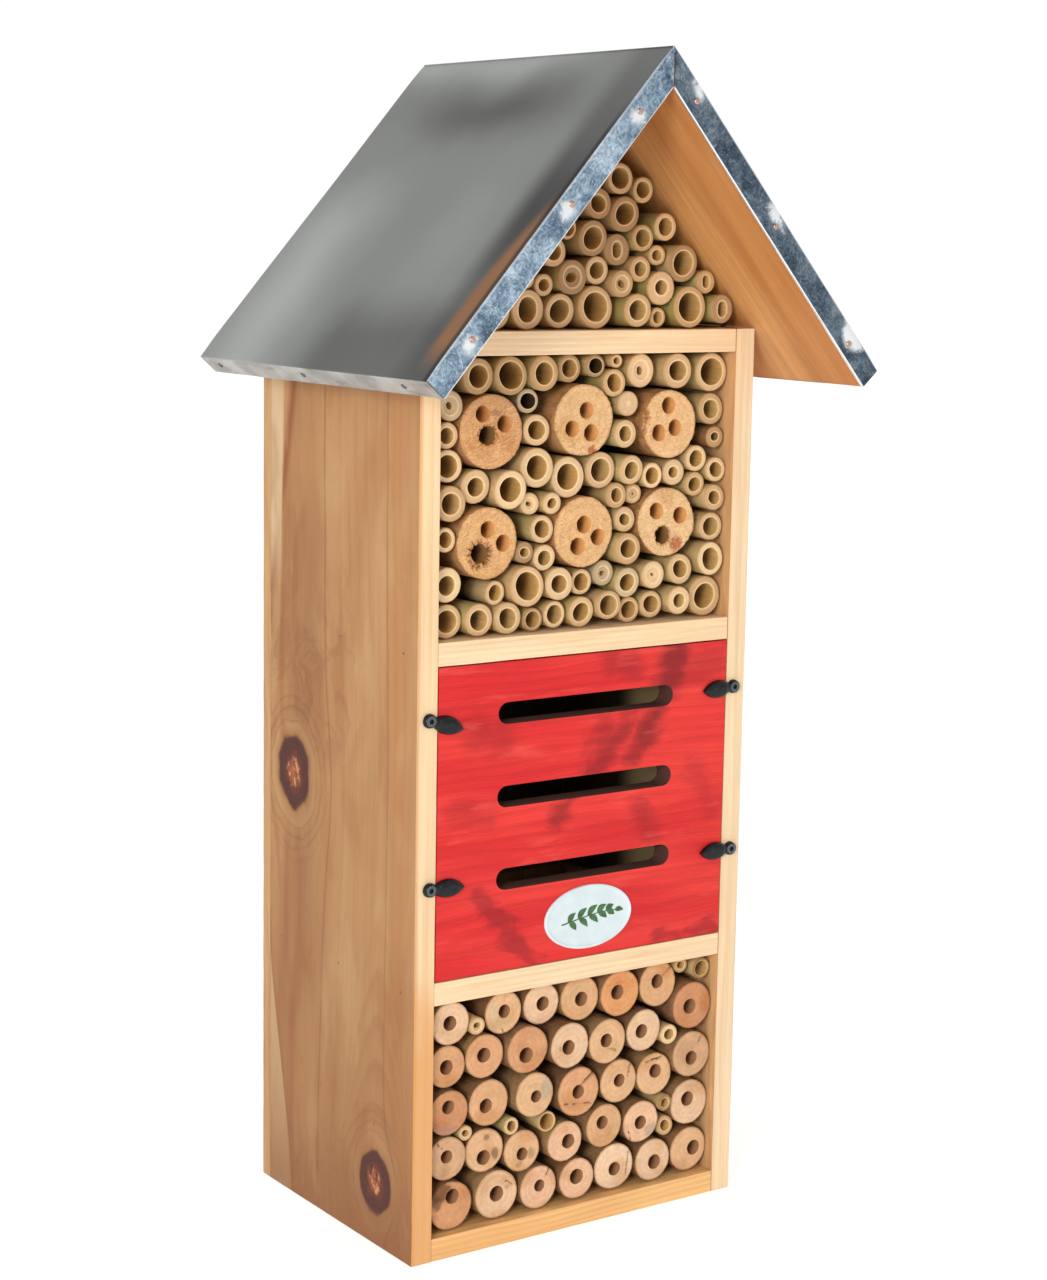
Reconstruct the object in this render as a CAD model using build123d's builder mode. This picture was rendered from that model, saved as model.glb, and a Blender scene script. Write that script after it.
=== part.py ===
from build123d import *
import math
import os

os.makedirs("parts", exist_ok=True)

# Insect hotel: a timber case with three compartments under a pitched roof.
# Millimetres, +Z up, origin on the ground under the middle of the roof.
# The open front of the case faces -Y.

# ------------------------------------------------------------ case
case_w = 205.0            # over the two side boards
board_t = 12.0            # all case boards
side_depth = 146.0        # side boards, shelves and bottom board
back_t = 8.0              # back panel, nailed on the boards' rear edges
side_h = 468.0
lower_shelf_z = 134.0     # underside of each shelf
middle_shelf_z = 305.5
upper_shelf_z = 456.0

# ------------------------------------------------------------ roof
pitch = 48.7              # degrees from the horizontal
roof_t = 12.0             # roof boards
sheet_t = 0.5             # metal covering
roof_depth = 220.0        # front rake to back rake, over the metal
roof_overhang = 58.5      # in front of the case
slope_len = 205.6         # along the slope of a roof board's top face
rake_drop = 13.0          # rake flange, measured square to the slope
eave_drop = 12.0          # eave flange, down the board's end
hem = 1.6                 # returned lower edge of a rake flange
mitre_slit = 0.8          # gap where the two rake flanges meet

# ------------------------------------------------------------ front panel
panel_gap = 0.5           # all round the removable panel
slot_len = 109.5
slot_h = 11.0
slot_x = 0.25             # middle of the slots
slot_z = (194.0, 236.5, 279.0)
stop_w = 8.0              # battens behind the panel
badge_a = 27.5            # half axes of the oval badge
badge_b = 16.8
badge_t = 1.2
badge_at = (3.0, 167.5)

# ------------------------------------------------------------ turn buttons
button_gap = 0.3          # behind the button
button_boss_r = 3.7
button_boss_t = 2.4
button_blade_t = 3.0
button_reach = 20.2       # pivot to the blade's point
button_half_w = 4.7
screw_r = 1.5             # shank
screw_clear = 0.06        # radial clearance of a button on its screw
screw_head_r = 2.8
screw_head_t = 1.3
screw_len = 18.0          # of the shank in the board
# pivot x, pivot z, tilt in degrees of a blade that points to the middle
top_left_pivot = (-95.5, 279.5, -16.0)
bottom_left_pivot = (-94.5, 194.5, -1.0)
top_right_pivot = (94.5, 280.0, -3.0)
bottom_right_pivot = (95.5, 192.0, -1.5)

# ------------------------------------------------------------ nails
brad_r = 0.8
brad_len = 30.0
brad_y = (12.6, 73.5, 133.7)     # behind the case front
back_nail_r = 0.8
back_nail_len = 28.0
roof_nail_r = 1.0
roof_nail_len = 31.5
roof_nail_y = (22.0, 118.0)      # into the side boards
roof_nail_back_at = (60.0, 125.0)  # down the slope, into the back panel's edge
rake_nail_r = 0.7
rake_nail_head_r = 1.6
rake_nail_len = 14.0
rake_nail_down = 6.2             # below the top face, square to the slope
left_rake_nail_at = (36.4, 94.3, 176.3)    # down the slope from the ridge
right_rake_nail_at = (28.4, 105.6, 182.2)
eave_nail_y = (-31.6, 61.6, 147.6)         # behind the case front
nail_head_t = 0.7

# ------------------------------------------------------------ hanger plate
hanger_w = 46.0
hanger_h = 18.0
hanger_t = 1.2
hanger_lift = 3.0         # middle of the plate, clear of the back panel
hanger_z = 520.0
hanger_hole_r = 4.5
hanger_slot_r = 2.3
hanger_slot_rise = 6.5
hanger_screw_at = 18.5

# ------------------------------------------------------------ filling
# The tubes, stems and logs lie along Y and end just short of the back panel.
tube_end = side_depth - 0.3
log_hole_depth = 95.0

# x, z, outer radius, bore radius, recess of the face, bore depth
#   (stems: x, z, outer radius, hole offset x and z, hole radius, recess, depth)
#   (logs: x, z, outer radius, recess; holes: offset x and z, radius)
bamboo_top_row_left_tubes = [
    (-82.27, 447.51, 7.72, 5.00, 9.0, 80),
    (-65.49, 445.95, 8.92, 5.60, 6.0, 73),
    (-46.58, 446.00, 9.77, 7.00, 5.5, 109),
    (-27.20, 446.90, 8.90, 5.60, 4.7, 92),
    (-10.20, 448.80, 7.00, 4.50, 7.2, 109),
    (5.60, 449.90, 5.90, 4.00, 6.9, 96),
]
bamboo_top_row_right_tubes = [
    (18.10, 452.20, 3.60, 2.00, 5.8, 41),
    (16.94, 441.14, 7.03, 4.80, 5.9, 106),
    (33.40, 447.10, 8.70, 2.40, 5.8, 42),
    (55.41, 446.68, 9.12, 5.60, 3.6, 72),
    (79.40, 445.50, 10.20, 7.20, 6.2, 99),
]
bamboo_between_upper_logs_tubes = [
    (-81.17, 432.04, 7.58, 2.10, 6.3, 46),
    (-34.60, 433.20, 6.40, 4.40, 8.0, 63),
    (-29.40, 418.70, 8.10, 5.10, 7.3, 59),
    (-83.70, 417.84, 6.60, 4.00, 5.0, 67),
    (25.52, 430.52, 6.40, 0.00, 5.4, 36),
    (23.57, 415.39, 7.20, 4.00, 4.6, 81),
    (81.10, 426.40, 8.30, 4.90, 7.9, 65),
    (83.20, 411.70, 5.80, 2.40, 6.7, 52),
]
bamboo_centre_row_left_tubes = [
    (-81.58, 402.76, 8.40, 5.60, 7.4, 63),
    (-65.40, 392.10, 8.65, 4.60, 7.3, 92),
    (-46.85, 390.04, 9.80, 6.20, 3.7, 102),
    (-29.43, 400.07, 10.00, 6.00, 6.3, 67),
    (-9.59, 394.46, 10.40, 6.60, 7.7, 66),
    (-81.45, 384.59, 8.85, 5.20, 4.5, 61),
    (-33.07, 382.26, 5.80, 1.70, 6.9, 54),
    (-21.46, 382.20, 5.60, 2.80, 4.2, 2),
]
bamboo_centre_row_right_tubes = [
    (10.55, 397.20, 9.30, 5.90, 7.6, 103),
    (27.67, 396.91, 7.60, 4.50, 4.3, 78),
    (41.68, 393.48, 6.60, 4.30, 5.0, 100),
    (56.14, 394.54, 7.10, 3.00, 6.0, 105),
    (70.10, 401.20, 6.80, 4.40, 5.2, 85),
    (83.40, 394.90, 6.60, 4.20, 5.3, 64),
    (70.38, 387.77, 6.40, 4.00, 6.1, 78),
    (81.92, 380.53, 7.00, 3.80, 4.0, 97),
    (20.04, 384.00, 6.60, 3.70, 6.4, 111),
    (31.96, 384.20, 5.10, 0.80, 7.8, 37),
]
bamboo_between_lower_logs_tubes = [
    (-84.13, 367.06, 6.17, 4.00, 4.6, 95),
    (-26.80, 369.40, 7.00, 4.60, 4.7, 77),
    (-35.63, 357.90, 5.53, 2.70, 7.0, 50),
    (-23.40, 354.60, 6.82, 3.80, 7.3, 95),
    (25.80, 371.51, 6.50, 3.30, 6.4, 60),
    (26.30, 356.59, 8.20, 4.80, 3.9, 58),
    (81.41, 365.14, 7.70, 4.90, 5.7, 69),
]
bamboo_second_row_left_tubes = [
    (-81.50, 344.50, 8.80, 4.90, 7.1, 80),
    (-53.13, 338.76, 6.20, 4.10, 6.8, 73),
    (-35.68, 341.25, 10.60, 7.60, 3.9, 77),
    (-15.30, 341.10, 8.40, 4.60, 5.4, 79),
    (0.15, 340.76, 6.83, 4.50, 7.9, 92),
]
bamboo_second_row_right_tubes = [
    (13.70, 344.50, 6.70, 1.80, 7.6, 34),
    (27.75, 338.95, 7.90, 4.60, 5.7, 86),
    (44.00, 342.00, 7.30, 1.10, 5.1, 31),
    (61.79, 343.81, 8.10, 4.70, 5.7, 90),
    (80.39, 348.46, 8.80, 5.90, 3.8, 107),
]
bamboo_bottom_row_left_tubes = [
    (-81.01, 326.30, 8.60, 5.70, 7.6, 98),
    (-63.89, 326.30, 8.30, 5.20, 4.8, 62),
    (-46.59, 325.80, 8.10, 5.30, 5.0, 92),
    (-30.51, 323.90, 6.20, 4.20, 6.3, 87),
    (-17.29, 325.54, 6.90, 4.80, 6.2, 115),
    (-1.04, 325.73, 8.03, 5.00, 5.8, 77),
]
bamboo_bottom_row_right_tubes = [
    (15.60, 328.20, 7.80, 5.20, 4.8, 58),
    (30.55, 324.40, 6.70, 4.60, 7.7, 109),
    (44.80, 326.20, 7.30, 4.70, 7.8, 112),
    (60.40, 327.60, 7.40, 3.60, 4.1, 106),
    (79.00, 328.50, 10.60, 6.80, 6.6, 103),
]
bamboo_lower_upper_set_tubes = [
    (-61.90, 118.30, 4.80, 1.90, 3.9, 37),
    (71.30, 128.80, 4.50, 2.40, 7.9, 52),
    (84.00, 125.60, 6.00, 4.40, 5.9, 101),
    (62.60, 92.41, 5.57, 3.10, 5.3, 104),
]
bamboo_lower_lower_set_tubes = [
    (-66.58, 61.69, 4.20, 2.10, 6.2, 46),
    (-38.72, 60.35, 4.85, 2.90, 5.5, 34),
    (-16.25, 58.50, 5.58, 4.38, 5.6, 86),
    (59.80, 55.20, 4.70, 2.70, 3.5, 49),
    (62.39, 41.01, 5.68, 3.20, 6.8, 110),
]
gable_bamboo_row_1_tubes = [
    (-87.70, 474.30, 5.20, 3.00, 5.8, 79),
    (-75.00, 476.50, 7.40, 4.60, 5.2, 87),
    (-58.00, 477.50, 9.30, 6.20, 4.0, 103),
    (-37.68, 478.02, 9.83, 6.30, 5.0, 79),
    (-17.81, 477.29, 8.68, 6.00, 5.7, 84),
    (2.99, 479.10, 10.90, 7.40, 4.5, 56),
    (27.30, 477.57, 8.79, 5.30, 1.5, 82),
    (41.80, 473.80, 5.10, 3.10, 4.0, 101),
    (60.83, 479.10, 10.60, 7.40, 2.0, 91),
    (81.70, 478.00, 7.60, 4.00, 2.0, 74),
]
gable_bamboo_row_2_tubes = [
    (-65.50, 490.50, 5.30, 3.00, 5.5, 90),
    (-52.00, 495.50, 7.00, 4.60, 4.8, 110),
    (-39.05, 493.53, 5.53, 3.00, 5.1, 84),
    (-27.58, 489.97, 5.60, 3.20, 5.9, 82),
    (-11.74, 493.92, 8.81, 3.40, 4.0, 59),
    (4.08, 497.28, 7.10, 4.50, 5.4, 109),
    (18.20, 490.73, 6.99, 2.50, 3.0, 43),
    (29.97, 498.02, 6.50, 3.80, 3.8, 90),
    (42.03, 488.58, 8.60, 3.80, 2.0, 98),
    (71.97, 491.70, 6.00, 3.20, 3.5, 58),
]
gable_bamboo_row_3_tubes = [
    (-52.00, 510.50, 5.80, 3.20, 5.1, 110),
    (-38.29, 506.50, 7.20, 4.80, 3.6, 115),
    (-23.06, 506.38, 7.81, 4.50, 4.7, 91),
    (0.28, 513.08, 8.93, 6.00, 4.0, 62),
    (16.64, 507.45, 8.15, 4.00, 5.9, 84),
    (31.02, 513.48, 6.74, 4.50, 3.6, 57),
    (40.80, 505.00, 5.20, 2.90, 4.3, 46),
    (56.50, 501.00, 9.60, 6.30, 3.0, 65),
]
gable_bamboo_row_4_tubes = [
    (-38.29, 521.47, 5.63, 3.60, 5.7, 110),
    (-25.68, 522.73, 6.82, 4.40, 6.0, 75),
    (-14.02, 517.80, 5.62, 4.00, 5.8, 101),
    (3.75, 530.04, 7.90, 4.60, 4.5, 84),
    (-10.37, 530.00, 6.00, 3.40, 5.9, 89),
    (20.05, 525.14, 8.90, 5.90, 4.3, 76),
    (43.78, 519.22, 7.04, 4.60, 2.0, 70),
]
gable_bamboo_row_5_tubes = [
    (-21.50, 537.30, 6.40, 4.20, 3.6, 84),
    (-9.51, 543.40, 4.68, 3.00, 4.2, 70),
    (1.86, 545.63, 6.68, 4.20, 5.6, 111),
    (16.37, 542.58, 7.93, 5.30, 4.0, 56),
    (30.05, 537.21, 6.55, 4.20, 3.0, 86),
    (-7.00, 556.80, 6.20, 4.00, 4.6, 84),
    (9.00, 558.80, 5.60, 3.40, 3.9, 96),
]
stem_row_1_pieces = [
    (-76.10, 25.50, 13.10, 0.90, 4.80, 4.00, 4.6, 84),
    (-47.90, 25.60, 13.10, 0.00, 0.40, 4.20, 4.7, 82),
    (-21.79, 24.10, 11.91, 0.80, 0.80, 3.30, 4.5, 88),
    (2.41, 24.26, 11.34, -0.10, 1.00, 4.20, 3.9, 97),
    (27.80, 25.30, 12.97, 0.50, -1.50, 3.80, 5.4, 98),
    (52.99, 24.28, 11.91, 1.30, -1.50, 4.10, 4.5, 89),
    (77.70, 25.32, 12.61, 3.70, 0.00, 4.20, 5.2, 78),
]
stem_row_2_pieces = [
    (-78.62, 51.01, 11.68, -0.20, 1.00, 3.50, 4.7, 89),
    (-54.75, 50.11, 11.99, -0.30, -3.80, 4.00, 6.6, 81),
    (-31.59, 45.49, 11.41, 0.30, -1.80, 3.50, 6.1, 94),
    (-5.06, 45.74, 11.18, 2.20, -0.30, 4.00, 4.8, 77),
    (20.06, 49.70, 12.04, -1.30, 2.00, 3.70, 4.4, 91),
    (44.30, 47.30, 11.80, 0.00, -0.50, 3.80, 4.5, 92),
    (77.54, 51.89, 12.76, -0.90, 1.90, 4.10, 5.5, 95),
]
stem_row_3_pieces = [
    (-77.99, 75.01, 12.10, -0.30, 3.10, 3.70, 4.7, 77),
    (-53.11, 75.60, 12.57, -1.70, -1.30, 3.90, 5.5, 93),
    (-25.70, 75.30, 12.10, 1.00, -1.00, 3.30, 3.6, 81),
    (2.60, 71.70, 13.50, 0.00, -0.10, 3.80, 4.2, 93),
    (29.68, 72.21, 12.22, 0.70, 0.20, 3.60, 5.6, 76),
    (53.80, 71.54, 11.71, 0.90, 1.60, 3.80, 6.2, 77),
    (77.40, 79.25, 12.91, 0.00, -2.30, 3.90, 4.2, 91),
]
stem_row_4_pieces = [
    (-78.98, 99.38, 11.32, -0.20, -0.30, 3.90, 5.3, 79),
    (-55.66, 100.63, 11.82, -0.50, 0.70, 4.00, 6.1, 79),
    (-30.10, 100.13, 12.73, -0.80, -2.80, 4.20, 4.4, 91),
    (-3.62, 98.00, 12.51, -0.80, -1.00, 4.00, 4.0, 85),
    (21.39, 95.65, 12.39, -0.70, 0.60, 3.80, 4.9, 90),
    (45.74, 97.43, 11.81, -1.40, -0.30, 3.90, 5.7, 95),
    (77.22, 106.30, 13.08, -1.50, -0.30, 4.20, 4.6, 94),
]
stem_row_5_pieces = [
    (-78.18, 122.35, 11.45, -0.40, 0.20, 3.90, 3.6, 92),
    (-44.20, 121.80, 11.62, 0.70, 0.50, 3.60, 6.6, 94),
    (-20.50, 122.45, 11.35, 1.00, 0.00, 3.90, 6.7, 89),
    (3.90, 121.68, 12.12, 1.00, -0.70, 3.90, 6.5, 93),
    (29.30, 120.60, 12.84, -1.70, 0.70, 4.10, 5.5, 77),
    (55.30, 121.15, 12.65, -0.20, 1.40, 3.90, 7.0, 76),
]
log_upper_left_at = (-57.27, 418.81, 19.05, 6.1)
log_upper_left_holes = [(-4.8, 8.8, 4.2), (7.8, 3.6, 4.3), (-2.0, -1.8, 4.9)]
log_upper_centre_at = (-1.61, 422.82, 18.83, 5.8)
log_upper_centre_holes = [(1.5, 5.0, 4.3), (-7.0, -4.0, 4.2), (4.7, -6.4, 4.4)]
log_upper_right_at = (51.97, 419.53, 18.02, 5.1)
log_upper_right_holes = [(-0.5, 9.5, 4.4), (-6.7, -4.3, 4.4), (3.8, -2.0, 4.3)]
log_lower_left_at = (-59.27, 364.03, 18.67, 5.2)
log_lower_left_holes = [(0.2, 6.8, 4.3), (9.5, -0.4, 4.3), (-4.3, -5.0, 5.0)]
log_lower_centre_at = (-0.40, 366.60, 18.70, 5.9)
log_lower_centre_holes = [(0.2, 3.7, 4.5), (-3.3, -7.3, 4.5), (8.9, -3.1, 4.3)]
log_lower_right_at = (52.09, 368.93, 18.60, 5.9)
log_lower_right_holes = [(-6.0, 5.9, 4.4), (9.0, 3.1, 4.4), (-2.0, -6.9, 4.6)]

# ------------------------------------------------------------ derived
a = math.radians(pitch)
ca, sa, ta = math.cos(a), math.sin(a), math.tan(a)
case_front = -(roof_depth / 2 - roof_overhang)
case_back = case_front + side_depth
half_w = case_w / 2
inner_w = case_w / 2 - board_t
# the roof's underside rests on the outer top corners of the side boards
apex_in = side_h + half_w * ta
apex_board = apex_in + roof_t / ca
apex_sheet = apex_in + (roof_t + sheet_t) / ca
roof_front = -roof_depth / 2


def slope_point(side, along, down):
    """A point on a roof slope: along from the ridge, down from the sheet's top face."""
    x = along * ca - down * sa
    z = apex_sheet - along * sa - down * ca
    return (side * x, z)


def roof_nail_plane(side, along, y):
    """Plane on a roof board's top face with its normal pointing into the wood."""
    x, z = slope_point(side, along, sheet_t)
    return Plane(origin=(x, y, z), x_dir=(0, 1, 0), z_dir=(-side * sa, 0, -ca))


def eave_nail_plane(side, y):
    """Plane on the outside of an eave flange with its normal pointing up the slope."""
    x, z = slope_point(side, slope_len + sheet_t, rake_nail_down)
    return Plane(origin=(x, y, z), x_dir=(0, 1, 0), z_dir=(-side * ca, 0, sa))


def front_plane(x, z, y):
    return Plane(origin=(x, y, z), x_dir=(1, 0, 0), z_dir=(0, -1, 0))


def button_plane(side, pivot, y):
    """Plane with its local x along a button's blade, side -1 on the left board."""
    px, pz, tilt = pivot
    t = math.radians(tilt)
    return Plane(origin=(px, y, pz), x_dir=(-side * math.cos(t), 0, math.sin(t)), z_dir=(0, -1, 0))


all_brad_z = (board_t / 2, lower_shelf_z + board_t / 2, middle_shelf_z + board_t / 2, upper_shelf_z + board_t / 2)
# along the slope where a nail square to it meets the top of a side board
side_nail_along = (half_w - 4.0 * ca * ca) / ca + (roof_t + sheet_t) * ta
back_nail_points = [(s * (half_w - board_t / 2), z) for s in (-1, 1) for z in (30.0, 165.0, 290.0, 430.0)] + \
                   [(x, z) for x in (-45.0, 45.0) for z in (board_t / 2, upper_shelf_z + board_t / 2)]

# ============================================================ case boards

with BuildPart() as left_side_board:
    with BuildSketch(Plane.XY):
        with Locations((-half_w + board_t / 2, case_front + side_depth / 2)):
            Rectangle(board_t, side_depth)
    extrude(amount=side_h)
    for z in all_brad_z:
        for y in brad_y:
            with BuildSketch(Plane(origin=(-half_w, case_front + y, z), x_dir=(0, 1, 0), z_dir=(1, 0, 0))):
                Circle(brad_r)
            extrude(amount=board_t, mode=Mode.SUBTRACT)
    for px, pz, tilt in (top_left_pivot, bottom_left_pivot):
        with BuildSketch(front_plane(px, pz, case_front)):
            Circle(screw_r)
        extrude(amount=-screw_len, mode=Mode.SUBTRACT)
    for x, z in back_nail_points:
        if x < -half_w + board_t:
            with BuildSketch(front_plane(x, z, case_back)):
                Circle(back_nail_r)
            extrude(amount=back_nail_len - back_t, mode=Mode.SUBTRACT)
    for y in roof_nail_y:
        with BuildSketch(roof_nail_plane(-1, side_nail_along, case_front + y)):
            Circle(roof_nail_r)
        extrude(amount=roof_nail_len, mode=Mode.SUBTRACT)
left_side_board.part.label = "left_side_board"
export_step(left_side_board.part, "parts/left_side_board.step")

with BuildPart() as right_side_board:
    with BuildSketch(Plane.XY):
        with Locations((half_w - board_t / 2, case_front + side_depth / 2)):
            Rectangle(board_t, side_depth)
    extrude(amount=side_h)
    for z in all_brad_z:
        for y in brad_y:
            with BuildSketch(Plane(origin=(half_w, case_front + y, z), x_dir=(0, 1, 0), z_dir=(-1, 0, 0))):
                Circle(brad_r)
            extrude(amount=board_t, mode=Mode.SUBTRACT)
    for px, pz, tilt in (top_right_pivot, bottom_right_pivot):
        with BuildSketch(front_plane(px, pz, case_front)):
            Circle(screw_r)
        extrude(amount=-screw_len, mode=Mode.SUBTRACT)
    for x, z in back_nail_points:
        if x > half_w - board_t:
            with BuildSketch(front_plane(x, z, case_back)):
                Circle(back_nail_r)
            extrude(amount=back_nail_len - back_t, mode=Mode.SUBTRACT)
    for y in roof_nail_y:
        with BuildSketch(roof_nail_plane(1, side_nail_along, case_front + y)):
            Circle(roof_nail_r)
        extrude(amount=roof_nail_len, mode=Mode.SUBTRACT)
right_side_board.part.label = "right_side_board"
export_step(right_side_board.part, "parts/right_side_board.step")

with BuildPart() as bottom_board:
    with BuildSketch(Plane.XY):
        with Locations((0, case_front + side_depth / 2)):
            Rectangle(2 * inner_w, side_depth)
    extrude(amount=board_t)
    for s in (-1, 1):
        for y in brad_y:
            with BuildSketch(Plane(origin=(s * half_w, case_front + y, board_t / 2), x_dir=(0, 1, 0), z_dir=(-s, 0, 0))):
                Circle(brad_r)
            extrude(amount=brad_len, mode=Mode.SUBTRACT)
    for x, z in back_nail_points:
        if z < board_t:
            with BuildSketch(front_plane(x, z, case_back)):
                Circle(back_nail_r)
            extrude(amount=back_nail_len - back_t, mode=Mode.SUBTRACT)
bottom_board.part.label = "bottom_board"
export_step(bottom_board.part, "parts/bottom_board.step")

with BuildPart() as lower_shelf:
    with BuildSketch(Plane.XY.offset(lower_shelf_z)):
        with Locations((0, case_front + side_depth / 2)):
            Rectangle(2 * inner_w, side_depth)
    extrude(amount=board_t)
    for s in (-1, 1):
        for y in brad_y:
            with BuildSketch(Plane(origin=(s * half_w, case_front + y, lower_shelf_z + board_t / 2), x_dir=(0, 1, 0), z_dir=(-s, 0, 0))):
                Circle(brad_r)
            extrude(amount=brad_len, mode=Mode.SUBTRACT)
lower_shelf.part.label = "lower_shelf"
export_step(lower_shelf.part, "parts/lower_shelf.step")

with BuildPart() as middle_shelf:
    with BuildSketch(Plane.XY.offset(middle_shelf_z)):
        with Locations((0, case_front + side_depth / 2)):
            Rectangle(2 * inner_w, side_depth)
    extrude(amount=board_t)
    for s in (-1, 1):
        for y in brad_y:
            with BuildSketch(Plane(origin=(s * half_w, case_front + y, middle_shelf_z + board_t / 2), x_dir=(0, 1, 0), z_dir=(-s, 0, 0))):
                Circle(brad_r)
            extrude(amount=brad_len, mode=Mode.SUBTRACT)
middle_shelf.part.label = "middle_shelf"
export_step(middle_shelf.part, "parts/middle_shelf.step")

with BuildPart() as upper_shelf:
    with BuildSketch(Plane.XY.offset(upper_shelf_z)):
        with Locations((0, case_front + side_depth / 2)):
            Rectangle(2 * inner_w, side_depth)
    extrude(amount=board_t)
    for s in (-1, 1):
        for y in brad_y:
            with BuildSketch(Plane(origin=(s * half_w, case_front + y, upper_shelf_z + board_t / 2), x_dir=(0, 1, 0), z_dir=(-s, 0, 0))):
                Circle(brad_r)
            extrude(amount=brad_len, mode=Mode.SUBTRACT)
        for y in roof_nail_y:
            with BuildSketch(roof_nail_plane(s, side_nail_along, case_front + y)):
                Circle(roof_nail_r)
            extrude(amount=roof_nail_len, mode=Mode.SUBTRACT)
    for x, z in back_nail_points:
        if z > upper_shelf_z:
            with BuildSketch(front_plane(x, z, case_back)):
                Circle(back_nail_r)
            extrude(amount=back_nail_len - back_t, mode=Mode.SUBTRACT)
upper_shelf.part.label = "upper_shelf"
export_step(upper_shelf.part, "parts/upper_shelf.step")

with BuildPart() as back_panel:
    with BuildSketch(front_plane(0, 0, case_back + back_t)):
        with BuildLine():
            Polyline((-half_w, 0), (half_w, 0), (half_w, side_h), (0, apex_in), (-half_w, side_h), close=True)
        make_face()
    extrude(amount=back_t)
    for x, z in back_nail_points:
        with BuildSketch(front_plane(x, z, case_back + back_t)):
            Circle(back_nail_r)
        extrude(amount=back_t, mode=Mode.SUBTRACT)
    for s in (-1, 1):
        for along in roof_nail_back_at:
            with BuildSketch(roof_nail_plane(s, along, case_back + back_t / 2)):
                Circle(roof_nail_r)
            extrude(amount=roof_nail_len, mode=Mode.SUBTRACT)
        with BuildSketch(front_plane(s * hanger_screw_at, hanger_z, case_back + back_t)):
            Circle(screw_r)
        extrude(amount=back_t - 1.0, mode=Mode.SUBTRACT)
back_panel.part.label = "back_panel"
export_step(back_panel.part, "parts/back_panel.step")

# ============================================================ roof

with BuildPart() as left_roof_board:
    with BuildSketch(front_plane(0, 0, roof_front + sheet_t)):
        with BuildLine():
            Polyline((0, apex_in), (0, apex_board),
                     slope_point(-1, slope_len, sheet_t), slope_point(-1, slope_len, sheet_t + roof_t), close=True)
        make_face()
    extrude(amount=-(roof_depth - 2 * sheet_t))
    for along in left_rake_nail_at:
        x, z = slope_point(-1, along, rake_nail_down)
        for y, d in ((roof_front, -1), (-roof_front, 1)):
            with BuildSketch(front_plane(x, z, y)):
                Circle(rake_nail_r)
            extrude(amount=d * rake_nail_len, mode=Mode.SUBTRACT)
    for y in eave_nail_y:
        with BuildSketch(eave_nail_plane(-1, case_front + y)):
            Circle(rake_nail_r)
        extrude(amount=rake_nail_len, mode=Mode.SUBTRACT)
    for along, y in [(side_nail_along, v) for v in roof_nail_y] + [(v, side_depth + back_t / 2) for v in roof_nail_back_at]:
        with BuildSketch(roof_nail_plane(-1, along, case_front + y)):
            Circle(roof_nail_r)
        extrude(amount=roof_nail_len, mode=Mode.SUBTRACT)
left_roof_board.part.label = "left_roof_board"
export_step(left_roof_board.part, "parts/left_roof_board.step")

with BuildPart() as right_roof_board:
    with BuildSketch(front_plane(0, 0, roof_front + sheet_t)):
        with BuildLine():
            Polyline((0, apex_in), (0, apex_board),
                     slope_point(1, slope_len, sheet_t), slope_point(1, slope_len, sheet_t + roof_t), close=True)
        make_face()
    extrude(amount=-(roof_depth - 2 * sheet_t))
    for along in right_rake_nail_at:
        x, z = slope_point(1, along, rake_nail_down)
        for y, d in ((roof_front, -1), (-roof_front, 1)):
            with BuildSketch(front_plane(x, z, y)):
                Circle(rake_nail_r)
            extrude(amount=d * rake_nail_len, mode=Mode.SUBTRACT)
    for y in eave_nail_y:
        with BuildSketch(eave_nail_plane(1, case_front + y)):
            Circle(rake_nail_r)
        extrude(amount=rake_nail_len, mode=Mode.SUBTRACT)
    for along, y in [(side_nail_along, v) for v in roof_nail_y] + [(v, side_depth + back_t / 2) for v in roof_nail_back_at]:
        with BuildSketch(roof_nail_plane(1, along, case_front + y)):
            Circle(roof_nail_r)
        extrude(amount=roof_nail_len, mode=Mode.SUBTRACT)
right_roof_board.part.label = "right_roof_board"
export_step(right_roof_board.part, "parts/right_roof_board.step")

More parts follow.
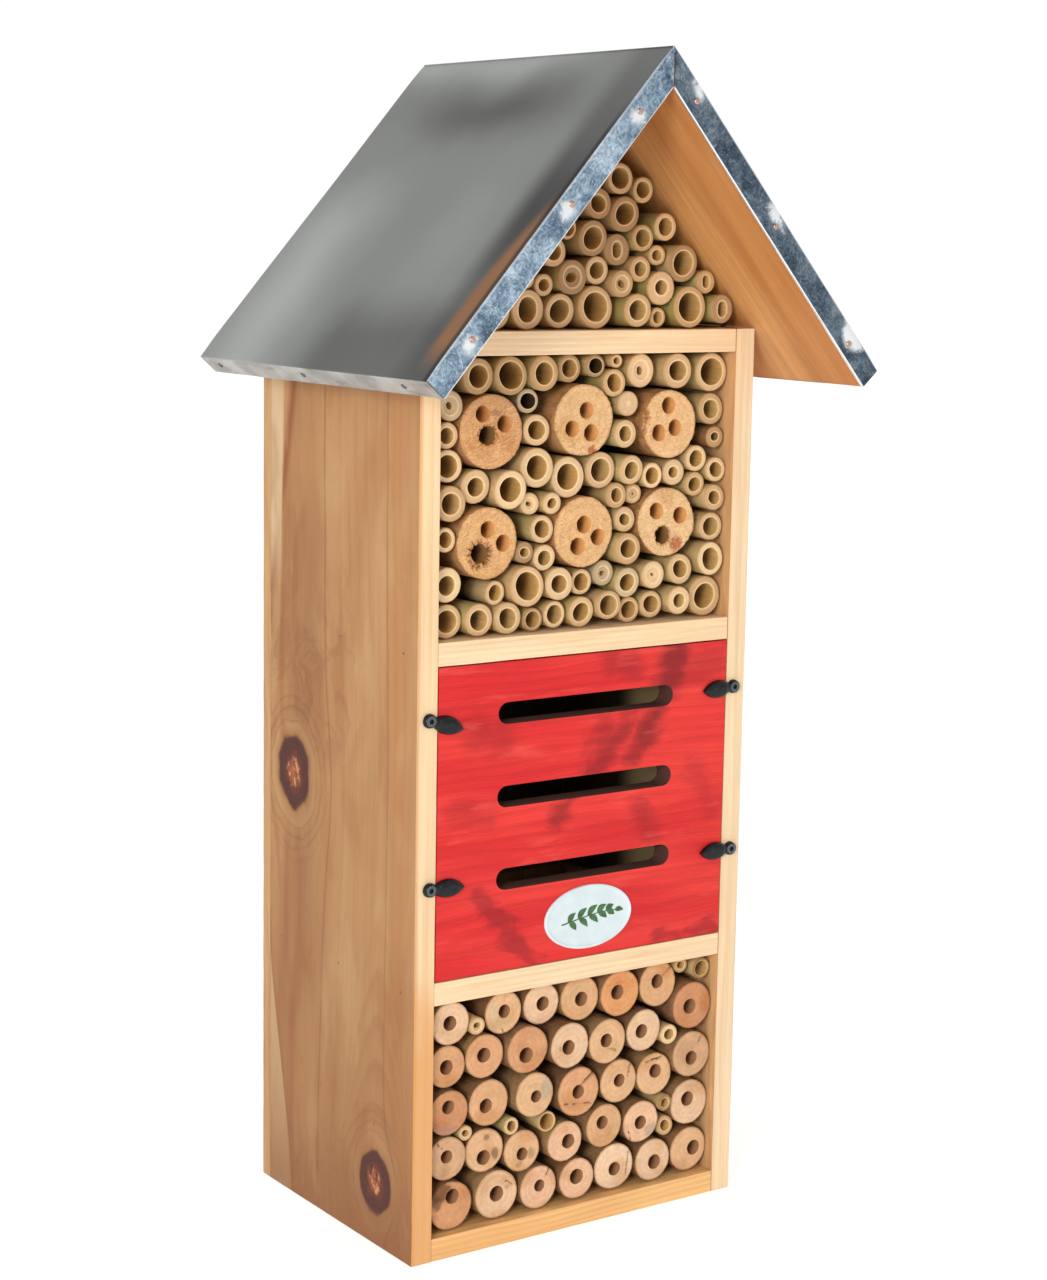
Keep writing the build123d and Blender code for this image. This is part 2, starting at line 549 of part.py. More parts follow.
# One sheet bent over the ridge, folded down the eaves and over the rakes.
with BuildPart() as roof_metal_sheet:
    with BuildSketch(front_plane(0, 0, roof_front)):
        with BuildLine():
            Polyline(slope_point(-1, slope_len + sheet_t, eave_drop), slope_point(-1, slope_len + sheet_t, 0),
                     (0, apex_sheet),
                     slope_point(1, slope_len + sheet_t, 0), slope_point(1, slope_len + sheet_t, eave_drop),
                     slope_point(1, slope_len, eave_drop), slope_point(1, slope_len, sheet_t),
                     (0, apex_board),
                     slope_point(-1, slope_len, sheet_t), slope_point(-1, slope_len, eave_drop), close=True)
        make_face()
    extrude(amount=-roof_depth)
    for y, d in ((roof_front, -1), (-roof_front, 1)):
        with BuildSketch(front_plane(0, 0, y)):
            with BuildLine():
                Polyline(slope_point(-1, slope_len + sheet_t, rake_drop), slope_point(-1, slope_len + sheet_t, 0),
                         (0, apex_sheet),
                         slope_point(1, slope_len + sheet_t, 0), slope_point(1, slope_len + sheet_t, rake_drop),
                         (0, apex_sheet - rake_drop / ca), close=True)
            make_face()
        extrude(amount=d * sheet_t)
        with BuildSketch(front_plane(0, 0, y)):
            with BuildLine():
                Polyline(slope_point(-1, slope_len, rake_drop), slope_point(-1, slope_len, rake_drop - sheet_t),
                         (0, apex_in), slope_point(1, slope_len, rake_drop - sheet_t), slope_point(1, slope_len, rake_drop),
                         (0, apex_sheet - rake_drop / ca), close=True)
            make_face()
        extrude(amount=d * hem)
        with BuildSketch(front_plane(0, apex_in - 2.0, y)):
            with Locations((0, (apex_sheet - 3.0 - apex_in + 2.0) / 2 - 1.0)):
                Rectangle(mitre_slit, apex_sheet - 3.0 - apex_in + 4.0)
        extrude(amount=d * (hem + 0.5), mode=Mode.SUBTRACT)
    for s, points in ((-1, left_rake_nail_at), (1, right_rake_nail_at)):
        for along in points:
            x, z = slope_point(s, along, rake_nail_down)
            for y, d in ((roof_front, -1), (-roof_front, 1)):
                with BuildSketch(front_plane(x, z, y)):
                    Circle(rake_nail_r)
                extrude(amount=d * sheet_t, mode=Mode.SUBTRACT)
        for y in eave_nail_y:
            with BuildSketch(eave_nail_plane(s, case_front + y)):
                Circle(rake_nail_r)
            extrude(amount=sheet_t, mode=Mode.SUBTRACT)
roof_metal_sheet.part.label = "roof_metal_sheet"
export_step(roof_metal_sheet.part, "parts/roof_metal_sheet.step")

# ============================================================ nails

with BuildPart() as front_rake_nails:
    for s, points in ((-1, left_rake_nail_at), (1, right_rake_nail_at)):
        for along in points:
            x, z = slope_point(s, along, rake_nail_down)
            with BuildSketch(front_plane(x, z, roof_front)):
                Circle(rake_nail_r)
            extrude(amount=-rake_nail_len)
            with BuildSketch(front_plane(x, z, roof_front)):
                Circle(rake_nail_head_r)
            extrude(amount=nail_head_t)
front_rake_nails.part.label = "front_rake_nails"
export_step(front_rake_nails.part, "parts/front_rake_nails.step")

with BuildPart() as back_rake_nails:
    for s, points in ((-1, left_rake_nail_at), (1, right_rake_nail_at)):
        for along in points:
            x, z = slope_point(s, along, rake_nail_down)
            with BuildSketch(front_plane(x, z, -roof_front)):
                Circle(rake_nail_r)
            extrude(amount=rake_nail_len)
            with BuildSketch(front_plane(x, z, -roof_front)):
                Circle(rake_nail_head_r)
            extrude(amount=-nail_head_t)
back_rake_nails.part.label = "back_rake_nails"
export_step(back_rake_nails.part, "parts/back_rake_nails.step")

with BuildPart() as eave_nails:
    for s in (-1, 1):
        for y in eave_nail_y:
            face = eave_nail_plane(s, case_front + y)
            with BuildSketch(face):
                Circle(rake_nail_r)
            extrude(amount=rake_nail_len)
            with BuildSketch(face):
                Circle(rake_nail_head_r)
            extrude(amount=-nail_head_t)
eave_nails.part.label = "eave_nails"
export_step(eave_nails.part, "parts/eave_nails.step")

with BuildPart() as roof_board_nails:
    for s in (-1, 1):
        for along, y in [(side_nail_along, v) for v in roof_nail_y] + [(v, side_depth + back_t / 2) for v in roof_nail_back_at]:
            with BuildSketch(roof_nail_plane(s, along, case_front + y)):
                Circle(roof_nail_r)
            extrude(amount=roof_nail_len)
roof_board_nails.part.label = "roof_board_nails"
export_step(roof_board_nails.part, "parts/roof_board_nails.step")

with BuildPart() as case_brads:
    for s in (-1, 1):
        for z in all_brad_z:
            for y in brad_y:
                with BuildSketch(Plane(origin=(s * half_w, case_front + y, z), x_dir=(0, 1, 0), z_dir=(-s, 0, 0))):
                    Circle(brad_r)
                extrude(amount=brad_len)
case_brads.part.label = "case_brads"
export_step(case_brads.part, "parts/case_brads.step")

with BuildPart() as back_panel_nails:
    for x, z in back_nail_points:
        with BuildSketch(front_plane(x, z, case_back + back_t)):
            Circle(back_nail_r)
        extrude(amount=back_nail_len)
back_panel_nails.part.label = "back_panel_nails"
export_step(back_panel_nails.part, "parts/back_panel_nails.step")

# ============================================================ front panel

panel_z0 = lower_shelf_z + board_t + panel_gap
panel_z1 = middle_shelf_z - panel_gap
panel_w = 2 * (inner_w - panel_gap)

with BuildPart() as front_panel:
    with BuildSketch(front_plane(0, (panel_z0 + panel_z1) / 2, case_front)):
        Rectangle(panel_w, panel_z1 - panel_z0)
        with Locations(*[(slot_x, z - (panel_z0 + panel_z1) / 2) for z in slot_z]):
            SlotOverall(slot_len, slot_h, mode=Mode.SUBTRACT)
    extrude(amount=-board_t)
front_panel.part.label = "front_panel"
export_step(front_panel.part, "parts/front_panel.step")

with BuildPart() as oval_badge:
    with BuildSketch(front_plane(badge_at[0], badge_at[1], case_front)):
        Ellipse(badge_a, badge_b)
    extrude(amount=badge_t)
    fillet(oval_badge.faces().sort_by(Axis.Y)[0].edges(), 0.5)
oval_badge.part.label = "oval_badge"
export_step(oval_badge.part, "parts/oval_badge.step")

with BuildPart() as left_panel_stop:
    with BuildSketch(Plane.XY.offset(panel_z0 + 4.0)):
        with Locations((-inner_w + stop_w / 2, case_front + board_t + 0.4 + stop_w / 2)):
            Rectangle(stop_w, stop_w)
    extrude(amount=panel_z1 - panel_z0 - 8.0)
left_panel_stop.part.label = "left_panel_stop"
export_step(left_panel_stop.part, "parts/left_panel_stop.step")

with BuildPart() as right_panel_stop:
    with BuildSketch(Plane.XY.offset(panel_z0 + 4.0)):
        with Locations((inner_w - stop_w / 2, case_front + board_t + 0.4 + stop_w / 2)):
            Rectangle(stop_w, stop_w)
    extrude(amount=panel_z1 - panel_z0 - 8.0)
right_panel_stop.part.label = "right_panel_stop"
export_step(right_panel_stop.part, "parts/right_panel_stop.step")

# ============================================================ turn buttons
# Each button is a round boss on its screw and an almond blade over the panel.

with BuildPart() as turn_button_top_left:
    back = button_plane(-1, top_left_pivot, case_front - button_gap)
    with BuildSketch(back):
        Circle(button_boss_r)
    extrude(amount=button_boss_t)
    with BuildSketch(back):
        with BuildLine():
            ThreePointArc((2.6, 2.0), (11.2, button_half_w), (button_reach, 0))
            ThreePointArc((button_reach, 0), (11.2, -button_half_w), (2.6, -2.0))
            Line((2.6, -2.0), (2.6, 2.0))
        make_face()
    extrude(amount=button_blade_t)
    with BuildSketch(back):
        Circle(screw_r + screw_clear)
    extrude(amount=button_blade_t, mode=Mode.SUBTRACT)
    with BuildSketch(back.offset(button_boss_t - screw_head_t - 0.1)):
        Circle(screw_r + screw_clear)
    with BuildSketch(back.offset(button_boss_t + 0.02)):
        Circle(screw_head_r + 0.15)
    loft(mode=Mode.SUBTRACT)
    with BuildSketch(back.offset(button_boss_t)):
        Circle(screw_head_r + 0.15)
    extrude(amount=button_blade_t, mode=Mode.SUBTRACT)
turn_button_top_left.part.label = "turn_button_top_left"
export_step(turn_button_top_left.part, "parts/turn_button_top_left.step")

with BuildPart() as turn_button_bottom_left:
    back = button_plane(-1, bottom_left_pivot, case_front - button_gap)
    with BuildSketch(back):
        Circle(button_boss_r)
    extrude(amount=button_boss_t)
    with BuildSketch(back):
        with BuildLine():
            ThreePointArc((2.6, 2.0), (11.2, button_half_w), (button_reach, 0))
            ThreePointArc((button_reach, 0), (11.2, -button_half_w), (2.6, -2.0))
            Line((2.6, -2.0), (2.6, 2.0))
        make_face()
    extrude(amount=button_blade_t)
    with BuildSketch(back):
        Circle(screw_r + screw_clear)
    extrude(amount=button_blade_t, mode=Mode.SUBTRACT)
    with BuildSketch(back.offset(button_boss_t - screw_head_t - 0.1)):
        Circle(screw_r + screw_clear)
    with BuildSketch(back.offset(button_boss_t + 0.02)):
        Circle(screw_head_r + 0.15)
    loft(mode=Mode.SUBTRACT)
    with BuildSketch(back.offset(button_boss_t)):
        Circle(screw_head_r + 0.15)
    extrude(amount=button_blade_t, mode=Mode.SUBTRACT)
turn_button_bottom_left.part.label = "turn_button_bottom_left"
export_step(turn_button_bottom_left.part, "parts/turn_button_bottom_left.step")

with BuildPart() as turn_button_top_right:
    back = button_plane(1, top_right_pivot, case_front - button_gap)
    with BuildSketch(back):
        Circle(button_boss_r)
    extrude(amount=button_boss_t)
    with BuildSketch(back):
        with BuildLine():
            ThreePointArc((2.6, 2.0), (11.2, button_half_w), (button_reach, 0))
            ThreePointArc((button_reach, 0), (11.2, -button_half_w), (2.6, -2.0))
            Line((2.6, -2.0), (2.6, 2.0))
        make_face()
    extrude(amount=button_blade_t)
    with BuildSketch(back):
        Circle(screw_r + screw_clear)
    extrude(amount=button_blade_t, mode=Mode.SUBTRACT)
    with BuildSketch(back.offset(button_boss_t - screw_head_t - 0.1)):
        Circle(screw_r + screw_clear)
    with BuildSketch(back.offset(button_boss_t + 0.02)):
        Circle(screw_head_r + 0.15)
    loft(mode=Mode.SUBTRACT)
    with BuildSketch(back.offset(button_boss_t)):
        Circle(screw_head_r + 0.15)
    extrude(amount=button_blade_t, mode=Mode.SUBTRACT)
turn_button_top_right.part.label = "turn_button_top_right"
export_step(turn_button_top_right.part, "parts/turn_button_top_right.step")

with BuildPart() as turn_button_bottom_right:
    back = button_plane(1, bottom_right_pivot, case_front - button_gap)
    with BuildSketch(back):
        Circle(button_boss_r)
    extrude(amount=button_boss_t)
    with BuildSketch(back):
        with BuildLine():
            ThreePointArc((2.6, 2.0), (11.2, button_half_w), (button_reach, 0))
            ThreePointArc((button_reach, 0), (11.2, -button_half_w), (2.6, -2.0))
            Line((2.6, -2.0), (2.6, 2.0))
        make_face()
    extrude(amount=button_blade_t)
    with BuildSketch(back):
        Circle(screw_r + screw_clear)
    extrude(amount=button_blade_t, mode=Mode.SUBTRACT)
    with BuildSketch(back.offset(button_boss_t - screw_head_t - 0.1)):
        Circle(screw_r + screw_clear)
    with BuildSketch(back.offset(button_boss_t + 0.02)):
        Circle(screw_head_r + 0.15)
    loft(mode=Mode.SUBTRACT)
    with BuildSketch(back.offset(button_boss_t)):
        Circle(screw_head_r + 0.15)
    extrude(amount=button_blade_t, mode=Mode.SUBTRACT)
turn_button_bottom_right.part.label = "turn_button_bottom_right"
export_step(turn_button_bottom_right.part, "parts/turn_button_bottom_right.step")

# The four pivot screws: shank in the board's edge, countersunk head in the boss.
with BuildPart() as button_screws:
    for px, pz, tilt in (top_left_pivot, bottom_left_pivot, top_right_pivot, bottom_right_pivot):
        head_y = case_front - button_gap - button_boss_t
        with BuildSketch(front_plane(px, pz, head_y)):
            Circle(screw_r)
        extrude(amount=-(screw_len + button_gap + button_boss_t))
        with BuildSketch(front_plane(px, pz, head_y + screw_head_t)):
            Circle(screw_r)
        with BuildSketch(front_plane(px, pz, head_y)):
            Circle(screw_head_r)
        loft()
        with BuildSketch(front_plane(px, pz, head_y)):
            RegularPolygon(1.1, 6)
        extrude(amount=-0.8, mode=Mode.SUBTRACT)
button_screws.part.label = "button_screws"
export_step(button_screws.part, "parts/button_screws.step")

# ============================================================ hanger plate
plate_y = case_back + back_t

with BuildPart() as hanger_plate:
    with BuildSketch(Plane.XY.offset(hanger_z - hanger_h / 2)):
        with BuildLine():
            Polyline((-hanger_w / 2, plate_y), (-13.0, plate_y), (-10.0, plate_y + hanger_lift),
                     (10.0, plate_y + hanger_lift), (13.0, plate_y), (hanger_w / 2, plate_y),
                     (hanger_w / 2, plate_y + hanger_t), (12.4, plate_y + hanger_t),
                     (9.4, plate_y + hanger_t + hanger_lift), (-9.4, plate_y + hanger_t + hanger_lift),
                     (-12.4, plate_y + hanger_t), (-hanger_w / 2, plate_y + hanger_t), close=True)
        make_face()
    extrude(amount=hanger_h)
    with BuildSketch(front_plane(0, hanger_z - 3.0, plate_y + 10.0)):
        Circle(hanger_hole_r)
    extrude(amount=9.5, mode=Mode.SUBTRACT)
    with BuildSketch(front_plane(0, hanger_z - 3.0, plate_y + 10.0)):
        with Locations((0, hanger_slot_rise / 2)):
            Rectangle(2 * hanger_slot_r, hanger_slot_rise)
        with Locations((0, hanger_slot_rise)):
            Circle(hanger_slot_r)
    extrude(amount=9.5, mode=Mode.SUBTRACT)
    for s in (-1, 1):
        with BuildSketch(front_plane(s * hanger_screw_at, hanger_z, plate_y + 10.0)):
            Circle(screw_r)
        extrude(amount=10.0, mode=Mode.SUBTRACT)
hanger_plate.part.label = "hanger_plate"
export_step(hanger_plate.part, "parts/hanger_plate.step")

with BuildPart() as hanger_screws:
    for s in (-1, 1):
        with BuildSketch(front_plane(s * hanger_screw_at, hanger_z, plate_y + hanger_t)):
            Circle(screw_r)
        extrude(amount=hanger_t + back_t - 1.0)
        with BuildSketch(front_plane(s * hanger_screw_at, hanger_z, plate_y + hanger_t)):
            Circle(screw_head_r)
        extrude(amount=-1.6)
        with BuildSketch(front_plane(s * hanger_screw_at, hanger_z, plate_y + hanger_t + 1.6)):
            Rectangle(3.6, 0.7)
            Rectangle(0.7, 3.6)
        extrude(amount=0.9, mode=Mode.SUBTRACT)
hanger_screws.part.label = "hanger_screws"
export_step(hanger_screws.part, "parts/hanger_screws.step")

# ============================================================ filling

with BuildPart() as bamboo_top_row_left:
    for x, z, r_out, r_bore, recess, depth in bamboo_top_row_left_tubes:
        face = Plane(origin=(x, case_front + recess, z), x_dir=(1, 0, 0), z_dir=(0, -1, 0))
        with BuildSketch(face):
            Circle(r_out)
        extrude(amount=-(tube_end - recess))
        if r_bore > 0:
            with BuildSketch(face):
                Circle(r_bore)
            extrude(amount=-depth, mode=Mode.SUBTRACT)
bamboo_top_row_left.part.label = "bamboo_top_row_left"
export_step(bamboo_top_row_left.part, "parts/bamboo_top_row_left.step")

with BuildPart() as bamboo_top_row_right:
    for x, z, r_out, r_bore, recess, depth in bamboo_top_row_right_tubes:
        face = Plane(origin=(x, case_front + recess, z), x_dir=(1, 0, 0), z_dir=(0, -1, 0))
        with BuildSketch(face):
            Circle(r_out)
        extrude(amount=-(tube_end - recess))
        if r_bore > 0:
            with BuildSketch(face):
                Circle(r_bore)
            extrude(amount=-depth, mode=Mode.SUBTRACT)
bamboo_top_row_right.part.label = "bamboo_top_row_right"
export_step(bamboo_top_row_right.part, "parts/bamboo_top_row_right.step")

with BuildPart() as bamboo_between_upper_logs:
    for x, z, r_out, r_bore, recess, depth in bamboo_between_upper_logs_tubes:
        face = Plane(origin=(x, case_front + recess, z), x_dir=(1, 0, 0), z_dir=(0, -1, 0))
        with BuildSketch(face):
            Circle(r_out)
        extrude(amount=-(tube_end - recess))
        if r_bore > 0:
            with BuildSketch(face):
                Circle(r_bore)
            extrude(amount=-depth, mode=Mode.SUBTRACT)
bamboo_between_upper_logs.part.label = "bamboo_between_upper_logs"
export_step(bamboo_between_upper_logs.part, "parts/bamboo_between_upper_logs.step")

with BuildPart() as bamboo_centre_row_left:
    for x, z, r_out, r_bore, recess, depth in bamboo_centre_row_left_tubes:
        face = Plane(origin=(x, case_front + recess, z), x_dir=(1, 0, 0), z_dir=(0, -1, 0))
        with BuildSketch(face):
            Circle(r_out)
        extrude(amount=-(tube_end - recess))
        if r_bore > 0:
            with BuildSketch(face):
                Circle(r_bore)
            extrude(amount=-depth, mode=Mode.SUBTRACT)
bamboo_centre_row_left.part.label = "bamboo_centre_row_left"
export_step(bamboo_centre_row_left.part, "parts/bamboo_centre_row_left.step")

with BuildPart() as bamboo_centre_row_right:
    for x, z, r_out, r_bore, recess, depth in bamboo_centre_row_right_tubes:
        face = Plane(origin=(x, case_front + recess, z), x_dir=(1, 0, 0), z_dir=(0, -1, 0))
        with BuildSketch(face):
            Circle(r_out)
        extrude(amount=-(tube_end - recess))
        if r_bore > 0:
            with BuildSketch(face):
                Circle(r_bore)
            extrude(amount=-depth, mode=Mode.SUBTRACT)
bamboo_centre_row_right.part.label = "bamboo_centre_row_right"
export_step(bamboo_centre_row_right.part, "parts/bamboo_centre_row_right.step")

with BuildPart() as bamboo_between_lower_logs:
    for x, z, r_out, r_bore, recess, depth in bamboo_between_lower_logs_tubes:
        face = Plane(origin=(x, case_front + recess, z), x_dir=(1, 0, 0), z_dir=(0, -1, 0))
        with BuildSketch(face):
            Circle(r_out)
        extrude(amount=-(tube_end - recess))
        if r_bore > 0:
            with BuildSketch(face):
                Circle(r_bore)
            extrude(amount=-depth, mode=Mode.SUBTRACT)
bamboo_between_lower_logs.part.label = "bamboo_between_lower_logs"
export_step(bamboo_between_lower_logs.part, "parts/bamboo_between_lower_logs.step")

with BuildPart() as bamboo_second_row_left:
    for x, z, r_out, r_bore, recess, depth in bamboo_second_row_left_tubes:
        face = Plane(origin=(x, case_front + recess, z), x_dir=(1, 0, 0), z_dir=(0, -1, 0))
        with BuildSketch(face):
            Circle(r_out)
        extrude(amount=-(tube_end - recess))
        if r_bore > 0:
            with BuildSketch(face):
                Circle(r_bore)
            extrude(amount=-depth, mode=Mode.SUBTRACT)
bamboo_second_row_left.part.label = "bamboo_second_row_left"
export_step(bamboo_second_row_left.part, "parts/bamboo_second_row_left.step")

with BuildPart() as bamboo_second_row_right:
    for x, z, r_out, r_bore, recess, depth in bamboo_second_row_right_tubes:
        face = Plane(origin=(x, case_front + recess, z), x_dir=(1, 0, 0), z_dir=(0, -1, 0))
        with BuildSketch(face):
            Circle(r_out)
        extrude(amount=-(tube_end - recess))
        if r_bore > 0:
            with BuildSketch(face):
                Circle(r_bore)
            extrude(amount=-depth, mode=Mode.SUBTRACT)
bamboo_second_row_right.part.label = "bamboo_second_row_right"
export_step(bamboo_second_row_right.part, "parts/bamboo_second_row_right.step")

with BuildPart() as bamboo_bottom_row_left:
    for x, z, r_out, r_bore, recess, depth in bamboo_bottom_row_left_tubes:
        face = Plane(origin=(x, case_front + recess, z), x_dir=(1, 0, 0), z_dir=(0, -1, 0))
        with BuildSketch(face):
            Circle(r_out)
        extrude(amount=-(tube_end - recess))
        if r_bore > 0:
            with BuildSketch(face):
                Circle(r_bore)
            extrude(amount=-depth, mode=Mode.SUBTRACT)
bamboo_bottom_row_left.part.label = "bamboo_bottom_row_left"
export_step(bamboo_bottom_row_left.part, "parts/bamboo_bottom_row_left.step")

with BuildPart() as bamboo_bottom_row_right:
    for x, z, r_out, r_bore, recess, depth in bamboo_bottom_row_right_tubes:
        face = Plane(origin=(x, case_front + recess, z), x_dir=(1, 0, 0), z_dir=(0, -1, 0))
        with BuildSketch(face):
            Circle(r_out)
        extrude(amount=-(tube_end - recess))
        if r_bore > 0:
            with BuildSketch(face):
                Circle(r_bore)
            extrude(amount=-depth, mode=Mode.SUBTRACT)
bamboo_bottom_row_right.part.label = "bamboo_bottom_row_right"
export_step(bamboo_bottom_row_right.part, "parts/bamboo_bottom_row_right.step")

with BuildPart() as bamboo_lower_upper_set:
    for x, z, r_out, r_bore, recess, depth in bamboo_lower_upper_set_tubes:
        face = Plane(origin=(x, case_front + recess, z), x_dir=(1, 0, 0), z_dir=(0, -1, 0))
        with BuildSketch(face):
            Circle(r_out)
        extrude(amount=-(tube_end - recess))
        if r_bore > 0:
            with BuildSketch(face):
                Circle(r_bore)
            extrude(amount=-depth, mode=Mode.SUBTRACT)
bamboo_lower_upper_set.part.label = "bamboo_lower_upper_set"
export_step(bamboo_lower_upper_set.part, "parts/bamboo_lower_upper_set.step")

with BuildPart() as bamboo_lower_lower_set:
    for x, z, r_out, r_bore, recess, depth in bamboo_lower_lower_set_tubes:
        face = Plane(origin=(x, case_front + recess, z), x_dir=(1, 0, 0), z_dir=(0, -1, 0))
        with BuildSketch(face):
            Circle(r_out)
        extrude(amount=-(tube_end - recess))
        if r_bore > 0:
            with BuildSketch(face):
                Circle(r_bore)
            extrude(amount=-depth, mode=Mode.SUBTRACT)
bamboo_lower_lower_set.part.label = "bamboo_lower_lower_set"
export_step(bamboo_lower_lower_set.part, "parts/bamboo_lower_lower_set.step")

with BuildPart() as gable_bamboo_row_1:
    for x, z, r_out, r_bore, recess, depth in gable_bamboo_row_1_tubes:
        face = Plane(origin=(x, case_front + recess, z), x_dir=(1, 0, 0), z_dir=(0, -1, 0))
        with BuildSketch(face):
            Circle(r_out)
        extrude(amount=-(tube_end - recess))
        if r_bore > 0:
            with BuildSketch(face):
                Circle(r_bore)
            extrude(amount=-depth, mode=Mode.SUBTRACT)
gable_bamboo_row_1.part.label = "gable_bamboo_row_1"
export_step(gable_bamboo_row_1.part, "parts/gable_bamboo_row_1.step")

with BuildPart() as gable_bamboo_row_2:
    for x, z, r_out, r_bore, recess, depth in gable_bamboo_row_2_tubes:
        face = Plane(origin=(x, case_front + recess, z), x_dir=(1, 0, 0), z_dir=(0, -1, 0))
        with BuildSketch(face):
            Circle(r_out)
        extrude(amount=-(tube_end - recess))
        if r_bore > 0:
            with BuildSketch(face):
                Circle(r_bore)
            extrude(amount=-depth, mode=Mode.SUBTRACT)
gable_bamboo_row_2.part.label = "gable_bamboo_row_2"
export_step(gable_bamboo_row_2.part, "parts/gable_bamboo_row_2.step")

with BuildPart() as gable_bamboo_row_3:
    for x, z, r_out, r_bore, recess, depth in gable_bamboo_row_3_tubes:
        face = Plane(origin=(x, case_front + recess, z), x_dir=(1, 0, 0), z_dir=(0, -1, 0))
        with BuildSketch(face):
            Circle(r_out)
        extrude(amount=-(tube_end - recess))
        if r_bore > 0:
            with BuildSketch(face):
                Circle(r_bore)
            extrude(amount=-depth, mode=Mode.SUBTRACT)
gable_bamboo_row_3.part.label = "gable_bamboo_row_3"
export_step(gable_bamboo_row_3.part, "parts/gable_bamboo_row_3.step")

with BuildPart() as gable_bamboo_row_4:
    for x, z, r_out, r_bore, recess, depth in gable_bamboo_row_4_tubes:
        face = Plane(origin=(x, case_front + recess, z), x_dir=(1, 0, 0), z_dir=(0, -1, 0))
        with BuildSketch(face):
            Circle(r_out)
        extrude(amount=-(tube_end - recess))
        if r_bore > 0:
            with BuildSketch(face):
                Circle(r_bore)
            extrude(amount=-depth, mode=Mode.SUBTRACT)
gable_bamboo_row_4.part.label = "gable_bamboo_row_4"
export_step(gable_bamboo_row_4.part, "parts/gable_bamboo_row_4.step")

with BuildPart() as gable_bamboo_row_5:
    for x, z, r_out, r_bore, recess, depth in gable_bamboo_row_5_tubes:
        face = Plane(origin=(x, case_front + recess, z), x_dir=(1, 0, 0), z_dir=(0, -1, 0))
        with BuildSketch(face):
            Circle(r_out)
        extrude(amount=-(tube_end - recess))
        if r_bore > 0:
            with BuildSketch(face):
                Circle(r_bore)
            extrude(amount=-depth, mode=Mode.SUBTRACT)
gable_bamboo_row_5.part.label = "gable_bamboo_row_5"
export_step(gable_bamboo_row_5.part, "parts/gable_bamboo_row_5.step")

with BuildPart() as stem_row_1:
    for x, z, r_out, dx, dz, r_bore, recess, depth in stem_row_1_pieces:
        face = Plane(origin=(x, case_front + recess, z), x_dir=(1, 0, 0), z_dir=(0, -1, 0))
        with BuildSketch(face):
            Circle(r_out)
        extrude(amount=-(tube_end - recess))
        with BuildSketch(face):
            with Locations((dx, dz)):
                Circle(r_bore)
        extrude(amount=-depth, mode=Mode.SUBTRACT)
stem_row_1.part.label = "stem_row_1"
export_step(stem_row_1.part, "parts/stem_row_1.step")

with BuildPart() as stem_row_2:
    for x, z, r_out, dx, dz, r_bore, recess, depth in stem_row_2_pieces:
        face = Plane(origin=(x, case_front + recess, z), x_dir=(1, 0, 0), z_dir=(0, -1, 0))
        with BuildSketch(face):
            Circle(r_out)
        extrude(amount=-(tube_end - recess))
        with BuildSketch(face):
            with Locations((dx, dz)):
                Circle(r_bore)
        extrude(amount=-depth, mode=Mode.SUBTRACT)
stem_row_2.part.label = "stem_row_2"
export_step(stem_row_2.part, "parts/stem_row_2.step")

with BuildPart() as stem_row_3:
    for x, z, r_out, dx, dz, r_bore, recess, depth in stem_row_3_pieces:
        face = Plane(origin=(x, case_front + recess, z), x_dir=(1, 0, 0), z_dir=(0, -1, 0))
        with BuildSketch(face):
            Circle(r_out)
        extrude(amount=-(tube_end - recess))
        with BuildSketch(face):
            with Locations((dx, dz)):
                Circle(r_bore)
        extrude(amount=-depth, mode=Mode.SUBTRACT)
stem_row_3.part.label = "stem_row_3"
export_step(stem_row_3.part, "parts/stem_row_3.step")

with BuildPart() as stem_row_4:
    for x, z, r_out, dx, dz, r_bore, recess, depth in stem_row_4_pieces:
        face = Plane(origin=(x, case_front + recess, z), x_dir=(1, 0, 0), z_dir=(0, -1, 0))
        with BuildSketch(face):
            Circle(r_out)
        extrude(amount=-(tube_end - recess))
        with BuildSketch(face):
            with Locations((dx, dz)):
                Circle(r_bore)
        extrude(amount=-depth, mode=Mode.SUBTRACT)
stem_row_4.part.label = "stem_row_4"
export_step(stem_row_4.part, "parts/stem_row_4.step")

with BuildPart() as stem_row_5:
    for x, z, r_out, dx, dz, r_bore, recess, depth in stem_row_5_pieces:
        face = Plane(origin=(x, case_front + recess, z), x_dir=(1, 0, 0), z_dir=(0, -1, 0))
        with BuildSketch(face):
            Circle(r_out)
        extrude(amount=-(tube_end - recess))
        with BuildSketch(face):
            with Locations((dx, dz)):
                Circle(r_bore)
        extrude(amount=-depth, mode=Mode.SUBTRACT)
stem_row_5.part.label = "stem_row_5"
export_step(stem_row_5.part, "parts/stem_row_5.step")

with BuildPart() as log_upper_left:
    x, z, r_out, recess = log_upper_left_at
    face = Plane(origin=(x, case_front + recess, z), x_dir=(1, 0, 0), z_dir=(0, -1, 0))
    with BuildSketch(face):
        Circle(r_out)
    extrude(amount=-(tube_end - recess))
    for dx, dz, r_bore in log_upper_left_holes:
        with BuildSketch(face):
            with Locations((dx, dz)):
                Circle(r_bore)
        extrude(amount=-log_hole_depth, mode=Mode.SUBTRACT)
log_upper_left.part.label = "log_upper_left"
export_step(log_upper_left.part, "parts/log_upper_left.step")

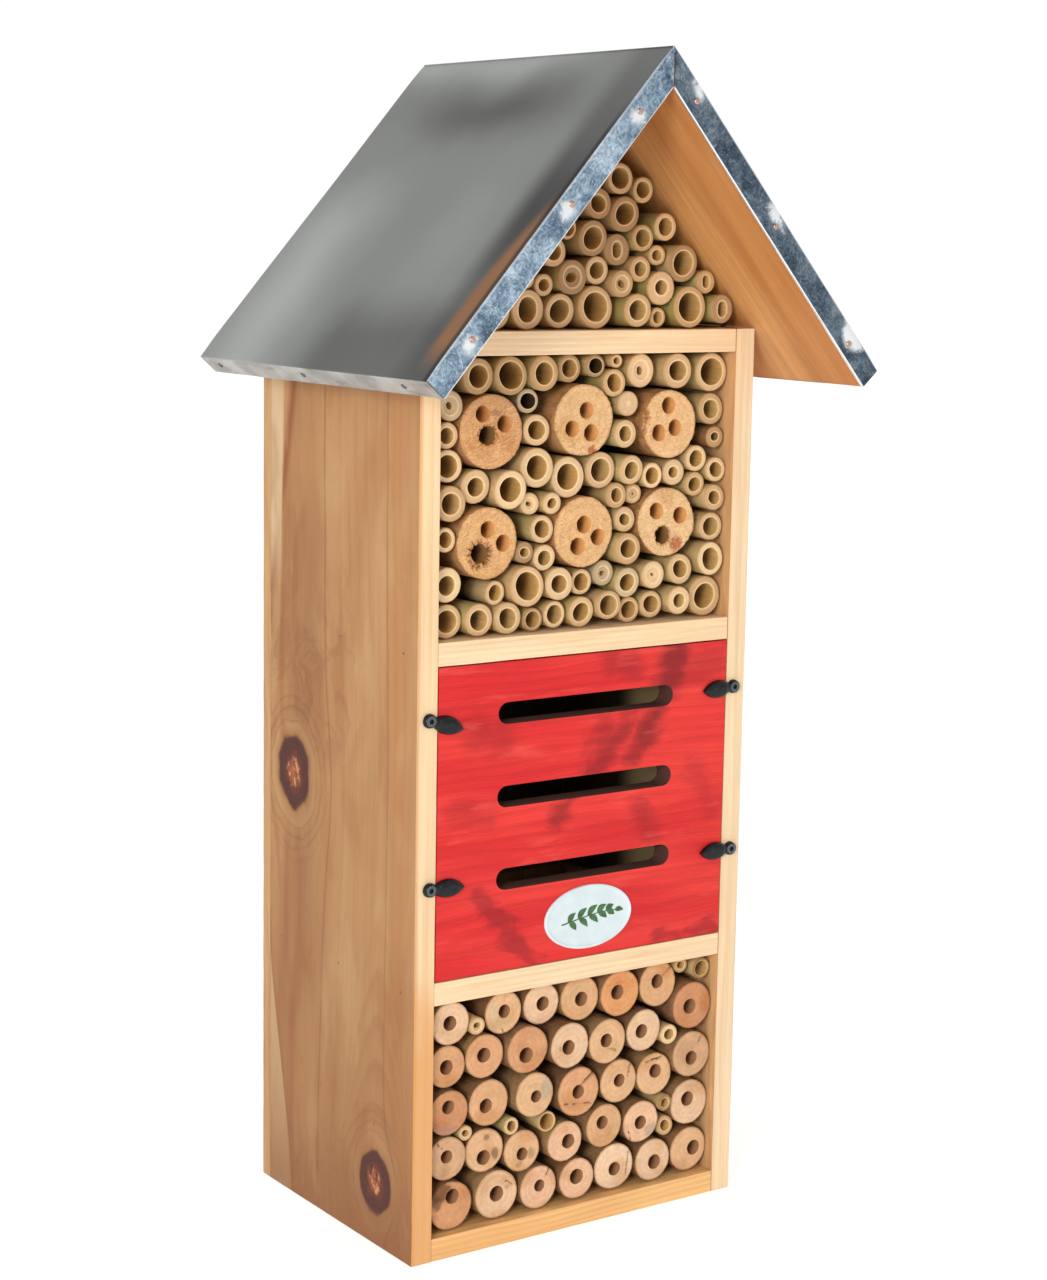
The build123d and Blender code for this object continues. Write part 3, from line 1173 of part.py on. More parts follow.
with BuildPart() as log_upper_centre:
    x, z, r_out, recess = log_upper_centre_at
    face = Plane(origin=(x, case_front + recess, z), x_dir=(1, 0, 0), z_dir=(0, -1, 0))
    with BuildSketch(face):
        Circle(r_out)
    extrude(amount=-(tube_end - recess))
    for dx, dz, r_bore in log_upper_centre_holes:
        with BuildSketch(face):
            with Locations((dx, dz)):
                Circle(r_bore)
        extrude(amount=-log_hole_depth, mode=Mode.SUBTRACT)
log_upper_centre.part.label = "log_upper_centre"
export_step(log_upper_centre.part, "parts/log_upper_centre.step")

with BuildPart() as log_upper_right:
    x, z, r_out, recess = log_upper_right_at
    face = Plane(origin=(x, case_front + recess, z), x_dir=(1, 0, 0), z_dir=(0, -1, 0))
    with BuildSketch(face):
        Circle(r_out)
    extrude(amount=-(tube_end - recess))
    for dx, dz, r_bore in log_upper_right_holes:
        with BuildSketch(face):
            with Locations((dx, dz)):
                Circle(r_bore)
        extrude(amount=-log_hole_depth, mode=Mode.SUBTRACT)
log_upper_right.part.label = "log_upper_right"
export_step(log_upper_right.part, "parts/log_upper_right.step")

with BuildPart() as log_lower_left:
    x, z, r_out, recess = log_lower_left_at
    face = Plane(origin=(x, case_front + recess, z), x_dir=(1, 0, 0), z_dir=(0, -1, 0))
    with BuildSketch(face):
        Circle(r_out)
    extrude(amount=-(tube_end - recess))
    for dx, dz, r_bore in log_lower_left_holes:
        with BuildSketch(face):
            with Locations((dx, dz)):
                Circle(r_bore)
        extrude(amount=-log_hole_depth, mode=Mode.SUBTRACT)
log_lower_left.part.label = "log_lower_left"
export_step(log_lower_left.part, "parts/log_lower_left.step")

with BuildPart() as log_lower_centre:
    x, z, r_out, recess = log_lower_centre_at
    face = Plane(origin=(x, case_front + recess, z), x_dir=(1, 0, 0), z_dir=(0, -1, 0))
    with BuildSketch(face):
        Circle(r_out)
    extrude(amount=-(tube_end - recess))
    for dx, dz, r_bore in log_lower_centre_holes:
        with BuildSketch(face):
            with Locations((dx, dz)):
                Circle(r_bore)
        extrude(amount=-log_hole_depth, mode=Mode.SUBTRACT)
log_lower_centre.part.label = "log_lower_centre"
export_step(log_lower_centre.part, "parts/log_lower_centre.step")

with BuildPart() as log_lower_right:
    x, z, r_out, recess = log_lower_right_at
    face = Plane(origin=(x, case_front + recess, z), x_dir=(1, 0, 0), z_dir=(0, -1, 0))
    with BuildSketch(face):
        Circle(r_out)
    extrude(amount=-(tube_end - recess))
    for dx, dz, r_bore in log_lower_right_holes:
        with BuildSketch(face):
            with Locations((dx, dz)):
                Circle(r_bore)
        extrude(amount=-log_hole_depth, mode=Mode.SUBTRACT)
log_lower_right.part.label = "log_lower_right"
export_step(log_lower_right.part, "parts/log_lower_right.step")
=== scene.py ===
import math
import random

import bmesh
import bpy
import numpy as np
from mathutils import Matrix, Vector, noise
from mathutils.geometry import delaunay_2d_cdt


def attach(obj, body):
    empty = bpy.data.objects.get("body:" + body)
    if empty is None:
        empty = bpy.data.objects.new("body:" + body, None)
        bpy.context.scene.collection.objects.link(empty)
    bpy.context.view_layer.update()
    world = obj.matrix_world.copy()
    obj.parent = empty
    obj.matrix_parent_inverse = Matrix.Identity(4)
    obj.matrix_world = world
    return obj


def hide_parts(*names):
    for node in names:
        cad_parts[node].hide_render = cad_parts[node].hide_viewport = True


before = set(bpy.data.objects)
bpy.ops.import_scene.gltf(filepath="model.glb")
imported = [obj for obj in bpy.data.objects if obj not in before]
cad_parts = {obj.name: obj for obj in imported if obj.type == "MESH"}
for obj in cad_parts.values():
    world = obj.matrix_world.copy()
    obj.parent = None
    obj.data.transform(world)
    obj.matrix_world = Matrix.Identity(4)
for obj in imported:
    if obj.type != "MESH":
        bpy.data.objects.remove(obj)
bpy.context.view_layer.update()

# Looks of the insect hotel. Lengths in the tables and helpers are millimetres in
# the row frame; put() turns them into metres.
MM = 0.001

# ------------------------------------------------------------ sizes, as in the CAD
FRONT = -51.5
CASE_BACK = 94.5
TUBE_BACK = 94.2
HALF_W = 102.5
PITCH = math.radians(48.7)
CA, SA, TA = math.cos(PITCH), math.sin(PITCH), math.tan(PITCH)
SHEET_T = 0.5
ROOF_T = 12.0
SLOPE = 205.6
APEX_IN = 468.0 + HALF_W * TA
APEX_SHEET = APEX_IN + (ROOF_T + SHEET_T) / CA
RAKE_DROP, EAVE_DROP, HEM, SLIT = 13.0, 12.0, 1.6, 0.8
NAIL_DOWN = 6.2
LEFT_NAILS = (36.4, 94.3, 176.3)
RIGHT_NAILS = (28.4, 105.6, 182.2)
EAVE_NAIL_Y = (-31.6, 61.6, 147.6)
PIVOTS = {
    "top_left": (-1, -95.5, 279.5, -16.0),
    "bottom_left": (-1, -94.5, 194.5, -1.0),
    "top_right": (1, 94.5, 280.0, -3.0),
    "bottom_right": (1, 95.5, 192.0, -1.5),
}


def slope_point(side, along, down):
    return (side * (along * CA - down * SA), APEX_SHEET - along * SA - down * CA)


bamboo_top_row_left_tubes = [
    (-82.27, 447.51, 7.72, 5.00, 9.0, 80),
    (-65.49, 445.95, 8.92, 5.60, 6.0, 73),
    (-46.58, 446.00, 9.77, 7.00, 5.5, 109),
    (-27.20, 446.90, 8.90, 5.60, 4.7, 92),
    (-10.20, 448.80, 7.00, 4.50, 7.2, 109),
    (5.60, 449.90, 5.90, 4.00, 6.9, 96),
]
bamboo_top_row_right_tubes = [
    (18.10, 452.20, 3.60, 2.00, 5.8, 41),
    (16.94, 441.14, 7.03, 4.80, 5.9, 106),
    (33.40, 447.10, 8.70, 2.40, 5.8, 42),
    (55.41, 446.68, 9.12, 5.60, 3.6, 72),
    (79.40, 445.50, 10.20, 7.20, 6.2, 99),
]
bamboo_between_upper_logs_tubes = [
    (-81.17, 432.04, 7.58, 2.10, 6.3, 46),
    (-34.60, 433.20, 6.40, 4.40, 8.0, 63),
    (-29.40, 418.70, 8.10, 5.10, 7.3, 59),
    (-83.70, 417.84, 6.60, 4.00, 5.0, 67),
    (25.52, 430.52, 6.40, 0.00, 5.4, 36),
    (23.57, 415.39, 7.20, 4.00, 4.6, 81),
    (81.10, 426.40, 8.30, 4.90, 7.9, 65),
    (83.20, 411.70, 5.80, 2.40, 6.7, 52),
]
bamboo_centre_row_left_tubes = [
    (-81.58, 402.76, 8.40, 5.60, 7.4, 63),
    (-65.40, 392.10, 8.65, 4.60, 7.3, 92),
    (-46.85, 390.04, 9.80, 6.20, 3.7, 102),
    (-29.43, 400.07, 10.00, 6.00, 6.3, 67),
    (-9.59, 394.46, 10.40, 6.60, 7.7, 66),
    (-81.45, 384.59, 8.85, 5.20, 4.5, 61),
    (-33.07, 382.26, 5.80, 1.70, 6.9, 54),
    (-21.46, 382.20, 5.60, 2.80, 4.2, 2),
]
bamboo_centre_row_right_tubes = [
    (10.55, 397.20, 9.30, 5.90, 7.6, 103),
    (27.67, 396.91, 7.60, 4.50, 4.3, 78),
    (41.68, 393.48, 6.60, 4.30, 5.0, 100),
    (56.14, 394.54, 7.10, 3.00, 6.0, 105),
    (70.10, 401.20, 6.80, 4.40, 5.2, 85),
    (83.40, 394.90, 6.60, 4.20, 5.3, 64),
    (70.38, 387.77, 6.40, 4.00, 6.1, 78),
    (81.92, 380.53, 7.00, 3.80, 4.0, 97),
    (20.04, 384.00, 6.60, 3.70, 6.4, 111),
    (31.96, 384.20, 5.10, 0.80, 7.8, 37),
]
bamboo_between_lower_logs_tubes = [
    (-84.13, 367.06, 6.17, 4.00, 4.6, 95),
    (-26.80, 369.40, 7.00, 4.60, 4.7, 77),
    (-35.63, 357.90, 5.53, 2.70, 7.0, 50),
    (-23.40, 354.60, 6.82, 3.80, 7.3, 95),
    (25.80, 371.51, 6.50, 3.30, 6.4, 60),
    (26.30, 356.59, 8.20, 4.80, 3.9, 58),
    (81.41, 365.14, 7.70, 4.90, 5.7, 69),
]
bamboo_second_row_left_tubes = [
    (-81.50, 344.50, 8.80, 4.90, 7.1, 80),
    (-53.13, 338.76, 6.20, 4.10, 6.8, 73),
    (-35.68, 341.25, 10.60, 7.60, 3.9, 77),
    (-15.30, 341.10, 8.40, 4.60, 5.4, 79),
    (0.15, 340.76, 6.83, 4.50, 7.9, 92),
]
bamboo_second_row_right_tubes = [
    (13.70, 344.50, 6.70, 1.80, 7.6, 34),
    (27.75, 338.95, 7.90, 4.60, 5.7, 86),
    (44.00, 342.00, 7.30, 1.10, 5.1, 31),
    (61.79, 343.81, 8.10, 4.70, 5.7, 90),
    (80.39, 348.46, 8.80, 5.90, 3.8, 107),
]
bamboo_bottom_row_left_tubes = [
    (-81.01, 326.30, 8.60, 5.70, 7.6, 98),
    (-63.89, 326.30, 8.30, 5.20, 4.8, 62),
    (-46.59, 325.80, 8.10, 5.30, 5.0, 92),
    (-30.51, 323.90, 6.20, 4.20, 6.3, 87),
    (-17.29, 325.54, 6.90, 4.80, 6.2, 115),
    (-1.04, 325.73, 8.03, 5.00, 5.8, 77),
]
bamboo_bottom_row_right_tubes = [
    (15.60, 328.20, 7.80, 5.20, 4.8, 58),
    (30.55, 324.40, 6.70, 4.60, 7.7, 109),
    (44.80, 326.20, 7.30, 4.70, 7.8, 112),
    (60.40, 327.60, 7.40, 3.60, 4.1, 106),
    (79.00, 328.50, 10.60, 6.80, 6.6, 103),
]
bamboo_lower_upper_set_tubes = [
    (-61.90, 118.30, 4.80, 1.90, 3.9, 37),
    (71.30, 128.80, 4.50, 2.40, 7.9, 52),
    (84.00, 125.60, 6.00, 4.40, 5.9, 101),
    (62.60, 92.41, 5.57, 3.10, 5.3, 104),
]
bamboo_lower_lower_set_tubes = [
    (-66.58, 61.69, 4.20, 2.10, 6.2, 46),
    (-38.72, 60.35, 4.85, 2.90, 5.5, 34),
    (-16.25, 58.50, 5.58, 4.38, 5.6, 86),
    (59.80, 55.20, 4.70, 2.70, 3.5, 49),
    (62.39, 41.01, 5.68, 3.20, 6.8, 110),
]
gable_bamboo_row_1_tubes = [
    (-87.70, 474.30, 5.20, 3.00, 5.8, 79),
    (-75.00, 476.50, 7.40, 4.60, 5.2, 87),
    (-58.00, 477.50, 9.30, 6.20, 4.0, 103),
    (-37.68, 478.02, 9.83, 6.30, 5.0, 79),
    (-17.81, 477.29, 8.68, 6.00, 5.7, 84),
    (2.99, 479.10, 10.90, 7.40, 4.5, 56),
    (27.30, 477.57, 8.79, 5.30, 1.5, 82),
    (41.80, 473.80, 5.10, 3.10, 4.0, 101),
    (60.83, 479.10, 10.60, 7.40, 2.0, 91),
    (81.70, 478.00, 7.60, 4.00, 2.0, 74),
]
gable_bamboo_row_2_tubes = [
    (-65.50, 490.50, 5.30, 3.00, 5.5, 90),
    (-52.00, 495.50, 7.00, 4.60, 4.8, 110),
    (-39.05, 493.53, 5.53, 3.00, 5.1, 84),
    (-27.58, 489.97, 5.60, 3.20, 5.9, 82),
    (-11.74, 493.92, 8.81, 3.40, 4.0, 59),
    (4.08, 497.28, 7.10, 4.50, 5.4, 109),
    (18.20, 490.73, 6.99, 2.50, 3.0, 43),
    (29.97, 498.02, 6.50, 3.80, 3.8, 90),
    (42.03, 488.58, 8.60, 3.80, 2.0, 98),
    (71.97, 491.70, 6.00, 3.20, 3.5, 58),
]
gable_bamboo_row_3_tubes = [
    (-52.00, 510.50, 5.80, 3.20, 5.1, 110),
    (-38.29, 506.50, 7.20, 4.80, 3.6, 115),
    (-23.06, 506.38, 7.81, 4.50, 4.7, 91),
    (0.28, 513.08, 8.93, 6.00, 4.0, 62),
    (16.64, 507.45, 8.15, 4.00, 5.9, 84),
    (31.02, 513.48, 6.74, 4.50, 3.6, 57),
    (40.80, 505.00, 5.20, 2.90, 4.3, 46),
    (56.50, 501.00, 9.60, 6.30, 3.0, 65),
]
gable_bamboo_row_4_tubes = [
    (-38.29, 521.47, 5.63, 3.60, 5.7, 110),
    (-25.68, 522.73, 6.82, 4.40, 6.0, 75),
    (-14.02, 517.80, 5.62, 4.00, 5.8, 101),
    (3.75, 530.04, 7.90, 4.60, 4.5, 84),
    (-10.37, 530.00, 6.00, 3.40, 5.9, 89),
    (20.05, 525.14, 8.90, 5.90, 4.3, 76),
    (43.78, 519.22, 7.04, 4.60, 2.0, 70),
]
gable_bamboo_row_5_tubes = [
    (-21.50, 537.30, 6.40, 4.20, 3.6, 84),
    (-9.51, 543.40, 4.68, 3.00, 4.2, 70),
    (1.86, 545.63, 6.68, 4.20, 5.6, 111),
    (16.37, 542.58, 7.93, 5.30, 4.0, 56),
    (30.05, 537.21, 6.55, 4.20, 3.0, 86),
    (-7.00, 556.80, 6.20, 4.00, 4.6, 84),
    (9.00, 558.80, 5.60, 3.40, 3.9, 96),
]
stem_row_1_pieces = [
    (-76.10, 25.50, 13.10, 0.90, 4.80, 4.00, 4.6, 84),
    (-47.90, 25.60, 13.10, 0.00, 0.40, 4.20, 4.7, 82),
    (-21.79, 24.10, 11.91, 0.80, 0.80, 3.30, 4.5, 88),
    (2.41, 24.26, 11.34, -0.10, 1.00, 4.20, 3.9, 97),
    (27.80, 25.30, 12.97, 0.50, -1.50, 3.80, 5.4, 98),
    (52.99, 24.28, 11.91, 1.30, -1.50, 4.10, 4.5, 89),
    (77.70, 25.32, 12.61, 3.70, 0.00, 4.20, 5.2, 78),
]
stem_row_2_pieces = [
    (-78.62, 51.01, 11.68, -0.20, 1.00, 3.50, 4.7, 89),
    (-54.75, 50.11, 11.99, -0.30, -3.80, 4.00, 6.6, 81),
    (-31.59, 45.49, 11.41, 0.30, -1.80, 3.50, 6.1, 94),
    (-5.06, 45.74, 11.18, 2.20, -0.30, 4.00, 4.8, 77),
    (20.06, 49.70, 12.04, -1.30, 2.00, 3.70, 4.4, 91),
    (44.30, 47.30, 11.80, 0.00, -0.50, 3.80, 4.5, 92),
    (77.54, 51.89, 12.76, -0.90, 1.90, 4.10, 5.5, 95),
]
stem_row_3_pieces = [
    (-77.99, 75.01, 12.10, -0.30, 3.10, 3.70, 4.7, 77),
    (-53.11, 75.60, 12.57, -1.70, -1.30, 3.90, 5.5, 93),
    (-25.70, 75.30, 12.10, 1.00, -1.00, 3.30, 3.6, 81),
    (2.60, 71.70, 13.50, 0.00, -0.10, 3.80, 4.2, 93),
    (29.68, 72.21, 12.22, 0.70, 0.20, 3.60, 5.6, 76),
    (53.80, 71.54, 11.71, 0.90, 1.60, 3.80, 6.2, 77),
    (77.40, 79.25, 12.91, 0.00, -2.30, 3.90, 4.2, 91),
]
stem_row_4_pieces = [
    (-78.98, 99.38, 11.32, -0.20, -0.30, 3.90, 5.3, 79),
    (-55.66, 100.63, 11.82, -0.50, 0.70, 4.00, 6.1, 79),
    (-30.10, 100.13, 12.73, -0.80, -2.80, 4.20, 4.4, 91),
    (-3.62, 98.00, 12.51, -0.80, -1.00, 4.00, 4.0, 85),
    (21.39, 95.65, 12.39, -0.70, 0.60, 3.80, 4.9, 90),
    (45.74, 97.43, 11.81, -1.40, -0.30, 3.90, 5.7, 95),
    (77.22, 106.30, 13.08, -1.50, -0.30, 4.20, 4.6, 94),
]
stem_row_5_pieces = [
    (-78.18, 122.35, 11.45, -0.40, 0.20, 3.90, 3.6, 92),
    (-44.20, 121.80, 11.62, 0.70, 0.50, 3.60, 6.6, 94),
    (-20.50, 122.45, 11.35, 1.00, 0.00, 3.90, 6.7, 89),
    (3.90, 121.68, 12.12, 1.00, -0.70, 3.90, 6.5, 93),
    (29.30, 120.60, 12.84, -1.70, 0.70, 4.10, 5.5, 77),
    (55.30, 121.15, 12.65, -0.20, 1.40, 3.90, 7.0, 76),
]
log_upper_left_at = (-57.27, 418.81, 19.05, 6.1)
log_upper_left_holes = [(-4.8, 8.8, 4.2), (7.8, 3.6, 4.3), (-2.0, -1.8, 4.9)]
log_upper_centre_at = (-1.61, 422.82, 18.83, 5.8)
log_upper_centre_holes = [(1.5, 5.0, 4.3), (-7.0, -4.0, 4.2), (4.7, -6.4, 4.4)]
log_upper_right_at = (51.97, 419.53, 18.02, 5.1)
log_upper_right_holes = [(-0.5, 9.5, 4.4), (-6.7, -4.3, 4.4), (3.8, -2.0, 4.3)]
log_lower_left_at = (-59.27, 364.03, 18.67, 5.2)
log_lower_left_holes = [(0.2, 6.8, 4.3), (9.5, -0.4, 4.3), (-4.3, -5.0, 5.0)]
log_lower_centre_at = (-0.40, 366.60, 18.70, 5.9)
log_lower_centre_holes = [(0.2, 3.7, 4.5), (-3.3, -7.3, 4.5), (8.9, -3.1, 4.3)]
log_lower_right_at = (52.09, 368.93, 18.60, 5.9)
log_lower_right_holes = [(-6.0, 5.9, 4.4), (9.0, 3.1, 4.4), (-2.0, -6.9, 4.6)]

# ============================================================ mesh helpers


def n1(x, seed=0.0):
    """Smooth noise along a line, -1 to 1."""
    return noise.noise(Vector((x, seed * 7.31 + 0.5, seed * 1.7)))


def n3(x, y, z, seed=0.0):
    return noise.noise(Vector((x + seed * 3.1, y - seed * 5.7, z + seed * 11.3)))


def sstep(a, b, v):
    t = min(1.0, max(0.0, (v - a) / (b - a)))
    return t * t * (3 - 2 * t)


class Build:
    """Collects vertices (mm), faces, material numbers and point attributes for one mesh."""

    def __init__(self):
        self.v, self.f, self.m, self.s = [], [], [], []
        self.attr = {}

    def vert(self, p, **at):
        i = len(self.v)
        self.v.append(p)
        for k, val in at.items():
            self.attr.setdefault(k, {})[i] = val
        return i

    def face(self, idx, mat=0, smooth=True):
        self.f.append(tuple(idx))
        self.m.append(mat)
        self.s.append(smooth)

    def ring(self, pts, **at):
        return [self.vert(p, **at) for p in pts]

    def bridge(self, a, b, mat=0, smooth=True):
        n = len(a)
        for i in range(n):
            j = (i + 1) % n
            self.face((a[i], a[j], b[j], b[i]), mat, smooth)

    def fan(self, ring, centre, mat=0, smooth=True, flip=False):
        n = len(ring)
        for i in range(n):
            j = (i + 1) % n
            t = (ring[i], ring[j], centre)
            self.face(t[::-1] if flip else t, mat, smooth)

    def put(self, name, mats, sharp=50.0, fix=True):
        me = bpy.data.meshes.new(name)
        me.from_pydata([(p[0] * MM, p[1] * MM, p[2] * MM) for p in self.v], [], self.f)
        for mt in mats:
            me.materials.append(mt)
        me.polygons.foreach_set("material_index", self.m)
        me.polygons.foreach_set("use_smooth", self.s)
        for k, vals in self.attr.items():
            sample = next(iter(vals.values()))
            if isinstance(sample, (tuple, list)):
                at = me.attributes.new(k, "FLOAT_COLOR", "POINT")
                arr = np.ones((len(self.v), 4), np.float32)
                for i, c in vals.items():
                    arr[i, :3] = c[:3]
                at.data.foreach_set("color", arr.ravel())
            else:
                at = me.attributes.new(k, "FLOAT", "POINT")
                arr = np.zeros(len(self.v), np.float32)
                for i, c in vals.items():
                    arr[i] = c
                at.data.foreach_set("value", arr)
        me.validate(clean_customdata=False)
        if fix:
            bm = bmesh.new()
            bm.from_mesh(me)
            bmesh.ops.recalc_face_normals(bm, faces=bm.faces)
            bm.to_mesh(me)
            bm.free()
        if sharp:
            me.set_sharp_from_angle(angle=math.radians(sharp))
        ob = bpy.data.objects.new(name, me)
        bpy.context.scene.collection.objects.link(ob)
        return ob


def apply_mods(ob):
    bpy.context.view_layer.update()
    dg = bpy.context.evaluated_depsgraph_get()
    me = bpy.data.meshes.new_from_object(ob.evaluated_get(dg), preserve_all_data_layers=True, depsgraph=dg)
    old = ob.data
    ob.modifiers.clear()
    ob.data = me
    bpy.data.meshes.remove(old)
    return ob


def circle(x, z, y, r, n=40, oval=0.0, turn=0.0, rough=0.0, seed=0.0, lumps=3.0):
    """Points of a slightly irregular circle in the plane y, counter-clockwise seen from -Y."""
    out = []
    for i in range(n):
        t = 2 * math.pi * i / n
        k = 1 - oval * (0.5 - 0.5 * math.cos(2 * (t - turn)))
        if rough:
            k -= rough * (0.5 + 0.5 * noise.noise(Vector((lumps * math.cos(t) * 0.5 + seed * 3.3, lumps * math.sin(t) * 0.5, seed * 1.9))))
        out.append((x + r * k * math.cos(t), y, z + r * k * math.sin(t)))
    return out


def soften(node, width=0.7, segs=3, step=8.0, wear=0.2, seed=0, wear_scale=0.05, name=None):
    """A copy of a CAD node with rounded, slightly worn edges. Returns the new object, without materials."""
    bm = bmesh.new()
    bm.from_mesh(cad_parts[node].data)
    bmesh.ops.remove_doubles(bm, verts=bm.verts, dist=3e-6)
    bmesh.ops.dissolve_limit(bm, angle_limit=math.radians(0.6), use_dissolve_boundaries=False, verts=bm.verts, edges=bm.edges, delimit=set())

    def keen(e):
        return len(e.link_faces) == 2 and e.calc_face_angle(0.0) > math.radians(25) and e.calc_length() > 0.0022

    for e in [e for e in bm.edges if keen(e)]:
        n = int(e.calc_length() / (step * MM))
        v0 = e.verts[0]
        far = e.verts[1]
        cur = e
        for k in range(n):
            left = n + 1 - k
            if cur is None:
                break
            res = bmesh.utils.edge_split(cur, v0, 1.0 / left)
            ne, nv = res
            # go on with the edge that still reaches the far end
            cur = None
            for c in nv.link_edges:
                if far in c.verts or c.other_vert(nv) is far:
                    cur = c
            v0 = nv
    bm.edges.ensure_lookup_table()
    edges = [e for e in bm.edges if len(e.link_faces) == 2 and e.calc_face_angle(0.0) > math.radians(25)]
    # short edges belong to drilled holes unless they were cut from a long one
    long_ones = [e for e in edges if e.calc_length() > 0.0022]
    res = bmesh.ops.bevel(bm, geom=long_ones, offset=width * MM, offset_type="OFFSET", segments=segs, profile=0.5,
                          affect="EDGES", clamp_overlap=True, material=-1)
    rounded = set(res["faces"])
    for f in bm.faces:
        f.smooth = f in rounded
    touched = set()
    for f in rounded:
        for v in f.verts:
            touched.add(v)
    bm.normal_update()
    moves = {}
    for v in touched:
        p = v.co * 1000
        k = noise.noise(Vector((p.x * wear_scale + seed, p.y * wear_scale, p.z * wear_scale)))
        k2 = noise.noise(Vector((p.x * wear_scale * 5 + seed, p.y * wear_scale * 5, p.z * wear_scale * 5)))
        d = wear * (0.5 + 0.5 * k) * 0.7 + wear * max(0.0, k2) * 0.6
        moves[v] = v.normal * (-d * MM)
    for v, mv in moves.items():
        v.co += mv
    me = bpy.data.meshes.new(name or node + "_look")
    bm.to_mesh(me)
    bm.free()
    ob = bpy.data.objects.new(name or node + "_look", me)
    bpy.context.scene.collection.objects.link(ob)
    return ob


def finish_piece(ob, body, slot, *nodes):
    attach(ob, body)
    if nodes:
        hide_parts(*nodes)
    return ob


# ============================================================ material helpers


def lin(r, g, b):
    """sRGB 0-255 to linear."""
    out = []
    for c in (r, g, b):
        c /= 255.0
        out.append(c / 12.92 if c <= 0.04045 else ((c + 0.055) / 1.055) ** 2.4)
    return (out[0], out[1], out[2], 1.0)


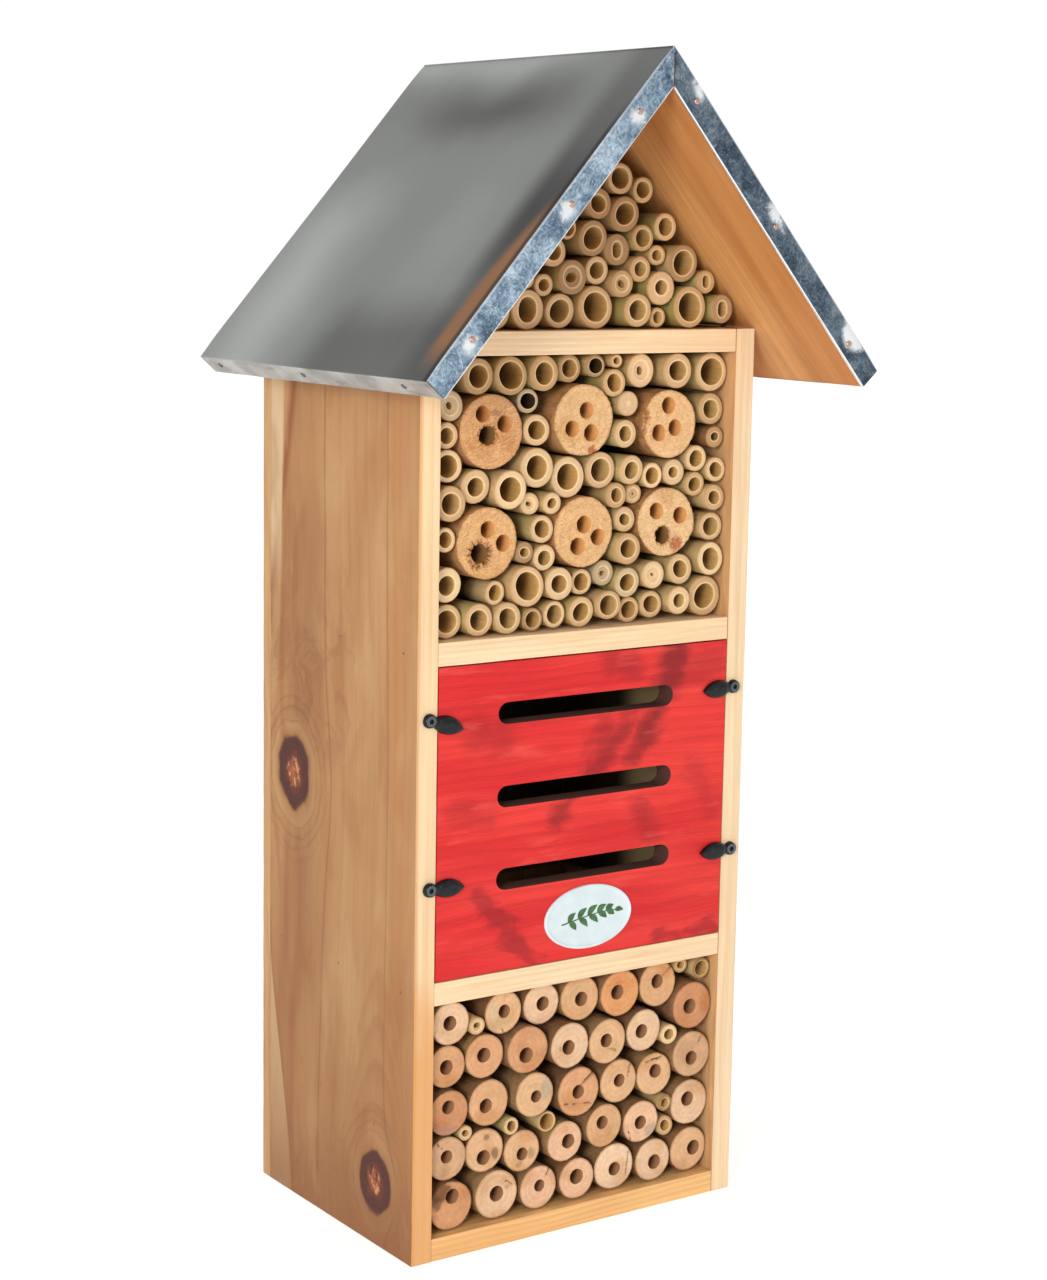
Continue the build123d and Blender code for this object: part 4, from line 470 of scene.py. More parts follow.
class Net:
    """Short spellings for shader nodes; vectors are in millimetres of the row frame."""

    def __init__(self, name):
        self.mat = bpy.data.materials.new(name)
        self.mat.use_nodes = True
        self.t = self.mat.node_tree
        self.t.nodes.clear()
        self.o = self.t.nodes.new("ShaderNodeOutputMaterial")
        self.b = self.t.nodes.new("ShaderNodeBsdfPrincipled")
        self.t.links.new(self.b.outputs[0], self.o.inputs[0])
        tc = self.t.nodes.new("ShaderNodeTexCoord")
        sc = self.t.nodes.new("ShaderNodeVectorMath")
        sc.operation = "SCALE"
        sc.inputs["Scale"].default_value = 1000.0
        self.t.links.new(tc.outputs["Object"], sc.inputs[0])
        self.P = sc.outputs[0]
        sep = self.t.nodes.new("ShaderNodeSeparateXYZ")
        self.t.links.new(self.P, sep.inputs[0])
        self.x, self.y, self.z = sep.outputs

    def set(self, sock, v):
        if isinstance(v, bpy.types.NodeSocket):
            self.t.links.new(v, sock)
        else:
            sock.default_value = v

    def m(self, op, a, b=None, c=None, clamp=False):
        n = self.t.nodes.new("ShaderNodeMath")
        n.operation = op
        n.use_clamp = clamp
        self.set(n.inputs[0], a)
        if b is not None:
            self.set(n.inputs[1], b)
        if c is not None:
            self.set(n.inputs[2], c)
        return n.outputs[0]

    def add(self, a, b):
        return self.m("ADD", a, b)

    def sub(self, a, b):
        return self.m("SUBTRACT", a, b)

    def mul(self, a, b, *more):
        r = self.m("MULTIPLY", a, b)
        for k in more:
            r = self.m("MULTIPLY", r, k)
        return r

    def mad(self, a, b, c):
        return self.m("MULTIPLY_ADD", a, b, c)

    def fract(self, a):
        return self.m("FRACT", a)

    def hyp(self, a, b):
        return self.m("SQRT", self.add(self.mul(a, a), self.mul(b, b)))

    def step(self, v, a, b, lo=0.0, hi=1.0):
        n = self.t.nodes.new("ShaderNodeMapRange")
        n.interpolation_type = "SMOOTHSTEP"
        self.set(n.inputs["Value"], v)
        n.inputs["From Min"].default_value = a
        n.inputs["From Max"].default_value = b
        n.inputs["To Min"].default_value = lo
        n.inputs["To Max"].default_value = hi
        return n.outputs[0]

    def bell(self, v, centre, width):
        """1 at the centre, falling to 0 about one width away."""
        d = self.mul(self.sub(v, centre), 1.0 / width)
        return self.m("POWER", 2.718, self.mul(self.mul(d, d), -1.6))

    def vec(self, x, y, z):
        n = self.t.nodes.new("ShaderNodeCombineXYZ")
        self.set(n.inputs[0], x)
        self.set(n.inputs[1], y)
        self.set(n.inputs[2], z)
        return n.outputs[0]

    def scale(self, sx, sy, sz, off=(0.0, 0.0, 0.0)):
        """The position scaled per axis, for stretched textures."""
        n = self.t.nodes.new("ShaderNodeVectorMath")
        n.operation = "MULTIPLY_ADD"
        self.set(n.inputs[0], self.P)
        n.inputs[1].default_value = (sx, sy, sz)
        n.inputs[2].default_value = off
        return n.outputs[0]

    def noise(self, vec, scale=1.0, detail=2.0, rough=0.5, dist=0.0):
        n = self.t.nodes.new("ShaderNodeTexNoise")
        self.set(n.inputs["Vector"], vec)
        n.inputs["Scale"].default_value = scale
        n.inputs["Detail"].default_value = detail
        n.inputs["Roughness"].default_value = rough
        n.inputs["Distortion"].default_value = dist
        return n.outputs[0]

    def voro(self, vec, scale=1.0, feature="F1", out="Distance", rand=1.0):
        n = self.t.nodes.new("ShaderNodeTexVoronoi")
        n.feature = feature
        self.set(n.inputs["Vector"], vec)
        n.inputs["Scale"].default_value = scale
        n.inputs["Randomness"].default_value = rand
        return n.outputs[out]

    def mix(self, fac, a, b, blend="MIX"):
        n = self.t.nodes.new("ShaderNodeMix")
        n.data_type = "RGBA"
        n.blend_type = blend
        n.clamp_factor = True
        self.set(n.inputs[0], fac)
        self.set(n.inputs[6], a)
        self.set(n.inputs[7], b)
        return n.outputs[2]

    def gain(self, col, k):
        """Colour times a grey factor that varies over the surface."""
        n = self.t.nodes.new("ShaderNodeVectorMath")
        n.operation = "SCALE"
        self.set(n.inputs[0], col)
        self.set(n.inputs["Scale"], k)
        return n.outputs[0]

    def ramp(self, fac, *stops, interp="LINEAR"):
        n = self.t.nodes.new("ShaderNodeValToRGB")
        n.color_ramp.interpolation = interp
        els = n.color_ramp.elements
        for e, (pos, col) in ((els[0], stops[0]), (els[1], stops[-1])):
            e.position = pos
            e.color = col
        for pos, col in stops[1:-1]:
            els.new(pos).color = col
        self.set(n.inputs[0], fac)
        return n.outputs[0]

    def attr(self, name, kind="Fac"):
        n = self.t.nodes.new("ShaderNodeAttribute")
        n.attribute_name = name
        return n.outputs[kind]

    def bump(self, height, strength=0.5, distance=0.2, normal=None):
        n = self.t.nodes.new("ShaderNodeBump")
        n.inputs["Strength"].default_value = strength
        n.inputs["Distance"].default_value = distance * MM
        self.set(n.inputs["Height"], height)
        if normal is not None:
            self.set(n.inputs["Normal"], normal)
        return n.outputs[0]

    def end(self, col, rough=0.6, normal=None, **const):
        self.set(self.b.inputs["Base Color"], col)
        self.set(self.b.inputs["Roughness"], rough)
        if normal is not None:
            self.set(self.b.inputs["Normal"], normal)
        for k, v in const.items():
            self.b.inputs[k.replace("_", " ")].default_value = v
        return self.mat


def plank(name, along, across, early, late, fine, pith=(40.0, 60.0), spacing=4.0, wobble=5.0, contrast=0.5,
          fibre=0.25, broad=0.2, dashes=0.3, seed=0.0, rough=0.62, knots=(), extra=None, mat_only=True, bump=0.35,
          slope=None, specular=0.35, streak=0.20):
    """Sawn and planed softwood. along, across and the third axis are 'x', 'y', 'z' or, with slope, 'l', 'n'.

    knots: (across, along, radius, stretch) on the face; the grain flows round them."""
    N = Net(name)
    ax = {"x": N.x, "y": N.y, "z": N.z}
    if slope is not None:
        s = slope
        # l runs down the slope, n square to it
        ax["l"] = N.add(N.mul(N.x, s * CA), N.mul(N.z, -SA))
        ax["n"] = N.add(N.mul(N.x, s * SA), N.mul(N.z, CA))
    third = [k for k in (("l", "y", "n") if slope is not None else ("x", "y", "z")) if k not in (along, across)][0]
    L, T, D = ax[along], ax[across], ax[third]
    so = seed * 37.7
    psi = T
    core_all, halo_all, rings_all = None, None, None
    for (kt, kl, kr, ke) in knots:
        dt = N.sub(T, kt)
        dl = N.mul(N.sub(L, kl), 1.0 / ke)
        rr = N.m("MAXIMUM", N.add(N.mul(dt, dt), N.mul(dl, dl)), kr * kr * 0.55)
        psi = N.sub(psi, N.mul(dt, N.m("DIVIDE", kr * kr * 1.15, rr)))
        wob = N.noise(N.vec(N.mul(T, 0.09), N.mul(L, 0.07), so), 1.0, 2.0, 0.4)
        rad = N.add(N.m("SQRT", N.add(N.mul(dt, dt), N.mul(dl, dl))), N.mul(N.sub(wob, 0.5), kr * 0.42))
        core = N.step(rad, kr * 0.86, kr * 1.08, 1.0, 0.0)
        halo = N.step(rad, kr * 1.0, kr * 2.3, 1.0, 0.0)
        rg = N.m("SINE", N.mul(rad, 2 * math.pi / max(1.3, kr * 0.16)))
        if core_all is None:
            core_all, halo_all, rings_all, rad_n = core, halo, rg, N.mul(rad, 1.0 / kr)
        else:
            rings_all = N.add(N.mul(rings_all, N.sub(1.0, core)), N.mul(rg, core))
            rad_n = N.m("MINIMUM", rad_n, N.mul(rad, 1.0 / kr))
            core_all = N.m("MAXIMUM", core_all, core)
            halo_all = N.m("MAXIMUM", halo_all, halo)
    w1 = N.noise(N.vec(N.mul(psi, 0.02), N.mul(L, 0.0065), N.mad(D, 0.02, so)), 1.0, 2.0, 0.45)
    w2 = N.noise(N.vec(N.mul(psi, 0.09), N.mul(L, 0.03), N.mad(D, 0.09, so + 5)), 1.0, 2.0, 0.5)
    off = N.add(N.mul(N.sub(w1, 0.5), wobble * 4.0), N.mul(N.sub(w2, 0.5), wobble * 0.6))
    dtp = N.add(N.sub(psi, pith[0]), off)
    ddp = N.add(N.sub(D, pith[1]), N.mul(off, 0.5))
    ring = N.hyp(dtp, ddp)
    f = N.fract(N.mul(ring, 1.0 / spacing))
    lw = N.mul(N.step(f, 0.25, 0.86), N.step(f, 0.9, 1.0, 1.0, 0.0))
    # wide slow change of how strong the lines are
    var = N.noise(N.vec(N.mul(psi, 0.03), N.mul(L, 0.008), N.mad(D, 0.03, so + 9)), 1.0, 1.0)
    lw = N.mul(lw, N.step(var, 0.3, 0.75, 0.25, 1.15))
    fib = N.noise(N.vec(N.mul(psi, 1.3), N.mul(L, 0.022), N.mad(D, 1.3, so + 2)), 1.0, 4.0, 0.65)
    fin = N.noise(N.vec(N.mul(psi, 5.5), N.mul(L, 0.11), N.mad(D, 5.5, so + 3)), 1.0, 2.0, 0.6)
    brd = N.noise(N.vec(N.mul(psi, 0.035), N.mul(L, 0.006), N.mad(D, 0.035, so + 4)), 1.0, 2.0, 0.5)
    dash = N.noise(N.vec(N.mul(psi, 2.4), N.mul(L, 0.16), N.mad(D, 2.4, so + 6)), 1.0, 1.0)
    dsh = N.step(dash, 0.70, 0.80)
    col = N.mix(N.mul(lw, contrast), early, late)
    col = N.mix(N.step(brd, 0.48, 0.72, 0.0, broad), col, late)
    col = N.mix(N.step(brd, 0.28, 0.48, broad * 0.8, 0.0), col, fine)
    k = N.add(1.0 - 0.5 * fibre, N.mul(fib, fibre))
    k = N.mul(k, N.add(1.0 - 0.35 * fibre, N.mul(fin, 0.7 * fibre)))
    k = N.sub(k, N.mul(dsh, dashes * 0.55))
    # streaks a few millimetres wide, the ones seen from a step away
    mids = N.noise(N.vec(N.mul(psi, 0.42), N.mul(L, 0.010), N.mad(D, 0.42, so + 7)), 1.0, 3.0, 0.6)
    k = N.mul(k, N.add(1.0 - streak, N.mul(mids, 2.0 * streak)))
    col = N.gain(col, k)
    if core_all is not None:
        kc = N.ramp(rad_n, (0.0, lin(190, 108, 62)), (0.26, lin(176, 96, 54)), (0.42, lin(124, 52, 22)), (0.62, lin(94, 34, 11)),
                    (0.9, lin(88, 33, 11)), (1.0, lin(118, 64, 32)))
        kc = N.gain(kc, N.add(0.92, N.mul(rings_all, 0.12)))
        crack = N.noise(N.vec(N.mul(T, 0.34), N.mul(L, 0.16), so + 8), 1.0, 3.0, 0.7)
        kc = N.mix(N.mul(N.step(crack, 0.55, 0.60), N.step(rad_n, 0.5, 0.3)), kc, lin(226, 168, 122))
        kc = N.mix(N.mul(N.step(crack, 0.44, 0.38), N.step(rad_n, 0.9, 0.4)), kc, lin(60, 24, 9))
        # pale flowing wood round the knot, then a darker turn of the grain
        pale_side = N.bell(rad_n, 1.30, 0.24)
        col = N.mix(N.mul(pale_side, 0.62), col, fine)
        turn = N.fract(N.mul(rad_n, 3.4))
        col = N.mix(N.mul(N.mul(N.step(turn, 0.55, 0.9), N.step(turn, 0.92, 1.0, 1.0, 0.0)), N.mul(N.step(rad_n, 1.2, 1.5), N.step(rad_n, 2.6, 1.8, 0.0, 0.5))), col, late)
        col = N.mix(core_all, col, kc)
    if extra is not None:
        col = extra(N, dict(L=L, T=T, D=D, psi=psi, fib=fib, fin=fin, lw=lw, col=col, so=so, core=core_all))
    h = N.add(N.mul(lw, 0.35), N.add(N.mul(fib, 0.9), N.mul(fin, 0.6)))
    h = N.sub(h, N.mul(dsh, 0.8))
    nrm = N.bump(h, bump, 0.22)
    rg = N.add(rough - 0.08, N.mul(fib, 0.16))
    return N.end(col, rg, nrm, Specular_IOR_Level=specular)


# ============================================================ materials

# painted shade: this gain darkens the whole left side board against the right one
SIDE_SHADE_GAIN = 0.635
SIDE_TINT = (1.0, 0.90, 0.76, 1.0)


def side_features(N, q):
    """Streaks, stains and the pale rear edge of the left side board, on its outer face; also painted shade, darker at
    the foot and over the whole board.
    """
    y, z, col = q["psi"], q["L"], q["col"]
    yt = N.add(q["T"], -FRONT)          # behind the case front
    yf = N.add(y, -FRONT)
    pale = lin(222, 184, 138)
    amber = lin(196, 128, 66)
    brown = lin(150, 92, 48)
    slow = N.noise(N.vec(N.mul(q["T"], 0.03), N.mul(z, 0.012), 3.0), 1.0, 2.0)
    wav = N.mul(N.sub(slow, 0.5), 9.0)
    # the sapwood band at the front, warmer than the rest
    col = N.mix(N.mul(N.bell(yf, 20.0, 11.0), 0.52), col, amber)
    col = N.mix(N.mul(N.step(yf, 104.0, 84.0), 0.14), col, pale)
    # two thin dark growth lines
    for c, w, s in ((90.0, 1.0, 0.55), (30.0, 0.9, 0.50), (61.0, 1.6, 0.12), (74.5, 1.2, 0.12), (44.0, 2.2, 0.10)):
        col = N.mix(N.mul(N.bell(N.add(yf, N.mul(wav, 0.25)), c, w), s), col, brown)
    # brown streak from the top that runs out to the rear edge above the knot
    up = N.step(z, 300.0, 468.0)
    centre = N.add(146.0, N.mul(up, -27.0))
    streak = N.bell(N.sub(N.add(yt, N.mul(wav, 0.4)), centre), 0.0, 4.2)
    col = N.mix(N.mul(streak, N.mul(N.step(z, 285.0, 330.0), N.step(q["fib"], 0.25, 0.7, 0.7, 1.0))), col, lin(164, 92, 44))
    # pale streak beside the rear edge, tapering downwards
    lim = N.add(133.0, N.mul(N.step(z, 330.0, 468.0), -3.0))
    pal = N.mul(N.step(N.sub(yt, lim), 0.0, 3.0), N.step(z, 318.0, 372.0))
    col = N.mix(N.mul(pal, 0.85), col, lin(244, 220, 186))
    # swirling grain between the knot and the middle
    sw = N.noise(N.vec(N.mul(q["T"], 0.05), N.mul(z, 0.035), 7.0), 1.0, 3.0, 0.6, 1.4)
    near = N.mul(N.bell(z, 285.0, 60.0), N.step(yf, 40.0, 80.0))
    col = N.mix(N.mul(near, N.step(sw, 0.48, 0.60, 0.0, 0.34)), col, brown)
    # arches over the lower knot
    dk = N.sub(yf, 36.0)
    arch = N.add(N.mul(N.mul(dk, dk), 1.0 / 9.0), N.sub(z, 33.0))
    a2 = N.fract(N.mul(N.add(arch, N.mul(wav, 2.0)), 1.0 / 23.0))
    zone = N.mul(N.bell(yf, 36.0, 24.0), N.mul(N.step(z, 50.0, 70.0), N.step(z, 110.0, 200.0, 1.0, 0.0)))
    col = N.mix(N.mul(zone, N.mul(N.step(a2, 0.2, 0.85), N.step(a2, 0.88, 1.0, 1.0, 0.0)), 0.26), col, brown)
    # pale wedge low on the rear edge
    wl = N.add(146.0, N.mul(N.step(z, 155.0, -10.0), -25.0))
    wedge = N.mul(N.step(N.sub(N.add(yt, N.mul(wav, 0.3)), wl), 0.0, 2.0), N.step(z, 150.0, 158.0, 1.0, 0.0))
    col = N.mix(N.mul(wedge, 0.82), col, lin(240, 214, 178))
    edge = N.mul(N.bell(N.sub(N.add(yt, N.mul(wav, 0.3)), wl), 0.0, 1.4), N.step(z, 150.0, 158.0, 1.0, 0.0))
    col = N.mix(N.mul(edge, 0.35), col, brown)
    # painted shade: the board darkens towards its foot, most near the ground
    col = N.mix(N.step(z, 330.0, 60.0, 0.0, 0.20), col, lin(184, 132, 80))
    col = N.mix(N.step(z, 70.0, 0.0, 0.0, 0.55), col, lin(156, 98, 52))
    # small dark specks, denser low down
    dd = N.noise(N.vec(N.mul(q["T"], 0.8), N.mul(z, 0.12), 21.0), 1.0, 1.0)
    col = N.mix(N.mul(N.step(dd, 0.73, 0.78), N.step(z, 150.0, 20.0, 0.15, 0.8)), col, lin(92, 54, 30))
    # slow tea-coloured clouds of the finish
    cl = N.noise(N.vec(N.mul(q["T"], 0.035), N.mul(z, 0.012), 17.0), 1.0, 3.0, 0.6)
    col = N.mix(N.step(cl, 0.50, 0.68, 0.0, 0.40), col, lin(178, 118, 64))
    col = N.mix(N.step(cl, 0.46, 0.30, 0.0, 0.35), col, lin(224, 188, 144))
    # a reddish streak under the upper knot and beside the pale wedge
    for c0, z0, z1, k0, w0 in ((128.0, 205.0, 120.0, 0.42, 4.0), (122.0, 110.0, 0.0, 0.40, 5.0), (133.0, 330.0, 240.0, 0.45, 3.6)):
        lo_, hi_ = min(z0, z1), max(z0, z1)
        zz = N.mul(N.step(z, lo_ - 12.0, lo_ + 14.0), N.step(z, hi_ + 12.0, hi_ - 14.0))
        b = N.bell(N.sub(N.add(yt, N.mul(wav, 0.6)), c0), 0.0, w0)
        col = N.mix(N.mul(N.mul(b, zz), k0), col, lin(176, 100, 52))
    # painted shade: a deeper tone low down; also darker behind the middle of the board
    col = N.mix(N.step(z, 185.0, 50.0), col, (0.84, 0.78, 0.70, 1.0), blend="MULTIPLY")
    rear = N.mul(N.bell(yt, 112.0, 27.0), N.mul(N.step(z, 70.0, 150.0), N.step(z, 410.0, 345.0)))
    col = N.mix(rear, col, (0.80, 0.73, 0.66, 1.0), blend="MULTIPLY")
    col = N.mix(N.mul(q["core"], 0.96), col, q["col"])
    col = N.mix(1.0, col, SIDE_TINT, blend="MULTIPLY")
    return N.gain(col, SIDE_SHADE_GAIN)


def make_woods():
    W = {}
    W["side"] = plank("side_board_pine", "z", "y", lin(205, 158, 108), lin(170, 110, 62), lin(221, 180, 132),
                      pith=(52.0, -135.0), spacing=7.3, wobble=5.0, contrast=0.24, fibre=0.34, broad=0.34, dashes=0.30,
                      seed=1.0, streak=0.13, knots=((120.6 + FRONT, 232.0, 16.8, 1.20), (35.4 + FRONT, 33.0, 15.6, 1.18)),
                      extra=side_features)
    W["side_r"] = plank("side_board_pine_right", "z", "y", lin(207, 160, 110), lin(172, 112, 64), lin(222, 182, 134),
                        pith=(10.0, 150.0), spacing=5.6, wobble=6.0, contrast=0.4, fibre=0.25, broad=0.28, seed=2.0,
                        knots=((60.0 + FRONT, 160.0, 9.0, 1.4),), extra=side_r_features)
    W["edge"] = plank("board_edge_pine", "z", "x", lin(229, 198, 156), lin(210, 162, 106), lin(237, 210, 172),
                      pith=(-128.0, 10.0), spacing=2.6, wobble=1.4, contrast=0.40, fibre=0.22, broad=0.3, dashes=0.12,
                      seed=3.0, extra=edge_features)
    W["edge_r"] = plank("board_edge_pine_right", "z", "x", lin(228, 199, 160), lin(210, 166, 118), lin(236, 212, 180),
                        pith=(120.0, 16.0), spacing=2.4, wobble=1.2, contrast=0.36, fibre=0.2, broad=0.3, dashes=0.1,
                        seed=4.0)
    W["shelf"] = plank("shelf_pine", "x", "z", lin(233, 203, 162), lin(210, 166, 116), lin(240, 216, 182),
                       pith=(-40.0, -70.0), spacing=2.9, wobble=1.6, contrast=0.32, fibre=0.2, broad=0.3, dashes=0.2, seed=5.0,
                       extra=shelf_features)
    W["bottom"] = plank("bottom_board_pine", "x", "z", lin(230, 182, 120), lin(204, 144, 82), lin(238, 196, 140),
                        pith=(-25.0, -66.0), spacing=2.7, wobble=1.8, contrast=0.4, fibre=0.24, broad=0.4, dashes=0.15, seed=6.0)
    W["back"] = plank("back_panel_pine", "z", "x", lin(212, 164, 110), lin(180, 122, 72), lin(226, 188, 140),
                      pith=(15.0, 190.0), spacing=5.6, wobble=7.0, contrast=0.45, fibre=0.25, broad=0.3, seed=7.0,
                      knots=((-48.0, 332.0, 8.0, 1.3), (41.0, 118.0, 9.5, 1.35), (12.0, 452.0, 6.0, 1.3)), extra=back_features)
    for s, key in ((-1, "roof_l"), (1, "roof_r")):
        W[key] = plank("roof_pine_" + ("left" if s < 0 else "right"), "l", "y", lin(198, 142, 84), lin(160, 98, 48),
                       lin(218, 172, 118), pith=(-60.0 if s > 0 else -30.0, 300.0), spacing=6.0, wobble=7.0, contrast=0.42,
                       fibre=0.45, broad=0.45, dashes=0.3, seed=8.0 + s, slope=s, streak=0.30,
                       knots=((-88.0, 128.0, 3.0, 1.3),) if s > 0 else (), extra=roof_features)
    W["batten"] = plank("batten_pine", "z", "x", lin(222, 184, 134), lin(190, 140, 90), lin(232, 200, 156),
                        pith=(-60.0, 60.0), spacing=2.8, wobble=2.0, contrast=0.4, seed=11.0)
    W["red"] = red_paint()
    W["slot"] = plank("slot_cut_wood", "x", "z", lin(92, 58, 48), lin(66, 40, 34), lin(108, 74, 62),
                      pith=(300.0, 20.0), spacing=2.4, wobble=2.0, contrast=0.45, fibre=0.35, seed=12.0, bump=0.6, rough=0.8)
    return W


def side_r_features(N, q):
    # painted light and shade inside the chamber: the inner face is paler near the slots, as lit wood, and painted
    # nearly black further back, as shade
    inner = N.step(N.x, 91.6, 91.0)
    zone = N.mul(N.step(N.z, 150.0, 156.0), N.step(N.z, 306.0, 300.0))
    deep = N.step(N.y, 20.0, 44.0)
    col = N.mix(N.mul(N.mul(inner, zone), 0.75), q["col"], lin(214, 190, 136))
    return N.mix(N.mul(N.mul(N.mul(inner, zone), deep), 0.96), col, lin(24, 16, 11))


def back_features(N, q):
    # painted shade: the chamber behind the red panel is painted nearly black on the back panel's inner face
    x, z, col = q["T"], q["L"], q["col"]
    inner = N.step(N.y, 97.0, 95.0)
    zone = N.mul(N.step(z, 150.0, 156.0), N.step(z, 306.0, 300.0))
    mid = N.mul(N.step(N.x, -86.0, -84.5), N.step(N.x, 90.6, 90.3))
    col = N.mix(N.mul(N.mul(N.mul(inner, zone), mid), 0.94), col, lin(26, 17, 12))
    return N.gain(col, 0.70)


def edge_features(N, q):
    x, z, col = q["T"], q["L"], q["col"]
    # thin orange line along the outer corner and a golden lower end
    out = N.add(x, HALF_W)
    col = N.mix(N.step(out, 2.2, 0.7, 0.0, 0.55), col, lin(202, 132, 62))
    wv = N.noise(N.vec(N.mul(x, 0.05), N.mul(z, 0.02), 2.0), 1.0, 2.0)
    low = N.step(N.add(z, N.mul(N.sub(wv, 0.5), 60.0)), 165.0, 105.0)
    return N.mix(N.mul(low, 0.70), col, lin(208, 140, 68))


def shelf_features(N, q):
    x, z, col = q["L"], q["T"], q["col"]
    st = N.noise(N.vec(N.mul(x, 0.02), N.mul(z, 0.35), N.mul(q["D"], 0.05)), 1.0, 2.0, 0.5, 0.3)
    col = N.mix(N.step(st, 0.52, 0.7, 0.0, 0.25), col, lin(214, 164, 108))
    return col


def roof_features(N, q):
    l, y, col = q["L"], q["T"], q["col"]
    wv = N.noise(N.vec(N.mul(l, 0.02), N.mul(y, 0.02), 4.0), 1.0, 2.0)
    band = N.fract(N.mul(N.add(y, N.mul(N.sub(wv, 0.5), 50.0)), 1.0 / 62.0))
    col = N.mix(N.mul(N.mul(N.step(band, 0.1, 0.5), N.step(band, 0.6, 0.95, 1.0, 0.0)), 0.35), col, lin(182, 112, 52))
    front = N.step(y, -92.0, -108.0)
    return N.mix(N.mul(front, 0.5), col, lin(170, 98, 42))


def red_paint():
    N = Net("red_stained_pine")
    P = N.P
    wob = N.noise(N.scale(0.006, 0.02, 0.03), 1.0, 2.0)
    zz = N.add(N.z, N.mul(N.sub(wob, 0.5), 22.0))
    ring = N.hyp(N.sub(zz, 120.0), N.add(N.y, 130.0))
    f = N.fract(N.mul(ring, 1.0 / 5.2))
    late = N.mul(N.step(f, 0.2, 0.85), N.step(f, 0.9, 1.0, 1.0, 0.0))
    fib = N.noise(N.vec(N.mul(N.x, 0.02), N.mul(N.y, 1.2), N.mul(zz, 1.2)), 1.0, 4.0, 0.65)
    fin = N.noise(N.vec(N.mul(N.x, 0.11), N.mul(N.y, 4.0), N.mul(zz, 5.0)), 1.0, 2.0, 0.6)
    brd = N.noise(N.vec(N.mul(N.x, 0.008), 1.0, N.mul(zz, 0.05)), 1.0, 2.0, 0.5)
    base = N.mix(N.step(brd, 0.3, 0.7), lin(203, 36, 37), lin(221, 57, 49))
    col = N.mix(N.mul(late, 0.20), base, lin(158, 20, 26))
    col = N.gain(col, N.add(0.72, N.mul(fib, 0.56)))
    col = N.gain(col, N.add(0.88, N.mul(fin, 0.24)))
    light = N.step(fin, 0.62, 0.75, 0.0, 0.18)
    col = N.mix(light, col, lin(238, 104, 92))
    # smoky marks where the stain took unevenly: (x, z, width, height, strength)
    smoke = None
    cl = N.noise(N.scale(0.045, 0.0, 0.08), 1.0, 4.0, 0.6, 0.6)
    for x1, z1, x2, z2, w, k in ((56.0, 303.0, 53.0, 287.0, 9.0, 0.80), (47.0, 274.0, 38.0, 262.0, 7.5, 0.78), (38.0, 262.0, 30.0, 250.0, 6.0, 0.62),
                                 (27.0, 267.0, 3.0, 243.0, 6.0, 0.62), (12.0, 262.0, 8.0, 252.0, 8.0, 0.5), (-10.0, 230.0, -18.0, 222.0, 6.0, 0.62),
                                 (16.0, 301.0, 30.0, 296.0, 7.0, 0.42), (-66.0, 187.0, -30.0, 147.0, 5.0, 0.52), (36.0, 220.0, 42.0, 206.0, 7.0, 0.42),
                                 (-66.0, 270.0, -52.0, 266.0, 9.0, 0.38), (50.0, 151.0, 86.0, 150.0, 4.0, 0.5), (62.0, 290.0, 84.0, 296.0, 8.0, 0.36),
                                 (-78.0, 232.0, -60.0, 226.0, 6.0, 0.25), (70.0, 238.0, 84.0, 214.0, 6.0, 0.25)):
        dx, dz = x2 - x1, z2 - z1
        ll = dx * dx + dz * dz
        t = N.m("MINIMUM", N.m("MAXIMUM", N.mul(N.add(N.mul(N.sub(N.x, x1), dx), N.mul(N.sub(N.z, z1), dz)), 1.0 / ll), 0.0), 1.0)
        d = N.hyp(N.sub(N.x, N.mad(t, dx, x1)), N.sub(N.z, N.mad(t, dz, z1)))
        d = N.add(d, N.mul(N.sub(cl, 0.5), 26.0))
        b = N.step(d, w * 1.75, w * 0.15, 0.0, k * 0.95)
        smoke = b if smoke is None else N.m("MAXIMUM", smoke, b)
    smoke = N.mul(smoke, N.add(0.75, N.mul(fib, 0.5)))
    col = N.mix(smoke, col, lin(104, 18, 26))
    rub_and_highlight = N.step(N.noise(N.scale(0.02, 0.0, 0.11), 1.0, 3.0, 0.6), 0.56, 0.72, 0.0, 0.35)
    col = N.mix(rub_and_highlight, col, lin(232, 92, 80))
    h = N.add(N.mul(late, 0.4), N.add(N.mul(fib, 0.9), N.mul(fin, 0.5)))
    return N.end(col, N.add(0.42, N.mul(fib, 0.18)), N.bump(h, 0.4, 0.2), Specular_IOR_Level=0.22)


def bamboo_skin():
    N = Net("bamboo_skin")
    tone = N.attr("skin", "Color")
    a = N.noise(N.scale(0.9, 0.03, 0.9), 1.0, 4.0, 0.6)
    b = N.noise(N.scale(0.12, 0.02, 0.12), 1.0, 2.0)
    c = N.noise(N.scale(3.5, 0.12, 3.5), 1.0, 2.0)
    col = N.gain(tone, N.add(0.78, N.mul(a, 0.40)))
    col = N.mix(N.step(b, 0.5, 0.75, 0.0, 0.35), col, lin(150, 112, 64))
    col = N.mix(N.step(c, 0.62, 0.8, 0.0, 0.25), col, lin(226, 204, 150))
    node = N.attr("node")
    col = N.mix(N.mul(node, 0.6), col, lin(120, 84, 46))
    # painted shade: the canes darken with depth behind the case front, inside the stack
    col = N.mix(N.step(N.y, FRONT + 5.0, FRONT + 34.0, 0.0, 0.80), col, lin(62, 44, 24))
    return N.end(col, N.add(0.34, N.mul(a, 0.2)), N.bump(N.add(a, N.mul(c, 0.4)), 0.35, 0.15), Specular_IOR_Level=0.45)


